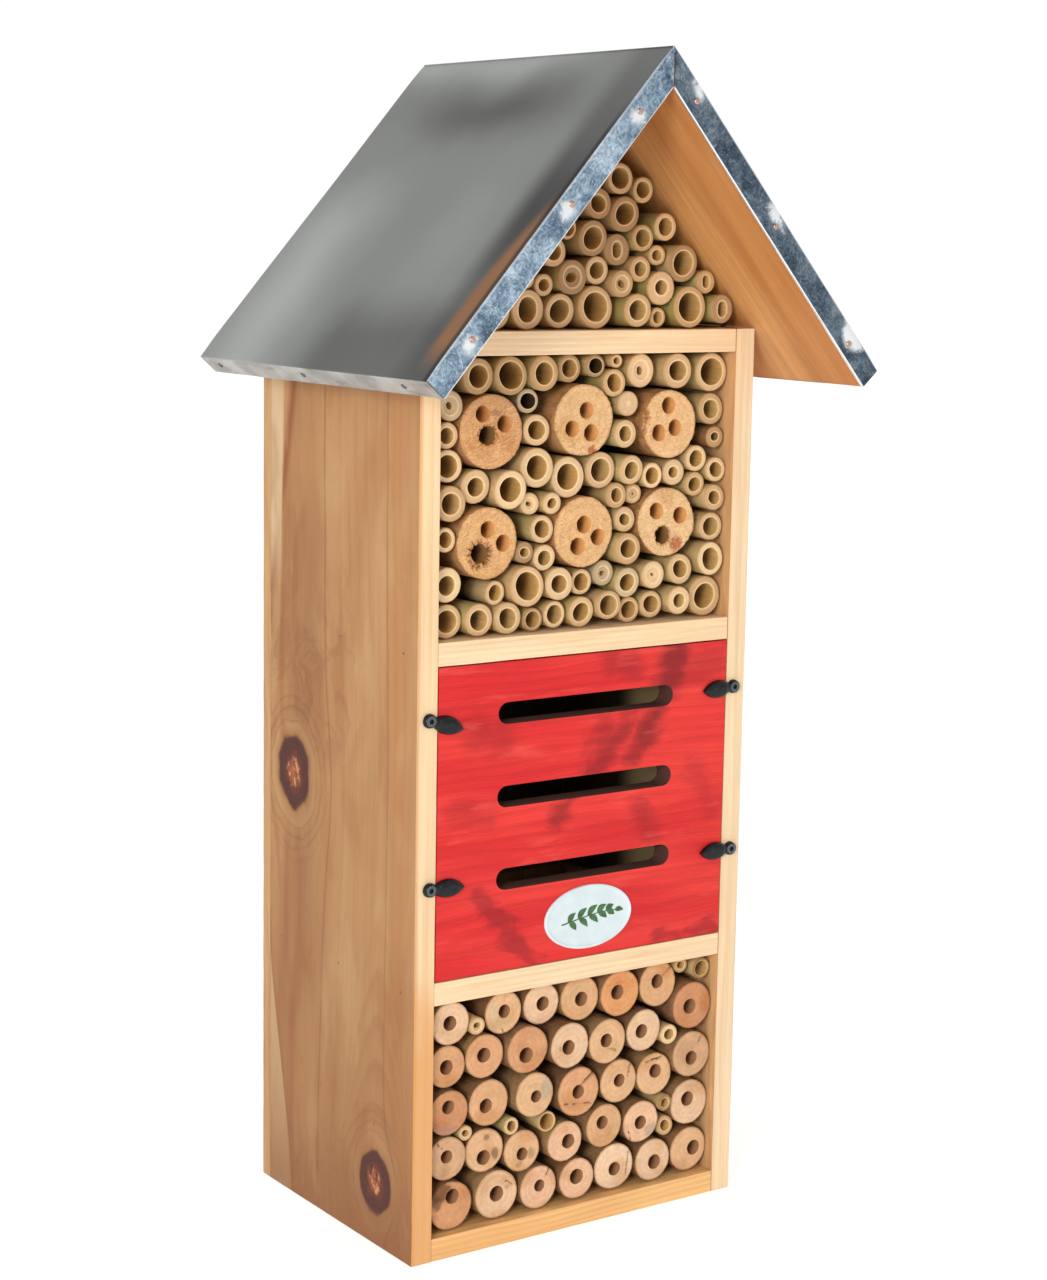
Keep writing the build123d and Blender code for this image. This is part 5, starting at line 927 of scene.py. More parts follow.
def bamboo_cut():
    """Sawn rim: pale inner wall, fibre bundles denser and darker towards the skin."""
    N = Net("bamboo_cut_rim")
    tone = N.attr("tone", "Color")
    rad = N.attr("rad")
    v = N.voro(N.P, 2.1)
    v2 = N.voro(N.P, 3.6)
    dots = N.mul(N.step(v, 0.34, 0.16), N.step(rad, 0.25, 0.95, 0.25, 1.0))
    fine = N.step(v2, 0.30, 0.12, 0.0, 0.5)
    n = N.noise(N.P, 0.55, 4.0, 0.6)
    saw = N.noise(N.vec(N.mul(N.add(N.x, N.z), 0.25), N.y, N.mul(N.sub(N.x, N.z), 1.9)), 1.0, 2.0)
    col = N.gain(tone, N.add(0.86, N.mul(n, 0.26)))
    col = N.mix(N.step(rad, 0.42, 0.06, 0.0, 0.58), col, lin(240, 216, 166))
    col = N.mix(N.mul(dots, 0.38), col, lin(132, 88, 48))
    col = N.mix(N.mul(fine, 0.2), col, lin(112, 72, 40))
    col = N.mix(N.step(rad, 0.80, 1.0, 0.0, 0.42), col, lin(158, 116, 64))
    col = N.mix(N.step(saw, 0.62, 0.8, 0.0, 0.18), col, lin(150, 104, 62))
    h = N.add(N.mul(n, 0.8), N.add(N.mul(saw, 0.8), N.mul(v, 0.6)))
    return N.end(col, N.add(0.66, N.mul(n, 0.15)), N.bump(h, 0.55, 0.22), Specular_IOR_Level=0.25)


def bamboo_bore():
    N = Net("bamboo_bore")
    tone = N.attr("bore", "Color")
    dep = N.attr("dep")
    a = N.noise(N.scale(0.8, 0.05, 0.8), 1.0, 3.0, 0.6)
    b = N.noise(N.scale(2.4, 0.3, 2.4), 1.0, 2.0)
    col = N.gain(tone, N.add(0.72, N.mul(a, 0.5)))
    # painted shade: the bore darkens with depth
    col = N.mix(N.step(dep, 1.0, 22.0, 0.0, 0.66), col, lin(88, 58, 24))
    col = N.mix(N.step(b, 0.58, 0.74, 0.0, 0.3), col, lin(88, 54, 28))
    return N.end(col, 0.62, N.bump(N.add(a, b), 0.4, 0.2), Specular_IOR_Level=0.3)


def cut_wood(name, log=False):
    """Sawn end of a stem or log; colour comes painted per point, fibre and saw marks from the nodes."""
    N = Net(name)
    tone = N.attr("tone", "Color")
    rad = N.attr("rad")
    n = N.noise(N.P, 0.30 if log else 0.42, 5.0, 0.66)
    fuzz = N.noise(N.P, 1.5 if log else 1.9, 3.0, 0.7)
    v = N.voro(N.P, 1.7 if log else 2.4)
    saw = N.noise(N.vec(N.mul(N.add(N.x, N.mul(N.z, 0.55)), 0.10), N.y, N.mul(N.sub(N.mul(N.x, 0.55), N.z), 1.15)), 1.0, 3.0, 0.6)
    ring = N.m("SINE", N.add(N.mul(rad, 26.0), N.mul(n, 9.0)))
    col = N.gain(tone, N.add(0.80, N.mul(n, 0.40)))
    col = N.gain(col, N.add(0.965, N.mul(ring, 0.035)))
    if log:
        tuft = N.noise(N.vec(N.mul(N.add(N.x, N.mul(N.z, 0.4)), 0.5), N.y, N.mul(N.sub(N.mul(N.x, 0.4), N.z), 1.7)), 1.0, 4.0, 0.7, 0.6)
        col = N.mix(N.step(v, 0.30, 0.12, 0.0, 0.45), col, lin(150, 84, 44))
        col = N.mix(N.step(tuft, 0.52, 0.66, 0.0, 0.62), col, lin(250, 214, 160))
        col = N.mix(N.step(tuft, 0.46, 0.34, 0.0, 0.55), col, lin(162, 96, 52))
        col = N.mix(N.step(fuzz, 0.58, 0.74, 0.0, 0.45), col, lin(248, 214, 164))
        col = N.mix(N.step(fuzz, 0.42, 0.28, 0.0, 0.42), col, lin(160, 92, 50))
        h = N.add(N.mul(fuzz, 1.5), N.add(N.mul(n, 0.7), N.mul(v, -0.5)))
        nrm = N.bump(h, 0.85, 0.5)
    else:
        col = N.mix(N.step(fuzz, 0.60, 0.78, 0.0, 0.3), col, lin(244, 222, 190))
        col = N.mix(N.step(fuzz, 0.40, 0.26, 0.0, 0.22), col, lin(160, 108, 70))
        col = N.mix(N.step(saw, 0.60, 0.74, 0.0, 0.22), col, lin(170, 122, 84))
        h = N.add(N.mul(fuzz, 0.8), N.add(N.mul(saw, 1.2), N.mul(n, 0.5)))
        nrm = N.bump(h, 0.6, 0.32)
    return N.end(col, N.add(0.74, N.mul(n, 0.16)), nrm, Specular_IOR_Level=0.2)


def drilled_wood():
    N = Net("drilled_hole_wall")
    tone = N.attr("bore", "Color")
    dep = N.attr("dep")
    a = N.noise(N.scale(0.35, 1.8, 0.35), 1.0, 3.0, 0.6)
    spiral = N.m("SINE", N.add(N.mul(N.y, 3.2), N.mul(a, 5.0)))
    col = N.gain(tone, N.add(0.74, N.mul(a, 0.46)))
    col = N.gain(col, N.add(0.97, N.mul(spiral, 0.03)))
    # painted shade: the hole darkens with depth
    col = N.mix(N.step(dep, 0.5, 17.0, 0.0, 0.80), col, lin(84, 48, 24))
    return N.end(col, 0.74, N.bump(N.add(a, N.mul(spiral, 0.2)), 0.5, 0.25), Specular_IOR_Level=0.2)


def bark(name="stem_bark"):
    N = Net(name)
    tone = N.attr("skin", "Color")
    a = N.noise(N.scale(0.7, 0.05, 0.7), 1.0, 4.0, 0.65)
    b = N.noise(N.P, 0.16, 3.0, 0.6)
    v = N.voro(N.scale(0.9, 0.14, 0.9), 1.0)
    col = N.gain(tone, N.add(0.66, N.mul(a, 0.62)))
    col = N.mix(N.step(b, 0.46, 0.66, 0.0, 0.5), col, lin(112, 78, 48))
    col = N.mix(N.step(v, 0.22, 0.08, 0.0, 0.5), col, lin(74, 48, 30))
    # painted shade: the bark darkens with depth behind the case front
    col = N.mix(N.step(N.y, FRONT + 5.0, FRONT + 40.0, 0.0, 0.75), col, lin(50, 34, 20))
    return N.end(col, 0.8, N.bump(N.add(a, N.mul(v, 0.7)), 0.7, 0.4), Specular_IOR_Level=0.2)


# painted light and shade: the left rake flange is brightened and the right one darkened
FLANGE_SHADE_GAIN = (1.10, 0.50)
SLOPE_GREY = (132, 134, 131)
SLOPE_WARM = (142, 97, 62)


def zinc(name, flange=False):
    """Galvanised sheet: dull on the slopes, spangled and bright on the folded flanges."""
    N = Net(name)
    ax = N.m("ABSOLUTE", N.x)
    down = N.add(N.mul(ax, CA), N.mul(N.sub(APEX_SHEET, N.z), SA))       # down the slope
    drop = N.sub(APEX_SHEET * CA, N.add(N.mul(ax, SA), N.mul(N.z, CA)))   # below the slope's plane
    if flange:
        n = N.noise(N.P, 0.07, 3.0, 0.6, 0.6)
        n2 = N.noise(N.P, 0.22, 6.0, 0.74, 2.2)
        scr = N.noise(N.vec(N.mul(N.add(N.x, N.z), 0.55), N.mul(N.y, 0.5), N.mul(N.sub(N.x, N.z), 0.22)), 0.80, 5.0, 0.8, 3.0)
        scr2 = N.noise(N.vec(N.mul(N.sub(N.z, N.x), 0.5), N.mul(N.y, 0.5), N.mul(N.add(N.x, N.z), 0.16)), 1.0, 5.0, 0.8, 2.5)
        mixv = N.add(N.mul(n, 0.55), N.mul(n2, 0.65))
        col = N.ramp(mixv, (0.40, lin(44, 58, 74)), (0.54, lin(92, 114, 134)), (0.64, lin(140, 162, 180)), (0.78, lin(206, 220, 230)))
        col = N.mix(N.step(scr, 0.54, 0.66, 0.0, 0.62), col, lin(222, 234, 242))
        col = N.mix(N.step(scr2, 0.45, 0.34, 0.0, 0.66), col, lin(30, 40, 54))
        # painted shade: the right flange is darker than the left
        right = N.step(N.x, -0.5, 0.5)
        col = N.gain(col, N.sub(FLANGE_SHADE_GAIN[0], N.mul(right, FLANGE_SHADE_GAIN[0] - FLANGE_SHADE_GAIN[1])))
        # painted highlights: bright patches round the nails, and bright lines along the lower and upper edges of the
        # flanges
        rub_and_highlight = None
        for s_, pts in ((-1, LEFT_NAILS), (1, RIGHT_NAILS)):
            on = right if s_ > 0 else N.sub(1.0, right)
            for an in pts:
                r = N.hyp(N.mul(N.sub(down, an + (3.0 if s_ < 0 else -3.0)), 1 / (5.0 if s_ < 0 else 8.0)), N.mul(N.sub(drop, 6.5 if s_ < 0 else 2.6), 1 / 4.4))
                b = N.mul(N.step(N.add(r, N.add(N.mul(N.sub(n, 0.5), 3.0), N.mul(N.sub(n2, 0.5), 2.0))), 1.25, 0.35), on)
                rub_and_highlight = b if rub_and_highlight is None else N.m("MAXIMUM", rub_and_highlight, b)
        col = N.mix(N.mul(rub_and_highlight, 0.88), col, lin(250, 252, 253))
        col = N.mix(N.step(drop, 12.1, 12.6, 0.0, 0.9), col, lin(250, 252, 252))
        col = N.mix(N.step(drop, 0.75, 0.35, 0.0, 0.5), col, lin(226, 232, 236))
        rg = N.add(0.26, N.mul(n2, 0.22))
        h = N.add(N.mul(n, 0.8), N.add(N.mul(n2, 0.4), N.mul(scr, 0.15)))
        return N.end(col, rg, N.bump(h, 0.5, 0.5), Metallic=0.85)
    n = N.noise(N.P, 0.012, 3.0, 0.5)
    n2 = N.noise(N.P, 0.11, 4.0, 0.6)
    n3 = N.noise(N.P, 0.9, 3.0, 0.6)
    wob = N.noise(N.vec(N.mul(down, 0.012), N.mul(N.y, 0.012), N.mul(N.x, 0.004)), 1.0, 2.0)
    a = N.add(down, N.mul(N.sub(wob, 0.5), 34.0))
    y = N.add(N.y, N.mul(N.sub(wob, 0.5), 26.0))
    # painted reflections and shade: light and dark bands down the slope, a highlight by the ridge, darker towards the
    # front edge
    k = N.add(0.98, N.mul(N.sub(n, 0.5), 0.30))
    k = N.add(k, N.mul(N.bell(a, 4.0, 15.0), N.step(y, -75.0, 0.0, 0.0, 0.55)))
    k = N.sub(k, N.mul(N.bell(a, 37.0, 21.0), N.step(N.m("ABSOLUTE", N.sub(y, 4.0)), 95.0, 10.0, 0.10, 0.52)))
    k = N.sub(k, N.mul(N.step(a, 146.0, 186.0), N.step(y, 26.0, -14.0, 0.0, 0.46)))
    k = N.add(k, N.mul(N.step(a, 62.0, 118.0), N.bell(y, 74.0, 44.0), 0.62))
    k = N.add(k, N.mul(N.bell(a, 116.0, 40.0), N.bell(y, -42.0, 30.0), 0.14))
    shade = N.mul(N.step(N.y, -70.0, -93.0), N.add(0.30, N.mul(N.bell(down, 104.0, 72.0), 0.48)))
    k = N.mul(k, N.sub(1.0, shade))
    k = N.mul(k, N.add(0.97, N.mul(N.sub(n2, 0.5), 0.10)))
    k = N.mul(k, N.add(0.98, N.mul(n3, 0.04)))
    col = N.gain(lin(*SLOPE_GREY)[:3], k)
    left = N.step(N.x, 0.0, -2.0)
    # warm brown band that widens down the front edge of the left slope
    lim = N.add(-103.5, N.mul(N.step(down, 92.0, 160.0), 7.5))
    warm = N.mul(N.step(N.sub(N.y, lim), 5.0, -3.0), N.mul(N.step(down, 88.0, 124.0), N.step(down, 203.0, 182.0)))
    col = N.mix(N.mul(N.mul(warm, left), 0.92), col, lin(*SLOPE_WARM))
    dk = N.mul(N.step(N.y, -104.5, -107.5), N.step(down, 30.0, 60.0))
    col = N.mix(N.mul(N.mul(dk, left), 0.75), col, lin(34, 30, 28))
    spk = N.noise(N.P, 0.35, 2.0, 0.8, 1.0)
    col = N.mix(N.step(spk, 0.70, 0.74, 0.0, 0.25), col, lin(90, 88, 86))
    return N.end(col, N.add(0.50, N.mul(n2, 0.14)), N.bump(N.add(n2, N.mul(n3, 0.3)), 0.06, 0.3), Metallic=0.45, Specular_IOR_Level=0.3)


def black_gloss():
    N = Net("black_japanned_metal")
    n = N.noise(N.P, 0.35, 3.0, 0.6)
    n2 = N.noise(N.P, 2.4, 3.0, 0.6)
    col = N.mix(N.step(n, 0.35, 0.7), lin(9, 11, 12), lin(17, 22, 25))
    col = N.mix(N.step(n2, 0.66, 0.8, 0.0, 0.35), col, lin(44, 52, 56))
    return N.end(col, N.add(0.13, N.mul(n2, 0.14)), N.bump(N.add(n, N.mul(n2, 0.3)), 0.16, 0.2),
                 Specular_IOR_Level=0.30)


def screw_metal():
    N = Net("dark_screw_metal")
    n = N.noise(N.P, 1.2, 3.0, 0.6)
    rad = N.noise(N.P, 5.0, 2.0)
    col = N.mix(N.step(n, 0.3, 0.7), lin(62, 68, 72), lin(112, 120, 124))
    return N.end(col, N.add(0.26, N.mul(rad, 0.2)), N.bump(N.add(n, rad), 0.2, 0.15), Metallic=0.9)


def nail_metal(name="nail_steel_copper", warm=True):
    N = Net(name)
    n = N.noise(N.P, 1.6, 3.0, 0.6)
    a, b = (lin(150, 108, 92), lin(222, 190, 174)) if warm else (lin(70, 66, 62), lin(122, 118, 114))
    col = N.mix(N.step(n, 0.3, 0.7), a, b)
    return N.end(col, N.add(0.24, N.mul(n, 0.22)), N.bump(n, 0.25, 0.15), Metallic=0.85)


def plate_metal():
    N = Net("zinc_plated_hanger")
    n = N.noise(N.P, 0.5, 4.0, 0.6)
    s = N.noise(N.scale(0.12, 1.0, 2.2), 1.0, 3.0, 0.6)
    col = N.mix(N.step(n, 0.3, 0.7), lin(150, 150, 142), lin(196, 194, 180))
    col = N.gain(col, N.add(0.9, N.mul(s, 0.2)))
    return N.end(col, N.add(0.28, N.mul(s, 0.2)), N.bump(N.add(n, s), 0.15, 0.15), Metallic=0.9)


def badge_face():
    N = Net("badge_plastic_white")
    n = N.noise(N.P, 0.12, 3.0, 0.5)
    n2 = N.noise(N.P, 1.4, 3.0, 0.6)
    sc = N.noise(N.scale(0.10, 1.0, 1.4), 1.0, 2.0, 0.6, 0.6)
    col = N.mix(N.step(n, 0.3, 0.7), lin(200, 211, 213), lin(208, 219, 221))
    col = N.mix(N.step(sc, 0.66, 0.76, 0.0, 0.12), col, lin(186, 196, 200))
    return N.end(col, N.add(0.30, N.mul(n2, 0.12)), N.bump(n2, 0.06, 0.1), Specular_IOR_Level=0.5)


def badge_green():
    N = Net("badge_leaf_green")
    n = N.noise(N.P, 0.5, 3.0, 0.6)
    col = N.mix(N.step(n, 0.3, 0.7), lin(34, 78, 42), lin(66, 112, 58))
    return N.end(col, N.add(0.34, N.mul(n, 0.1)), N.bump(n, 0.1, 0.1), Specular_IOR_Level=0.5)


def floor_white():
    N = Net("studio_floor")
    n = N.noise(N.P, 0.004, 2.0)
    col = N.mix(N.step(n, 0.3, 0.7), lin(206, 206, 206), lin(210, 210, 210))
    return N.end(col, 0.9, None, Specular_IOR_Level=0.1, Emission_Strength=0.62)


WOOD = make_woods()
SKIN, CUT, BORE = bamboo_skin(), bamboo_cut(), bamboo_bore()
STEM_CUT, LOG_CUT, DRILLED = cut_wood("stem_end_grain"), cut_wood("log_end_grain", log=True), drilled_wood()
BARK, LOG_BARK = bark("stem_bark"), bark("log_bark")
ZINC, FLANGE = zinc("galvanised_slope"), zinc("galvanised_flange", flange=True)
BLACK, SCREW = black_gloss(), screw_metal()
NAIL, EAVE_NAIL, PLATE = nail_metal(), nail_metal("nail_steel_grey", warm=False), plate_metal()
BADGE, LEAF = badge_face(), badge_green()

# ============================================================ case boards


def board(node, mats, chooser, width=0.8, wear=0.25, seed=0, step=7.0, body="case", slot="side_wood", segs=3):
    ob = soften(node, width=width, wear=wear, seed=seed, step=step, segs=segs)
    for mt in mats:
        ob.data.materials.append(mt)
    idx = [chooser(p.center * 1000, p.normal) for p in ob.data.polygons]
    ob.data.polygons.foreach_set("material_index", idx)
    ob.data.update()
    return finish_piece(ob, body, slot, node)


board("left_side_board", [WOOD["side"], WOOD["edge"]], lambda c, n: 1 if n.y < -0.8 else 0, seed=1)
board("right_side_board", [WOOD["side_r"], WOOD["edge_r"]], lambda c, n: 1 if n.y < -0.8 else 0, seed=2)
for k, nm in enumerate(("lower_shelf", "middle_shelf", "upper_shelf")):
    board(nm, [WOOD["shelf"]], lambda c, n: 0, seed=3 + k, slot="shelf_wood", width=0.6)
board("bottom_board", [WOOD["bottom"]], lambda c, n: 0, seed=7, slot="shelf_wood", width=0.6)
board("back_panel", [WOOD["back"]], lambda c, n: 0, seed=8, width=0.7)
board("left_roof_board", [WOOD["roof_l"]], lambda c, n: 0, seed=9, slot="roof_wood")
board("right_roof_board", [WOOD["roof_r"]], lambda c, n: 0, seed=10, slot="roof_wood")
board("left_panel_stop", [WOOD["batten"]], lambda c, n: 0, seed=11, width=0.5)
board("right_panel_stop", [WOOD["batten"]], lambda c, n: 0, seed=12, width=0.5)
board("front_panel", [WOOD["red"], WOOD["slot"]],
      lambda c, n: 1 if (abs(n.y) < 0.5 and abs(c.x) < 60 and 180 < c.z < 292) or n.y > 0.8 else 0,
      seed=13, slot="red_stained_wood", width=0.55, wear=0.15, step=5.0)

# ============================================================ bamboo

TONES = {
    "a": (223, 190, 145),
    "b": (213, 178, 135),
    "c": (203, 166, 123),
    "d": (194, 156, 112),
    "e": (187, 148, 104),
    "f": (193, 167, 130),
    "g": (168, 132, 95),
    "h": (151, 114, 77),
    "m": (180, 154, 121),
    "n": (180, 140, 99),
}


def tube(B, x, z, ro, rb, recess, depth, seed, tone="b", skin=None, dark=1.0, tall=None):
    R = random.Random(seed * 7919 + 13)
    n = 48 if ro > 7 else 40
    col = lin(*TONES[tone])
    shade = 1 + R.uniform(-0.05, 0.05)
    col = tuple(c * shade * (1 + R.uniform(-0.015, 0.015)) for c in col[:3])
    skin = lin(*(skin or R.choice(((206, 176, 124), (198, 172, 116), (192, 171, 112), (208, 174, 122), (192, 162, 108)))))
    bore = tuple(c * dark for c in lin(*R.choice(((206, 162, 98), (196, 154, 92), (202, 164, 104)))))
    oval, turn = R.uniform(0.0, 0.055), R.uniform(0, math.pi)
    y0 = FRONT + recess
    tx, tz = R.uniform(-0.035, 0.035), R.uniform(-0.035, 0.035)
    at0 = dict(skin=skin, tone=col, bore=bore, dep=0.0, node=0.0, rad=1.0)

    def rim(r, y, o=oval, rough=0.0, dx=0.0, dz=0.0, tl=1.0, sd=0.0, wav=0.0):
        pts = circle(x + dx, z + dz, y, r, n, o, turn, rough, seed + sd)
        out = []
        for i, (px, py, pz) in enumerate(pts):
            t = 2 * math.pi * i / n
            w = wav * noise.noise(Vector((2.2 * math.cos(t) + seed, 2.2 * math.sin(t), sd)))
            out.append((px, py + tl * (tx * (px - x) + tz * (pz - z)) + w, pz))
        return out

    back = B.vert((x, TUBE_BACK, z), **dict(at0, rad=0.0))
    nodes_at = y0 + R.uniform(18, 70)
    lens = [TUBE_BACK, nodes_at + 2.2, nodes_at + 0.9, nodes_at, nodes_at - 1.2, y0 + 11, y0 + 4, y0 + 1.2, y0 + 0.45]
    rings = []
    b0 = B.ring(rim(ro - 0.5, TUBE_BACK, tl=0), **at0)
    B.fan(b0, back, 1, flip=True)
    prev = b0
    for k, yy in enumerate(lens):
        rr = ro - 0.02
        nd = 0.0
        if k == 2 or k == 3:
            rr, nd = ro - 0.02, 1.0
        elif k in (1, 4):
            rr = ro - 0.28
        elif k < 7:
            rr = ro - 0.16
        cur = B.ring(rim(rr, yy if k else TUBE_BACK - 0.5, tl=0 if k < 5 else 1, rough=0.012), **dict(at0, node=nd))
        B.bridge(prev, cur, 0)
        prev = cur
    wall = ro - rb
    # bore a little off centre and not quite round
    ba, bm_ = R.uniform(0, 2 * math.pi), R.uniform(0.0, 0.09) * wall
    bx, bz = bm_ * math.cos(ba), bm_ * math.sin(ba)
    bo = R.uniform(0.0, 0.12) if rb > 3 else R.uniform(0, 0.2)
    closed = rb < 0.40 * ro and rb > 0
    if tall is not None:
        bo, turn = tall, math.pi / 2
    e0 = B.ring(rim(ro - 0.42, y0 + 0.02, rough=0.012, wav=0.10, sd=1), **dict(at0, rad=0.97))
    B.bridge(prev, e0, 1)
    if rb <= 0.01:
        prev = e0
        for fr, ra in ((0.8, 0.8), (0.58, 0.6), (0.36, 0.4), (0.16, 0.2)):
            cur = B.ring(rim(ro * fr, y0 + R.uniform(-0.05, 0.25), wav=0.25, sd=fr * 9), **dict(at0, rad=ra))
            B.bridge(prev, cur, 1)
            prev = cur
        c = B.vert((x, y0 + 0.2, z), **dict(at0, rad=0.1))
        B.fan(prev, c, 1)
        return
    prev = e0
    if closed:
        # thick node wall: a shallow dish round a pinhole
        inner = ro * R.uniform(0.52, 0.62)
        for fr, dy, ra in ((0.66, 0.0, 0.7), (0.25, 0.02, 0.3)):
            cur = B.ring(rim(inner + (ro - inner) * fr, y0 + dy, sd=fr * 5, wav=0.12, rough=0.01), **dict(at0, rad=ra))
            B.bridge(prev, cur, 1)
            prev = cur
        cur = B.ring(rim(inner, y0 + 0.12, sd=4, wav=0.1, rough=0.04), **dict(at0, rad=0.05))
        B.bridge(prev, cur, 1)
        prev = cur
        cur = B.ring(rim(inner - 0.35, y0 + 0.62, sd=5, wav=0.15, rough=0.05), **dict(at0, rad=0.35))
        B.bridge(prev, cur, 1)
        prev = cur
        hr = max(rb, 0.7)
        cur = B.ring(rim((inner + hr) / 2, y0 + 0.75, sd=6, wav=0.3, dx=bx * 0.5, dz=bz * 0.5), **dict(at0, rad=0.5))
        B.bridge(prev, cur, 1)
        prev = cur
        cur = B.ring(rim(hr, y0 + 0.95, o=0.25, sd=7, wav=0.25, dx=bx, dz=bz, rough=0.12), **dict(at0, rad=0.6))
        B.bridge(prev, cur, 1)
        prev = cur
        steps = ((hr * 0.98, 1.6), (hr * 1.02, 4.0), (hr * 0.95, 10.0), (hr * 0.9, min(depth, 30.0)))
    else:
        for fr, ra in ((0.72, 0.74), (0.46, 0.5), (0.2, 0.22)):
            cur = B.ring(rim(rb + wall * fr, y0 - 0.02, o=oval * fr + bo * (1 - fr), sd=fr * 5, wav=0.14,
                             dx=bx * (1 - fr), dz=bz * (1 - fr), rough=0.01), **dict(at0, rad=ra))
            B.bridge(prev, cur, 1)
            prev = cur
        cur = B.ring(rim(rb + 0.18, y0 + 0.06, o=bo, sd=3, wav=0.16, dx=bx, dz=bz, rough=0.035), **dict(at0, rad=0.0))
        B.bridge(prev, cur, 1)
        prev = cur
        steps = ((rb, 0.4), (rb * 0.985, 2.0), (rb * 1.0, 5.0), (rb * 1.02, 12.0), (rb * 0.99, 26.0), (rb * 0.97, max(30.0, depth)))
    for k, (rr, dd) in enumerate(steps):
        o2 = bo if not closed else 0.2
        cur = B.ring(rim(rr, y0 + (0.95 if closed else 0) + dd, o=o2, dx=bx, dz=bz, rough=0.035, sd=3 + k * 0.15, tl=1 if dd < 3 else 0),
                     **dict(at0, dep=dd))
        B.bridge(prev, cur, 2)
        prev = cur
    cy = y0 + (0.95 if closed else 0) + steps[-1][1]
    c = B.vert((x + bx, cy + 0.8, z + bz), **dict(at0, dep=90.0))
    B.fan(prev, c, 2)


def bamboo_group(node, rows, seed, tones, special=None):
    B = Build()
    for i, (x, z, ro, rb, rec, dep) in enumerate(rows):
        kw = dict({"tone": tones[i % len(tones)]}, **(special or {}).get(i, {}))
        tube(B, x, z, ro, rb, rec, dep, seed * 31 + i, **kw)
    ob = B.put(node + "_look", [SKIN, CUT, BORE], sharp=40)
    return finish_piece(ob, "case", "bamboo", node)


bamboo_group("bamboo_top_row_left", bamboo_top_row_left_tubes, 1, "ceeegg", {5: {'dark': 0.12}})
bamboo_group("bamboo_top_row_right", bamboo_top_row_right_tubes, 2, "cdbcc", {2: {'tone': 'b'}})
bamboo_group("bamboo_between_upper_logs", bamboo_between_upper_logs_tubes, 3, "fhbcdcdh", {1: {'tone': 'm', 'dark': 0.1, 'skin': (150, 138, 112)}, 4: {'tone': 'b'}, 7: {'tone': 'n', 'dark': 0.5, 'skin': (150, 108, 70)}})
bamboo_group("bamboo_centre_row_left", bamboo_centre_row_left_tubes, 4, "acabbdbb")
bamboo_group("bamboo_centre_row_right", bamboo_centre_row_right_tubes, 5, "ccabbbdded")
bamboo_group("bamboo_between_lower_logs", bamboo_between_lower_logs_tubes, 6, "bbgbcdc")
bamboo_group("bamboo_second_row_left", bamboo_second_row_left_tubes, 7, "accbc")
bamboo_group("bamboo_second_row_right", bamboo_second_row_right_tubes, 8, "efbca", {0: {'tone': 'm', 'skin': (168, 156, 130)}})
bamboo_group("bamboo_bottom_row_left", bamboo_bottom_row_left_tubes, 9, "cccgbc")
bamboo_group("bamboo_bottom_row_right", bamboo_bottom_row_right_tubes, 10, "ddcbd")
bamboo_group("bamboo_lower_upper_set", bamboo_lower_upper_set_tubes, 11, "ceha")
bamboo_group("bamboo_lower_lower_set", bamboo_lower_lower_set_tubes, 12, "cbdhd")
bamboo_group("gable_bamboo_row_1", gable_bamboo_row_1_tubes, 13, "cccccddeeg", {3: {'tall': 0.16}, 6: {'skin': (176, 158, 94)}, 8: {'skin': (172, 154, 90)}, 9: {'tall': 0.3, 'skin': (176, 160, 96)}})
bamboo_group("gable_bamboo_row_2", gable_bamboo_row_2_tubes, 14, "ccccgcedce", {8: {'skin': (170, 152, 88)}, 9: {'tall': 0.34}})
bamboo_group("gable_bamboo_row_3", gable_bamboo_row_3_tubes, 15, "cccggedg", {4: {'tall': 0.32}})
bamboo_group("gable_bamboo_row_4", gable_bamboo_row_4_tubes, 16, "cccgcgc", {6: {'skin': (170, 154, 92)}})
bamboo_group("gable_bamboo_row_5", gable_bamboo_row_5_tubes, 17, "ccccccc")

# ============================================================ stems and logs


def disc_points(R, holes, outline, gap, seed, dense=()):
    """Jittered points inside an outline, clear of the hole rims."""
    rnd = random.Random(seed)
    pts = []

    def add_grid(x0, x1, z0, z1, g, keep):
        rows = int((z1 - z0) / (g * 0.866)) + 1
        for j in range(rows):
            zz = z0 + j * g * 0.866
            xx = x0 + (g / 2 if j % 2 else 0.0)
            while xx < x1:
                px, pz = xx + rnd.uniform(-0.22, 0.22) * g, zz + rnd.uniform(-0.22, 0.22) * g
                if keep(px, pz):
                    pts.append((px, pz))
                xx += g

    def inside(px, pz, m):
        t = math.atan2(pz, px)
        return math.hypot(px, pz) < outline(t) - m

    def clear(px, pz, m):
        return all(math.hypot(px - hx, pz - hz) > hr + m for hx, hz, hr in holes)

    dz = lambda px, pz: any(math.hypot(px - a, pz - b) < r for a, b, r, g in dense)
    add_grid(-R, R, -R, R, gap, lambda a, b: inside(a, b, gap * 0.55) and clear(a, b, gap * 0.5) and not dz(a, b))
    for a0, b0, r0, g0 in dense:
        add_grid(a0 - r0, a0 + r0, b0 - r0, b0 + r0, g0,
                 lambda a, b: math.hypot(a - a0, b - b0) < r0 and inside(a, b, g0 * 0.6) and clear(a, b, g0 * 0.6))
    return pts


def seg_dist(px, pz, x1, z1, x2, z2):
    dx, dz = x2 - x1, z2 - z1
    t = max(0.0, min(1.0, ((px - x1) * dx + (pz - z1) * dz) / (dx * dx + dz * dz)))
    return math.hypot(px - x1 - t * dx, pz - z1 - t * dz), t


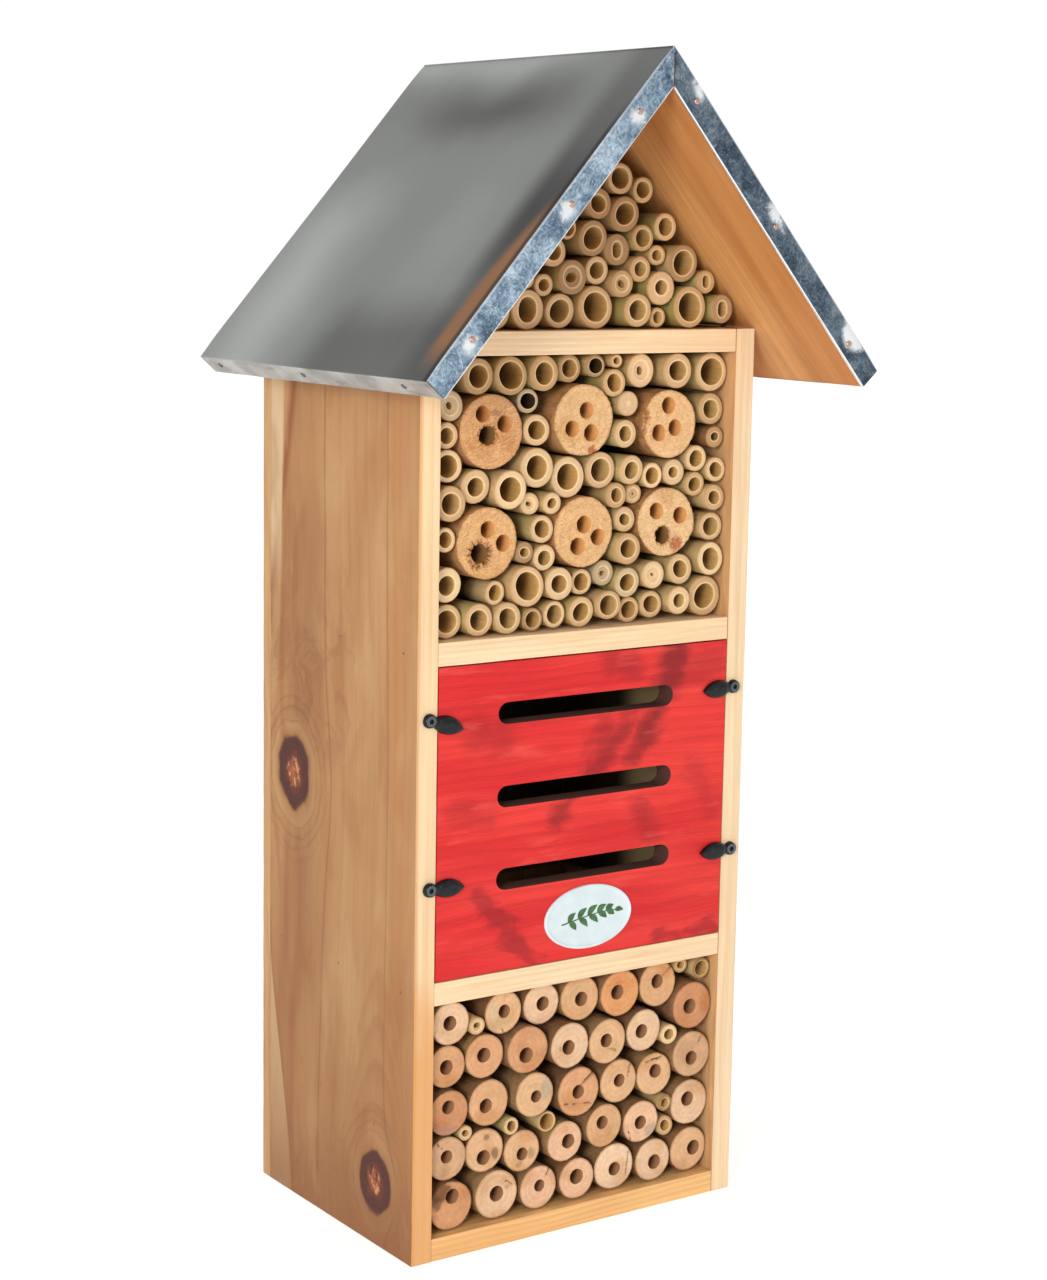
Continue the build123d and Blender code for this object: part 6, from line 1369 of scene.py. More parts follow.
def chunk(B, x, z, R, holes, recess, depth, seed, tone, barkc, log=False, cracks=(), stains=(), torn=(), lumps=0.035,
          borec=(176, 128, 90), scar=()):
    """A sawn piece of stem or log with drilled blind holes.

    cracks: (x1, z1, x2, z2, half width, depth); stains: (x, z, rx, rz, colour, strength);
    torn: (hole number, reach, depth); scar: stains that also sink in."""
    rnd = random.Random(seed * 101 + 7)
    y0 = FRONT + recess
    tx, tz = rnd.uniform(-0.03, 0.03), rnd.uniform(-0.03, 0.03)
    gap = 0.95 if log else 0.85
    no = 96 if log else 72
    base = lin(*tone)[:3]
    barkl = lin(*barkc)[:3]
    borel = lin(*borec)[:3]

    def outline(t):
        k = noise.noise(Vector((1.3 * math.cos(t) + seed * 2.1, 1.3 * math.sin(t), seed * 0.7)))
        k2 = noise.noise(Vector((5.0 * math.cos(t) + seed * 2.1, 5.0 * math.sin(t), seed * 0.3)))
        k3 = noise.noise(Vector((13.0 * math.cos(t) + seed * 1.1, 13.0 * math.sin(t), seed * 0.9)))
        return R * (1 - lumps * (0.5 + 0.5 * k) - lumps * 0.34 * (0.5 + 0.5 * k2) - (0.016 if log else 0.008) * (0.5 + 0.5 * k3))

    nh = [28 if log else 26] * len(holes)

    def hole_r(h, t):
        hx, hz, hr = holes[h]
        w = noise.noise(Vector((2.0 * math.cos(t) + seed, 2.0 * math.sin(t), h + seed * 0.37)))
        k = 1 + 0.03 * w
        for (ti, reach, dd) in torn:
            if ti == h:
                w2 = noise.noise(Vector((4.5 * math.cos(t) + seed, 4.5 * math.sin(t), 3.0 + h)))
                k += 0.14 * w2
        return hr * k

    loops, verts2 = [], []
    o_idx = []
    for i in range(no):
        t = 2 * math.pi * i / no
        r = outline(t)
        o_idx.append(len(verts2))
        verts2.append((r * math.cos(t), r * math.sin(t)))
    h_idx = []
    for h, (hx, hz, hr) in enumerate(holes):
        ids = []
        for i in range(nh[h]):
            t = 2 * math.pi * i / nh[h]
            r = hole_r(h, t)
            ids.append(len(verts2))
            verts2.append((hx + r * math.cos(t), hz + r * math.sin(t)))
        h_idx.append(ids)
    dense = [(holes[ti][0], holes[ti][1], holes[ti][2] + reach + 1.0, 0.5) for (ti, reach, dd) in torn]
    keep = [(hx, hz, hr * 1.02) for hx, hz, hr in holes]
    inner = disc_points(R, keep, outline, gap, seed, dense)
    allp = [Vector(p) for p in verts2] + [Vector(p) for p in inner]
    edges = [(o_idx[i], o_idx[(i + 1) % no]) for i in range(no)]
    for ids in h_idx:
        edges += [(ids[i], ids[(i + 1) % len(ids)]) for i in range(len(ids))]
    vo, eo, fo, ov, oe, of_ = delaunay_2d_cdt(allp, edges, [], 0, 1e-5, True)
    # map the new vertices back to the outline and hole inputs
    height_at = {}
    ids3 = []
    ring_out = [None] * no
    ring_hole = [[None] * len(ids) for ids in h_idx]
    for i, p in enumerate(vo):
        px, pz = p.x, p.y
        t = math.atan2(pz, px)
        rr = math.hypot(px, pz)
        edge = max(0.0, outline(t) - rr)
        nn = noise.noise(Vector((px * 0.18 + seed, pz * 0.18, 1.0)))
        fz = noise.noise(Vector((px * 0.95 + seed, pz * 0.95, 2.0)))
        f2 = noise.noise(Vector((px * 2.3 + seed, pz * 2.3, 4.0)))
        diag = noise.noise(Vector(((px + 0.5 * pz) * 0.09, (0.5 * px - pz) * 0.9, seed)))
        dy = tx * px + tz * pz + 0.16 * nn + (0.42 if log else 0.12) * fz + (0.26 if log else 0.07) * f2 + (0.05 if log else 0.13) * diag
        c = [base[0], base[1], base[2]]
        shade = 1 + 0.09 * nn + 0.05 * fz + 0.05 * diag

        def blend(to, k):
            for q in range(3):
                c[q] = c[q] * (1 - k) + to[q] * k

        # darker heart and paler sapwood
        heart = noise.noise(Vector((px * 0.07 + seed * 1.3, pz * 0.07, 9.0)))
        if heart > 0.05:
            blend((base[0] * 0.86, base[1] * 0.76, base[2] * 0.66), min(1.0, (heart - 0.05) * 2.2))
        if edge < 1.1:
            blend(barkl, (1 - edge / 1.1) ** 1.6 * 0.75)
            dy += (1 - edge / 1.1) ** 2 * (0.35 + 0.3 * max(0.0, fz))
        for (x1, z1, x2, z2, hw, dd) in cracks:
            wob = 0.5 * noise.noise(Vector((px * 0.5 + seed, pz * 0.5, 5.0)))
            d, tt = seg_dist(px + wob, pz + wob, x1, z1, x2, z2)
            w = hw * (0.35 + 0.65 * tt)
            k = math.exp(-(d / w) ** 2)
            dy += dd * k
            blend(lin(70, 40, 24)[:3], min(0.85, k * 0.9))
        for (sx, sz, rx, rz, sc, sk) in stains:
            q = math.hypot((px - sx) / rx, (pz - sz) / rz) + 0.35 * noise.noise(Vector((px * 0.35 + seed, pz * 0.35, 6.0)))
            k = sk * (1 - sstep(0.6, 1.1, q))
            blend(lin(*sc)[:3], k)
        for (sx, sz, rx, rz, sc, sk) in scar:
            q = math.hypot((px - sx) / rx, (pz - sz) / rz) + 0.35 * fz
            k = sk * (1 - sstep(0.7, 1.0, q))
            blend(lin(*sc)[:3], k)
            dy += 1.2 * k
        for (ti, reach, dd) in torn:
            hx, hz, hr = holes[ti]
            d = math.hypot(px - hx, pz - hz) - hr
            a = math.atan2(pz - hz, px - hx)
            spikes = noise.noise(Vector((7.0 * math.cos(a) + seed, 7.0 * math.sin(a), 0.12 * d)))
            ext = reach * (0.35 + 0.9 * max(0.0, 0.5 + 0.5 * noise.noise(Vector((1.2 * math.cos(a) + seed, 1.2 * math.sin(a), 8.0)))))
            if d < ext:
                k = (1 - max(0.0, d) / ext)
                blend(lin(168, 92, 48)[:3], 0.5 * k)
                cut = max(0.0, spikes + 0.12) * 2.4
                dy += dd * min(1.0, k * 1.3) * min(1.0, cut)
                blend(lin(92, 44, 22)[:3], min(0.9, k * cut * 1.25))
                if cut <= 0.0:
                    blend(lin(226, 150, 92)[:3], 0.4 * k)
        for h, (hx, hz, hr) in enumerate(holes):
            d = math.hypot(px - hx, pz - hz) - hr
            if d < 0.5:
                dy += 0.18 * (1 - max(0.0, d) / 0.5)
                blend((base[0] * 1.05, base[1] * 0.98, base[2] * 0.86), 0.4 * (1 - max(0.0, d) / 0.5))
        vi = B.vert((x + px, max(y0 + dy, FRONT + 0.4), z + pz), tone=tuple(v * shade for v in c), rad=rr / R, dep=0.0,
                    bore=borel, skin=barkl)
        ids3.append(vi)
        for src in ov[i]:
            if src < no:
                ring_out[src] = vi
            else:
                for h, ids in enumerate(h_idx):
                    if ids[0] <= src <= ids[-1]:
                        ring_hole[h][src - ids[0]] = vi
    for f in fo:
        cx = sum(vo[i].x for i in f) / len(f)
        cz = sum(vo[i].y for i in f) / len(f)
        t = math.atan2(cz, cx)
        if math.hypot(cx, cz) > outline(t) + 1e-4 and math.hypot(cx, cz) > R * 0.9:
            pass
        bad = False
        for h, (hx, hz, hr) in enumerate(holes):
            a = math.atan2(cz - hz, cx - hx)
            if math.hypot(cx - hx, cz - hz) < hole_r(h, a) * 0.985 and all(any(s in range(h_idx[h][0], h_idx[h][-1] + 1) for s in ov[i]) for i in f):
                bad = True
        if bad:
            continue
        # hull slivers outside the outline: all three corners on it and the middle outside
        if all(any(s < no for s in ov[i]) for i in f) and math.hypot(cx, cz) > outline(t) - 1e-6:
            continue
        B.face(tuple(ids3[i] for i in f), 0)
    # drilled walls
    for h, (hx, hz, hr) in enumerate(holes):
        prev = ring_hole[h]
        nn = len(prev)
        hb = tuple(c * 0.30 for c in borel) if any(ti == h for ti, _, _ in torn) else borel
        for dd in (0.8, 2.4, 6.0, 14.0, 30.0, depth):
            ring = []
            for i in range(nn):
                t = 2 * math.pi * i / nn
                r = hole_r(h, t) * (1 - 0.012 * (dd > 1)) * (0.9 if (torn and any(ti == h for ti, _, _ in torn) and dd > 2) else 1.0)
                ring.append(B.vert((x + hx + r * math.cos(t), y0 + dd + tx * hx + tz * hz, z + hz + r * math.sin(t)),
                                   tone=base, rad=0.5, dep=dd, bore=hb, skin=barkl))
            B.bridge(prev, ring, 1)
            prev = ring
        c = B.vert((x + hx, y0 + depth + 1.5, z + hz), tone=base, rad=0.5, dep=90.0, bore=borel, skin=barkl)
        B.fan(prev, c, 1)
    # bark and the hidden end
    prev = ring_out
    for yy, k in ((y0 + 1.4, 0), (y0 + 4.0, 1), (y0 + 10.0, 2), (y0 + 24.0, 3), (y0 + 60.0, 4), (TUBE_BACK - 0.6, 5), (TUBE_BACK, 6)):
        ring = []
        for i in range(no):
            t = 2 * math.pi * i / no
            r = outline(t)
            if k >= 2:
                r = R * (1 - lumps * (0.5 + 0.5 * noise.noise(Vector((1.3 * math.cos(t) + seed * 2.1, 1.3 * math.sin(t), seed * 0.7 + k * 0.25)))) -
                         0.012 * (0.5 + 0.5 * noise.noise(Vector((6 * math.cos(t), 6 * math.sin(t), k * 2.0 + seed)))))
            if k == 6:
                r -= 0.5
            ring.append(B.vert((x + r * math.cos(t), yy, z + r * math.sin(t)), tone=base, rad=1.0, dep=0.0, bore=borel, skin=barkl))
        B.bridge(prev, ring, 2)
        prev = ring
    c = B.vert((x, TUBE_BACK, z), tone=base, rad=0.0, dep=0.0, bore=borel, skin=barkl)
    B.fan(prev, c, 0)


STEM_TONES = {
    "a": (229, 193, 158),
    "b": (222, 184, 148),
    "c": (223, 178, 142),
    "d": (217, 172, 129),
    "e": (212, 163, 119),
    "f": (211, 157, 114),
    "g": (206, 150, 107),
    "h": (214, 150, 99),
    "i": (203, 159, 121),
    "j": (197, 139, 97),
}
STEM_ROW_TONES = {1: "gbccabd", 2: "iddcecb", 3: "jedfddi", 4: "ffgbdbj", 5: "bdbehe"}

BARKS = ((150, 112, 76), (138, 98, 64), (158, 122, 82), (128, 92, 62), (146, 104, 70), (166, 128, 84))
DARKC, GREYC, REDC = (112, 74, 46), (150, 138, 116), (196, 116, 72)
# (row, place): cracks, stains and the like of single stems
CRACKS = {
    (1, 1): ((3.5, 8.0, 9.5, 4.0, 0.35, 0.8),),
    (1, 2): ((4.0, 5.0, 7.5, 9.5, 0.5, 1.2),),
    (1, 4): ((7.0, -10.0, 9.5, 7.0, 0.35, 0.5),),
    (2, 0): ((-3.0, 6.0, -6.0, 9.0, 0.4, 0.7),),
    (2, 5): ((-8.0, -4.0, -6.0, -9.0, 0.45, 0.9),),
    (3, 3): ((1.0, 2.5, 10.5, 9.5, 0.75, 2.0), (-9.0, -5.0, 8.0, -7.5, 0.3, 0.5)),
    (3, 4): ((6.0, 2.0, 7.5, 8.0, 0.5, 1.0),),
    (3, 5): ((-5.0, 7.5, 5.0, 8.5, 0.55, 1.3),),
    (3, 6): ((3.0, 4.0, 7.0, 9.0, 0.5, 0.9),),
    (4, 4): ((1.0, -4.0, 6.0, -6.0, 0.45, 0.9),),
    (5, 5): ((2.0, 3.0, 9.0, 8.0, 0.4, 0.8),),
    (5, 1): ((-1.0, -8.0, 1.0, -11.0, 0.4, 0.8),),
}
STAINS = {
    (1, 0): ((-7.0, 8.0, 8.5, 6.0, (112, 74, 44), 0.9), (-9.0, 3.0, 4.0, 4.5, (92, 60, 38), 0.7)),
    (1, 1): ((6.5, 3.0, 1.6, 1.4, (176, 132, 88), 0.7),),
    (2, 1): ((1.0, 7.0, 2.0, 1.8, (120, 100, 70), 0.75), (6.5, -2.5, 2.6, 3.6, (118, 92, 60), 0.75)),
    (2, 2): ((6.0, -2.0, 2.5, 3.5, (150, 122, 84), 0.6), (-2.0, -7.0, 2.5, 1.6, (156, 118, 78), 0.5)),
    (2, 5): ((7.0, -6.0, 5.0, 4.0, (160, 150, 128), 0.6),),
    (2, 4): ((7.5, 0.0, 3.0, 6.0, (196, 168, 124), 0.5),),
    (3, 0): ((-2.0, -9.0, 9.0, 3.5, (170, 126, 110), 0.6),),
    (3, 1): ((2.0, 4.0, 7.0, 2.0, (190, 150, 104), 0.5),),
    (3, 2): ((7.0, 2.0, 4.5, 7.0, (168, 158, 130), 0.65), (-1.0, 5.0, 3.0, 2.0, (186, 158, 120), 0.5)),
    (3, 4): ((4.0, -2.0, 4.0, 5.0, (196, 160, 116), 0.45),),
    (3, 6): ((-3.0, 2.0, 6.0, 7.0, (190, 156, 118), 0.4),),
    (4, 3): ((-6.0, -1.0, 1.3, 1.5, (190, 140, 100), 0.7),),
    (4, 2): ((2.5, -6.0, 5.0, 4.0, (200, 150, 96), 0.5),),
    (4, 4): ((3.0, -3.0, 5.0, 4.5, (196, 160, 112), 0.5),),
    (5, 1): ((-2.0, -5.0, 7.0, 4.0, (196, 166, 122), 0.55), (-6.0, 2.0, 3.0, 6.0, (202, 184, 150), 0.5)),
    (5, 3): ((-1.0, 3.0, 8.0, 7.0, (198, 168, 128), 0.45),),
    (5, 4): ((3.0, 5.0, 7.0, 3.5, (200, 120, 66), 0.4),),
    (5, 5): ((4.0, 6.0, 5.0, 3.0, (206, 140, 84), 0.5),),
}


def stem_row(k, rows):
    B = Build()
    for i, (x, z, R, dx, dz, rb, rec, dep) in enumerate(rows):
        seed = k * 10 + i
        tone = STEM_TONES[STEM_ROW_TONES[k][i]]
        chunk(B, x, z, R, [(dx, dz, rb)], rec, dep, seed, tone, BARKS[seed % len(BARKS)], cracks=CRACKS.get((k, i), ()),
              stains=STAINS.get((k, i), ()), lumps=0.04)
    ob = B.put("stem_row_%d_look" % k, [STEM_CUT, DRILLED, BARK], sharp=42)
    return finish_piece(ob, "case", "stem_wood", "stem_row_%d" % k)


for k, rows in ((1, stem_row_1_pieces), (2, stem_row_2_pieces), (3, stem_row_3_pieces), (4, stem_row_4_pieces), (5, stem_row_5_pieces)):
    stem_row(k, rows)

LOG_TONES = {
    "log_upper_left": (218, 164, 112),
    "log_upper_centre": (230, 187, 134),
    "log_upper_right": (237, 191, 138),
    "log_lower_left": (225, 173, 117),
    "log_lower_centre": (229, 181, 127),
    "log_lower_right": (234, 192, 141),
}
LOG_EXTRA = {
    "log_upper_left": dict(torn=((2, 1.6, 1.2),), stains=((2.0, 9.0, 7.0, 1.6, (150, 92, 78), 0.5),)),
    "log_upper_centre": dict(scar=((6.0, -15.0, 3.0, 2.4, (190, 96, 44), 0.9),)),
    "log_upper_right": dict(scar=((-15.0, 4.0, 3.0, 5.0, (150, 84, 44), 0.9), (-16.0, -3.0, 2.4, 3.0, (132, 70, 38), 0.8))),
    "log_lower_left": dict(torn=((2, 4.4, 1.9),)),
    "log_lower_centre": dict(),
    "log_lower_right": dict(torn=((2, 1.3, 1.2),), scar=((6.8, -11.5, 4.8, 4.2, (176, 92, 48), 0.85),)),
}
for k, (nm, at, holes) in enumerate((
        ("log_upper_left", log_upper_left_at, log_upper_left_holes), ("log_upper_centre", log_upper_centre_at, log_upper_centre_holes),
        ("log_upper_right", log_upper_right_at, log_upper_right_holes), ("log_lower_left", log_lower_left_at, log_lower_left_holes),
        ("log_lower_centre", log_lower_centre_at, log_lower_centre_holes), ("log_lower_right", log_lower_right_at, log_lower_right_holes))):
    B = Build()
    x, z, R, rec = at
    chunk(B, x, z, R, list(holes), rec, 95.0, 70 + k, LOG_TONES[nm], (190, 138, 88), log=True, lumps=0.055, borec=(236, 174, 106), **LOG_EXTRA[nm])
    finish_piece(B.put(nm + "_look", [LOG_CUT, DRILLED, LOG_BARK], sharp=45), "case", "log_wood", nm)


# ============================================================ roof sheet


def sheet_mesh():
    """One folded sheet: two slopes, rake flanges with a turned-in lip, eave flanges, mitred at the ridge."""
    A = SLOPE + SHEET_T
    ends = 110.0
    # across the slope: (y, down), front lip first; negative down never happens
    flange = [(-108.5, 12.86, 2), (-109.2, 12.96, 2), (-109.75, 12.9, 2), (-109.95, 12.55, 2), (-110.0, 11.8, 2),
              (-110.0, 9.4, 2), (-110.0, 7.0, 2), (-110.0, 4.6, 2), (-110.0, 2.4, 2), (-109.95, 1.1, 2),
              (-109.72, 0.42, 2), (-109.3, 0.1, 1), (-108.6, 0.0, 1)]
    flat = [(-108.6 + 217.2 * i / 76.0, 0.0, 1) for i in range(1, 76)]
    cols = flange + flat + [(-y, d, m) for (y, d, m) in flange[::-1]]
    n_f = len(flange)
    first_flat, last_flat = n_f - 2, len(cols) - n_f + 1
    rows = [0.0, 0.5, 1.1, 2.0, 3.5, 6.0] + [6.0 + (A - 9.0) * i / 66.0 for i in range(1, 67)] + [A - 1.6, A - 0.8, A - 0.35]
    B = Build()
    nails = {-1: LEFT_NAILS, 1: RIGHT_NAILS}
    for s in (-1, 1):
        grid = []
        for ri, a in enumerate(rows):
            line = []
            for ci, (y, d, mt) in enumerate(cols):
                aa = a
                slit = (SLIT / 2) * sstep(1.5, 4.0, d)
                lim = (slit + d * SA) / CA
                aa = max(a, lim + 0.02 * ri if a < lim else a)
                aa = min(aa, A - 0.1) if mt == 2 else aa
                # soft ridge fold
                lower = 0.0
                if d < 0.2:
                    lower = 0.55 * math.exp(-(a / 1.6) ** 2)
                # gentle waves of the hand-folded sheet, upwards only
                up = 0.0
                if mt == 1:
                    w = 0.5 + 0.5 * noise.noise(Vector((a * 0.012 + s * 3, y * 0.014, 2.0)))
                    w2 = 0.5 + 0.5 * noise.noise(Vector((a * 0.05 + s * 3, y * 0.045, 5.0)))
                    fade = sstep(0, 14, a) * sstep(0, 14, A - a)
                    up = (0.55 * w + 0.10 * w2) * fade
                out = 0.0
                if mt == 2 and 0.6 < d < 12.7:
                    w = noise.noise(Vector((a * 0.035 + s * 7 + (5 if y > 0 else 0), d * 0.12, 3.0)))
                    out = 0.16 * (0.5 + 0.5 * w)
                    for an in nails[s]:
                        q = math.hypot(a - an, d - NAIL_DOWN)
                        out -= 0.30 * math.exp(-(q / 3.2) ** 2)
                dd = d
                if mt == 2 and d > 11.5:
                    dd = d + 0.16 * noise.noise(Vector((a * 0.06 + s * 5, y * 0.01, 8.0)))
                x, z = slope_point(s, aa, dd + lower - up)
                yy = y + (-out if y < 0 else out)
                line.append(B.vert((x, yy, z)))
            grid.append(line)
        for ri in range(len(rows) - 1):
            for ci in range(len(cols) - 1):
                mt = 1 if (cols[ci][2] == 2 or cols[ci + 1][2] == 2) else 0
                q = (grid[ri][ci], grid[ri][ci + 1], grid[ri + 1][ci + 1], grid[ri + 1][ci])
                B.face(q if s > 0 else q[::-1], mt)
        # eave flange, folded square to the slope, its ends tucked behind the rake flanges
        prev = grid[-1][first_flat:last_flat + 1]
        drops = [(A - 0.1, 0.12), (A, 0.5), (A, 1.3), (A, 2.6), (A, 4.2), (A, 6.2), (A, 8.2), (A, 10.2), (A, 11.6), (A - 0.05, 12.0)]
        for k, (aa, d) in enumerate(drops):
            line = []
            for ci in range(first_flat, last_flat + 1):
                y = cols[ci][0]
                yy = y if abs(y) < 108 else math.copysign(109.2, y)
                inn = 0.0
                for yn in EAVE_NAIL_Y:
                    q = math.hypot(yy - (FRONT + yn), d - NAIL_DOWN)
                    inn += 0.42 * math.exp(-(q / 3.4) ** 2)
                w = noise.noise(Vector((yy * 0.03 + s * 4, d * 0.08, 6.0)))
                outw = 0.32 * (0.5 + 0.5 * w) * sstep(0.5, 3.0, d)
                dl = d + (0.22 * noise.noise(Vector((yy * 0.05, s * 3.0, 1.0))) if k >= 8 else 0.0)
                # the ragged snipped corner that hangs at the front of the left eave
                if s < 0 and k >= 8 and yy < -103.0:
                    dl += 2.2 * sstep(-103.0, -109.2, yy) + (0.8 if yy < -108 else 0.0)
                x, z = slope_point(s, aa - inn + outw, dl)
                line.append(B.vert((x, yy, z)))
            for ci in range(len(line) - 1):
                q = (prev[ci], prev[ci + 1], line[ci + 1], line[ci])
                B.face(q if s > 0 else q[::-1], 2 if k > 1 else 0)
            prev = line
    ob = B.put("roof_metal_sheet_look", [ZINC, FLANGE, EAVE_ZINC], sharp=None, fix=False)
    bm = bmesh.new()
    bm.from_mesh(ob.data)
    bmesh.ops.remove_doubles(bm, verts=bm.verts, dist=0.00004)
    bmesh.ops.dissolve_degenerate(bm, edges=bm.edges, dist=0.00002)
    bmesh.ops.recalc_face_normals(bm, faces=bm.faces)
    # outward means up at the slopes
    upz = sum(f.normal.z * f.calc_area() for f in bm.faces if abs(f.calc_center_median().y) < 0.1)
    if upz < 0:
        bmesh.ops.reverse_faces(bm, faces=bm.faces)
    bm.to_mesh(ob.data)
    bm.free()
    md = ob.modifiers.new("thickness", "SOLIDIFY")
    md.thickness = 0.45 * MM
    md.offset = -1.0
    md.use_even_offset = False
    md.use_rim = True
    apply_mods(ob)
    ob.data.set_sharp_from_angle(angle=math.radians(38))
    return finish_piece(ob, "case", "galvanised_sheet", "roof_metal_sheet")


def eave_zinc():
    N = Net("galvanised_eave")
    n = N.noise(N.P, 0.05, 3.0, 0.6)
    n2 = N.noise(N.P, 0.5, 4.0, 0.65)
    col = N.mix(N.step(n, 0.3, 0.7), lin(150, 146, 140), lin(186, 184, 178))
    col = N.gain(col, N.add(0.9, N.mul(n2, 0.2)))
    dark = N.noise(N.scale(0.02, 0.06, 0.3), 1.0, 3.0, 0.6)
    col = N.mix(N.step(dark, 0.56, 0.7, 0.0, 0.4), col, lin(104, 98, 92))
    return N.end(col, N.add(0.34, N.mul(n2, 0.16)), N.bump(N.add(n, n2), 0.2, 0.3), Metallic=0.8)


EAVE_ZINC = eave_zinc()
sheet_mesh()

# ============================================================ nails


def revolve(B, origin, axis, profile, n=20, mat=0, squash=1.0, seed=0, lump=0.0):
    """profile: (radius, height along axis), from the bottom centre to the top centre."""
    axis = Vector(axis).normalized()
    side = axis.orthogonal().normalized()
    other = axis.cross(side)
    rings = []
    for k, (r, h) in enumerate(profile):
        c = Vector(origin) + axis * h
        if r < 1e-6:
            rings.append([B.vert(tuple(c))])
            continue
        ring = []
        for i in range(n):
            t = 2 * math.pi * i / n
            w = 1 + lump * noise.noise(Vector((1.5 * math.cos(t) + seed, 1.5 * math.sin(t), h)))
            p = c + side * (r * w * math.cos(t)) + other * (r * w * squash * math.sin(t))
            ring.append(B.vert(tuple(p)))
        rings.append(ring)
    for a, b in zip(rings, rings[1:]):
        if len(a) == 1 and len(b) > 1:
            B.fan(b, a[0], mat, flip=True)
        elif len(b) == 1 and len(a) > 1:
            B.fan(a, b[0], mat)
        else:
            B.bridge(a, b, mat)


def head_profile(r, h, shank_r, shank_len):
    return [(0, -shank_len), (shank_r * 0.5, -shank_len + 1.2), (shank_r, -shank_len + 2.4), (shank_r, -0.1), (r * 0.96, -0.05),
            (r, h * 0.12), (r * 0.98, h * 0.34), (r * 0.88, h * 0.62), (r * 0.66, h * 0.86), (r * 0.36, h * 0.97), (0, h)]


for node, y, d in (("front_rake_nails", -110.0, -1), ("back_rake_nails", 110.0, 1)):
    B = Build()
    for s, pts in ((-1, LEFT_NAILS), (1, RIGHT_NAILS)):
        for k, an in enumerate(pts):
            x, z = slope_point(s, an, NAIL_DOWN)
            tip = 0.06 * ((k * 7 + s) % 3 - 1)
            revolve(B, (x, y, z), (tip, d, 0.05 * s), head_profile(1.6, 0.72, 0.68, 13.5), n=24, seed=k + s, lump=0.04)
    finish_piece(B.put(node + "_look", [NAIL], sharp=50), "case", "nail_steel", node)

B = Build()
for s in (-1, 1):
    for k, yn in enumerate(EAVE_NAIL_Y):
        x, z = slope_point(s, SLOPE + SHEET_T - 0.25, NAIL_DOWN)
        revolve(B, (x, FRONT + yn, z), (s * CA, 0.05 * (k - 1), -SA), head_profile(1.6, 0.7, 0.68, 13.0), n=24, seed=k + 9 * s, lump=0.05)
finish_piece(B.put("eave_nails_look", [EAVE_NAIL], sharp=50), "case", "nail_steel", "eave_nails")

# ============================================================ turn buttons


def arc3(p, q, r, n):
    """n points of the circle through three points, from p towards r, without r."""
    ax, ay = p
    bx, by = q
    cx, cy = r
    d = 2 * (ax * (by - cy) + bx * (cy - ay) + cx * (ay - by))
    ux = ((ax * ax + ay * ay) * (by - cy) + (bx * bx + by * by) * (cy - ay) + (cx * cx + cy * cy) * (ay - by)) / d
    uy = ((ax * ax + ay * ay) * (cx - bx) + (bx * bx + by * by) * (ax - cx) + (cx * cx + cy * cy) * (bx - ax)) / d
    R = math.hypot(ax - ux, ay - uy)
    t0, t1, t2 = (math.atan2(yy - uy, xx - ux) for xx, yy in (p, q, r))
    if (t1 - t0) % (2 * math.pi) < (t2 - t0) % (2 * math.pi):
        span = (t2 - t0) % (2 * math.pi)
    else:
        span = -((t0 - t2) % (2 * math.pi))
    return [(ux + R * math.cos(t0 + span * i / n), uy + R * math.sin(t0 + span * i / n)) for i in range(n)]


def button_outline():
    up = arc3((2.6, 2.0), (11.2, 4.7), (20.2, 0.0), 40)
    dn = arc3((20.2, 0.0), (11.2, -4.7), (2.6, -2.0), 40)
    blade = up + dn + [(2.6, -2.0)]
    # where the blade meets the boss
    keep = [p for p in blade if math.hypot(*p) > 3.72]
    t_up = math.atan2(keep[0][1], keep[0][0])
    t_dn = math.atan2(keep[-1][1], keep[-1][0]) % (2 * math.pi)
    boss = [(3.7 * math.cos(t), 3.7 * math.sin(t)) for t in np.linspace(t_dn, t_up, 44)]
    return keep + boss[1:-1]


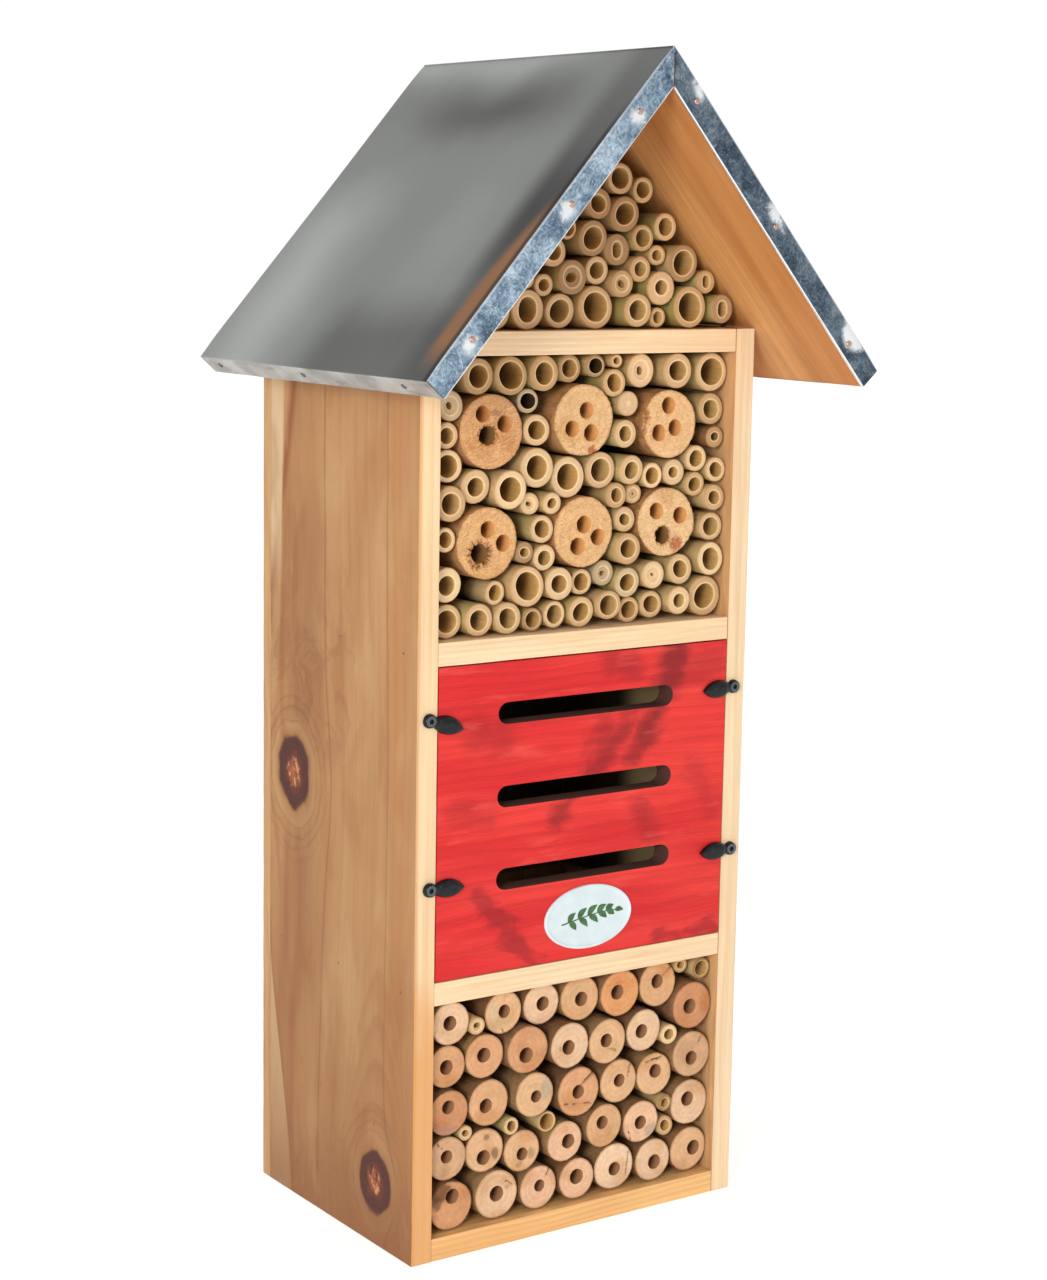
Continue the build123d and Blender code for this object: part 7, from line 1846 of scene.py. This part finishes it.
def button(which):
    side, px, pz, tilt = PIVOTS[which]
    out = button_outline()
    # counter-clockwise
    area = sum(a[0] * b[1] - b[0] * a[1] for a, b in zip(out, out[1:] + out[:1]))
    if area < 0:
        out = out[::-1]
    nO = len(out)
    hole_r, n_h = 1.56, 32
    hole = [(hole_r * math.cos(2 * math.pi * i / n_h), hole_r * math.sin(2 * math.pi * i / n_h)) for i in range(n_h)]
    poly = np.array(out)
    nxt = np.roll(poly, -1, axis=0)

    def dist(p):
        d = nxt - poly
        t = np.clip(((p - poly) * d).sum(1) / (d * d).sum(1), 0, 1)
        q = poly + d * t[:, None]
        return float(np.sqrt(((p - q) ** 2).sum(1)).min())

    def inside(p):
        x, y = p
        c = False
        for (x1, y1), (x2, y2) in zip(out, out[1:] + out[:1]):
            if (y1 > y) != (y2 > y) and x < (x2 - x1) * (y - y1) / (y2 - y1) + x1:
                c = not c
        return c

    pts = []
    g = 0.42
    j = 0
    v = -5.0
    while v < 5.0:
        u = -4.0 + (g / 2 if j % 2 else 0)
        while u < 20.4:
            if inside((u, v)) and dist(np.array((u, v))) > 0.2 and math.hypot(u, v) > hole_r + 0.22:
                pts.append((u, v))
            u += g
        v += g * 0.866
        j += 1
    # rings that carry the countersink and the rounded edge cleanly
    for rr in (2.2, 2.82, 2.98, 3.3):
        k = int(2 * math.pi * rr / 0.4)
        pts = [p for p in pts if abs(math.hypot(*p) - rr) > 0.2]
        pts += [(rr * math.cos(2 * math.pi * i / k), rr * math.sin(2 * math.pi * i / k)) for i in range(k)
                if inside((rr * math.cos(2 * math.pi * i / k), rr * math.sin(2 * math.pi * i / k)))]
    allp = [Vector(p) for p in out] + [Vector(p) for p in hole] + [Vector(p) for p in pts]
    edges = [(i, (i + 1) % nO) for i in range(nO)] + [(nO + i, nO + (i + 1) % n_h) for i in range(n_h)]
    vo, eo, fo, ov, oe, of_ = delaunay_2d_cdt(allp, edges, [], 0, 1e-6, True)

    def height(u, w):
        d = dist(np.array((u, w)))
        r = math.hypot(u, w)
        edge = min(1.0, d / 1.15)
        rnd = math.sqrt(max(0.0, 1 - (1 - edge) ** 2))
        boss_h = 2.4
        blade = 2.15 + 0.85 * (1 - min(1.0, abs(w) / (4.7 * max(0.15, 1 - abs((u - 11.2) / 9.6) ** 2.2))) ** 1.6)
        # the neck dips a little between boss and blade, and the point thins
        neck = 1 - 0.16 * math.exp(-((u - 4.3) / 1.2) ** 2)
        tip = 1 - 0.22 * sstep(14.0, 20.2, u)
        k = sstep(3.2, 5.4, u)
        top = boss_h * (1 - k) + blade * neck * tip * k
        h = 0.55 + (top - 0.55) * rnd
        # small dimple in the blade
        q = math.hypot((u - 12.6) / 1.5, w / 1.0)
        h -= 0.28 * math.exp(-q * q)
        if r < 3.0:
            h = min(h, 2.4)
            cs = 1.1 + (r - 1.56) / (2.95 - 1.56) * 1.32
            h = min(h, cs)
        return min(h, 3.0)

    t = math.radians(tilt)
    ux = Vector((-side * math.cos(t), 0, math.sin(t)))
    uy = Vector((0, -1, 0)).cross(ux)
    base = Vector((px, FRONT - 0.3, pz))
    B = Build()

    def place(u, w, h):
        return tuple(base + ux * u + uy * w + Vector((0, -h, 0)))

    ids, o_ring, h_ring = [], [None] * nO, [None] * n_h
    for i, p in enumerate(vo):
        on_edge = any(s < nO for s in ov[i])
        hh = 0.55 if on_edge else height(p.x, p.y)
        vi = B.vert(place(p.x, p.y, hh))
        ids.append(vi)
        for s in ov[i]:
            if s < nO:
                o_ring[s] = vi
            elif s < nO + n_h:
                h_ring[s - nO] = vi
    for f in fo:
        cx = sum(vo[i].x for i in f) / 3
        cy = sum(vo[i].y for i in f) / 3
        if math.hypot(cx, cy) < hole_r * 0.995 or not inside((cx, cy)):
            continue
        B.face([ids[i] for i in f], 0)
    low = [B.vert(place(p[0] * 0.985, p[1] * 0.985, 0.0)) for p in out]
    mid = [B.vert(place(p[0] * 0.999, p[1] * 0.999, 0.2)) for p in out]
    B.bridge(o_ring, mid, 0)
    B.bridge(mid, low, 0)
    hb = [B.vert(place(p[0], p[1], 0.0)) for p in hole]
    B.bridge(h_ring, hb, 0)
    # flat underside between the outline and the hole
    vo2, eo2, fo2, ov2, _, _ = delaunay_2d_cdt([Vector((p[0] * 0.985, p[1] * 0.985)) for p in out] + [Vector(p) for p in hole], edges, [], 0, 1e-6, True)
    names = {}
    for i, src in enumerate(ov2):
        s = src[0]
        names[i] = low[s] if s < nO else hb[s - nO]
    for f in fo2:
        cx = sum(vo2[i].x for i in f) / 3
        cy = sum(vo2[i].y for i in f) / 3
        if math.hypot(cx, cy) < hole_r * 0.995 or not inside((cx / 0.985, cy / 0.985)):
            continue
        B.face([names[i] for i in f][::-1], 0)
    ob = B.put("turn_button_" + which + "_look", [BLACK], sharp=48)
    return finish_piece(ob, "button_" + which, "black_metal", "turn_button_" + which)


for which in PIVOTS:
    button(which)

# one countersunk screw with a hexagon recess in each boss
B = Build()
for k, (side, px, pz, tilt) in enumerate(PIVOTS.values()):
    top = 2.4 + 0.3 - 0.03
    n = 36
    prev = None
    prof = [(0.05, -18.0), (0.9, -16.0), (1.45, -14.0), (1.45, 0.9), (1.5, top - 1.28), (2.62, top - 0.2), (2.8, top - 0.06), (2.66, top + 0.0),
            (1.62, top + 0.02)]
    for (r, h) in prof:
        ring = [B.vert((px + r * math.cos(2 * math.pi * i / n), FRONT - h, pz + r * math.sin(2 * math.pi * i / n))) for i in range(n)]
        if prev is None:
            c = B.vert((px, FRONT - h + 0.05, pz))
            B.fan(ring, c, 0)
        else:
            B.bridge(prev, ring, 0)
        prev = ring
    for (ra, h) in ((1.36, top - 0.03), (1.28, top - 0.9)):
        ring = []
        for i in range(n):
            t = 2 * math.pi * i / n
            q = (t + k * 0.4) % (math.pi / 3) - math.pi / 6
            r = ra * 0.9 / math.cos(q)
            ring.append(B.vert((px + r * math.cos(t), FRONT - h, pz + r * math.sin(t))))
        B.bridge(prev, ring, 0 if ra > 1.3 else 1)
        prev = ring
    c = B.vert((px, FRONT - top + 0.95, pz))
    B.fan(prev, c, 1)


# painted shade: the walls and bottom of the hexagon recess are coloured near black
def recess_painted_shade():
    N = Net("screw_recess")
    n = N.noise(N.P, 2.0, 3.0)
    return N.end(N.mix(n, lin(10, 11, 12), lin(34, 36, 38)), N.add(0.5, N.mul(n, 0.2)), N.bump(n, 0.2, 0.1), Metallic=0.4)


finish_piece(B.put("button_screws_look", [SCREW, recess_painted_shade()], sharp=35), "case", "black_metal", "button_screws")

# ============================================================ badge
BX, BZ, BA, BB = 3.0, 167.5, 27.5, 16.8
B = Build()
n = 120
prof = [(0.0, 0.0), (0.0, 0.62), (0.10, 0.92), (0.30, 1.12), (0.6, 1.2), (1.15, 1.2), (1.45, 1.12), (1.62, 0.92), (1.9, 0.84), (4.0, 0.84), (8.0, 0.86), (13.0, 0.88)]
prev = None
for (ins, h) in prof:
    ring = []
    for i in range(n):
        t = 2 * math.pi * i / n
        ring.append(B.vert((BX + (BA - ins) * math.cos(t), FRONT - h, BZ + (BB - ins) * math.sin(t))))
    if prev is None:
        first = ring
    else:
        B.bridge(prev, ring, 0)
    prev = ring
c = B.vert((BX, FRONT - 0.88, BZ))
B.fan(prev, c, 0)
c0 = B.vert((BX, FRONT, BZ))
B.fan(first, c0, 0)


def leaf(B, x0, z0, ang, length, width, mat, top=1.06, base_h=0.86, n=14):
    """A pointed leaf with a raised midrib, standing a little proud of the badge."""
    ca, sa = math.cos(ang), math.sin(ang)
    left, right, mid = [], [], []
    for i in range(n + 1):
        u = i / n
        w = width * 0.5 * math.sin(math.pi * u ** 0.82) ** 0.9 if 0 < u < 1 else 0.0
        bend = 0.10 * length * math.sin(math.pi * u)
        px, pz = u * length, bend
        for lst, off, h in ((left, w, top - 0.05), (right, -w, top - 0.05), (mid, 0.0, top + 0.08)):
            a, b = px, pz + off
            lst.append(B.vert((x0 + a * ca - b * sa, FRONT - h, z0 + a * sa + b * ca)))
    low_l = [B.vert((B.v[i][0], FRONT - base_h, B.v[i][2])) for i in left]
    low_r = [B.vert((B.v[i][0], FRONT - base_h, B.v[i][2])) for i in right]
    for i in range(n):
        B.face((mid[i], mid[i + 1], left[i + 1], left[i]), mat)
        B.face((right[i], right[i + 1], mid[i + 1], mid[i]), mat)
        B.face((left[i], left[i + 1], low_l[i + 1], low_l[i]), mat)
        B.face((low_r[i], low_r[i + 1], right[i + 1], right[i]), mat)
        B.face((low_l[i], low_l[i + 1], low_r[i + 1], low_r[i]), mat)


# a plain sprig: a curved stem with paired leaves
def stem_pt(u):
    return BX - 17.0 + 34.0 * u, BZ - 1.2 + 2.6 * math.sin(2.4 * u - 0.5)


prev = None
for i in range(41):
    u = i / 40
    x0, z0 = stem_pt(u)
    w = 0.42 - 0.2 * u
    ring = [B.vert((x0, FRONT - 0.86, z0 - w)), B.vert((x0, FRONT - 1.12, z0 - w * 0.5)), B.vert((x0, FRONT - 1.12, z0 + w * 0.5)), B.vert((x0, FRONT - 0.86, z0 + w))]
    if prev:
        B.bridge(prev, ring, 1)
    else:
        B.face(ring, 1)
    prev = ring
B.face(prev[::-1], 1)
for k, u in enumerate((0.12, 0.3, 0.48, 0.66, 0.82)):
    x0, z0 = stem_pt(u)
    ln = 8.4 - 1.1 * abs(k - 1.6)
    leaf(B, x0, z0, math.radians(48 - 4 * k), ln, 3.5, 1)
    leaf(B, x0 + 0.8, z0, math.radians(-46 + 5 * k), ln * 0.92, 3.3, 1)
x0, z0 = stem_pt(1.0)
leaf(B, x0 - 0.4, z0, math.radians(-6), 5.6, 2.8, 1)
finish_piece(B.put("oval_badge_look", [BADGE, LEAF], sharp=40), "case", "badge_plastic", "oval_badge")

# ============================================================ CAD pieces that keep their shape
PLAIN = {
    "case_brads": nail_metal("brad_steel", warm=False), "back_panel_nails": EAVE_NAIL, "roof_board_nails": EAVE_NAIL,
    "hanger_screws": SCREW,
}
for node, mt in PLAIN.items():
    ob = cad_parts[node]
    for sl in ob.material_slots:
        sl.material = mt
ob = soften("hanger_plate", width=0.25, wear=0.03, seed=30, step=6.0, segs=2)
ob.data.materials.append(PLATE)
finish_piece(ob, "case", "nail_steel", "hanger_plate")

# ============================================================ stage, light, camera
floor = Build()
nf = 24
ring0 = [floor.vert((9000 * math.cos(2 * math.pi * i / nf), 9000 * math.sin(2 * math.pi * i / nf), -0.3)) for i in range(nf)]
c = floor.vert((0, 0, -0.3))
floor.fan(ring0, c, 0)
fl = floor.put("studio_floor", [floor_white()], sharp=None, fix=False)
if fl.data.polygons[0].normal.z < 0:
    fl.data.flip_normals()

world = bpy.data.worlds.new("studio")
bpy.context.scene.world = world
world.use_nodes = True
wt = world.node_tree
bg = wt.nodes.get("Background") or wt.nodes.new("ShaderNodeBackground")
bg.inputs[0].default_value = (1.0, 1.0, 1.0, 1.0)
# an even white surround, dimmer overhead and in front so that the key shapes the wood
tc = wt.nodes.new("ShaderNodeTexCoord")
sx = wt.nodes.new("ShaderNodeSeparateXYZ")
wt.links.new(tc.outputs["Generated"], sx.inputs[0])


def fade(sock, a, b, lo, hi):
    mr = wt.nodes.new("ShaderNodeMapRange")
    mr.interpolation_type = "SMOOTHSTEP"
    wt.links.new(sock, mr.inputs[0])
    for i, v in enumerate((a, b, lo, hi)):
        mr.inputs[1 + i].default_value = v
    return mr.outputs[0]


pr = wt.nodes.new("ShaderNodeMath")
pr.operation = "MULTIPLY"
wt.links.new(fade(sx.outputs[2], 0.30, 0.95, 1.02, 0.55), pr.inputs[0])
wt.links.new(fade(sx.outputs[1], -0.10, -0.80, 1.0, 0.72), pr.inputs[1])
wt.links.new(pr.outputs[0], bg.inputs[1])


def area(name, azimuth, elevation, dist, size, power, target=(0.0, 0.0, 0.30), colour=(1, 1, 1), size_y=None):
    """Azimuth 0 is straight in front (-Y), positive to the right."""
    a, e = math.radians(azimuth), math.radians(elevation)
    d = Vector((math.sin(a) * math.cos(e), -math.cos(a) * math.cos(e), math.sin(e)))
    li = bpy.data.lights.new(name, "AREA")
    li.shape = "RECTANGLE"
    li.size, li.size_y = size, size_y or size
    li.energy = power
    li.color = colour
    ob = bpy.data.objects.new(name, li)
    bpy.context.scene.collection.objects.link(ob)
    ob.location = Vector(target) + d * dist
    ob.rotation_euler = d.to_track_quat("Z", "Y").to_euler()
    return ob


area("key", -52.0, 12.0, 2.4, 0.6, 29.0)
area("front_fill", -8.0, 14.0, 2.6, 1.2, 4.0)

cam = bpy.data.cameras.new("camera")
cam.sensor_width = 36.0
cam.sensor_fit = "AUTO"
cam.lens = 2549.95 / 1280.0 * 36.0
cam.clip_start, cam.clip_end = 0.05, 60.0
cam_ob = bpy.data.objects.new("camera", cam)
bpy.context.scene.collection.objects.link(cam_ob)
ya, pa, ra = math.radians(34.7018), math.radians(9.2118), math.radians(0.9852)
Rz = Matrix(((math.cos(ya), -math.sin(ya), 0), (math.sin(ya), math.cos(ya), 0), (0, 0, 1)))
Rx = Matrix(((1, 0, 0), (0, math.cos(pa), -math.sin(pa)), (0, math.sin(pa), math.cos(pa))))
Ry = Matrix(((math.cos(ra), 0, math.sin(ra)), (0, 1, 0), (-math.sin(ra), 0, math.cos(ra))))
R = Ry @ Rx @ Rz
T = Vector((-0.27618, 6.26190, -1.54085))
pos = (R.transposed() @ (-T)) * 0.205 - Vector((0.1025, 0.0515, 0.0))
M = Matrix((R[0], R[2], -R[1])).transposed().to_4x4()
M.translation = pos
cam_ob.matrix_world = M
bpy.context.scene.camera = cam_ob

vs = bpy.context.scene.view_settings
vs.view_transform = "Standard"
vs.look = "None"
vs.exposure = 0.0
vs.gamma = 1.0

bpy.context.view_layer.update()
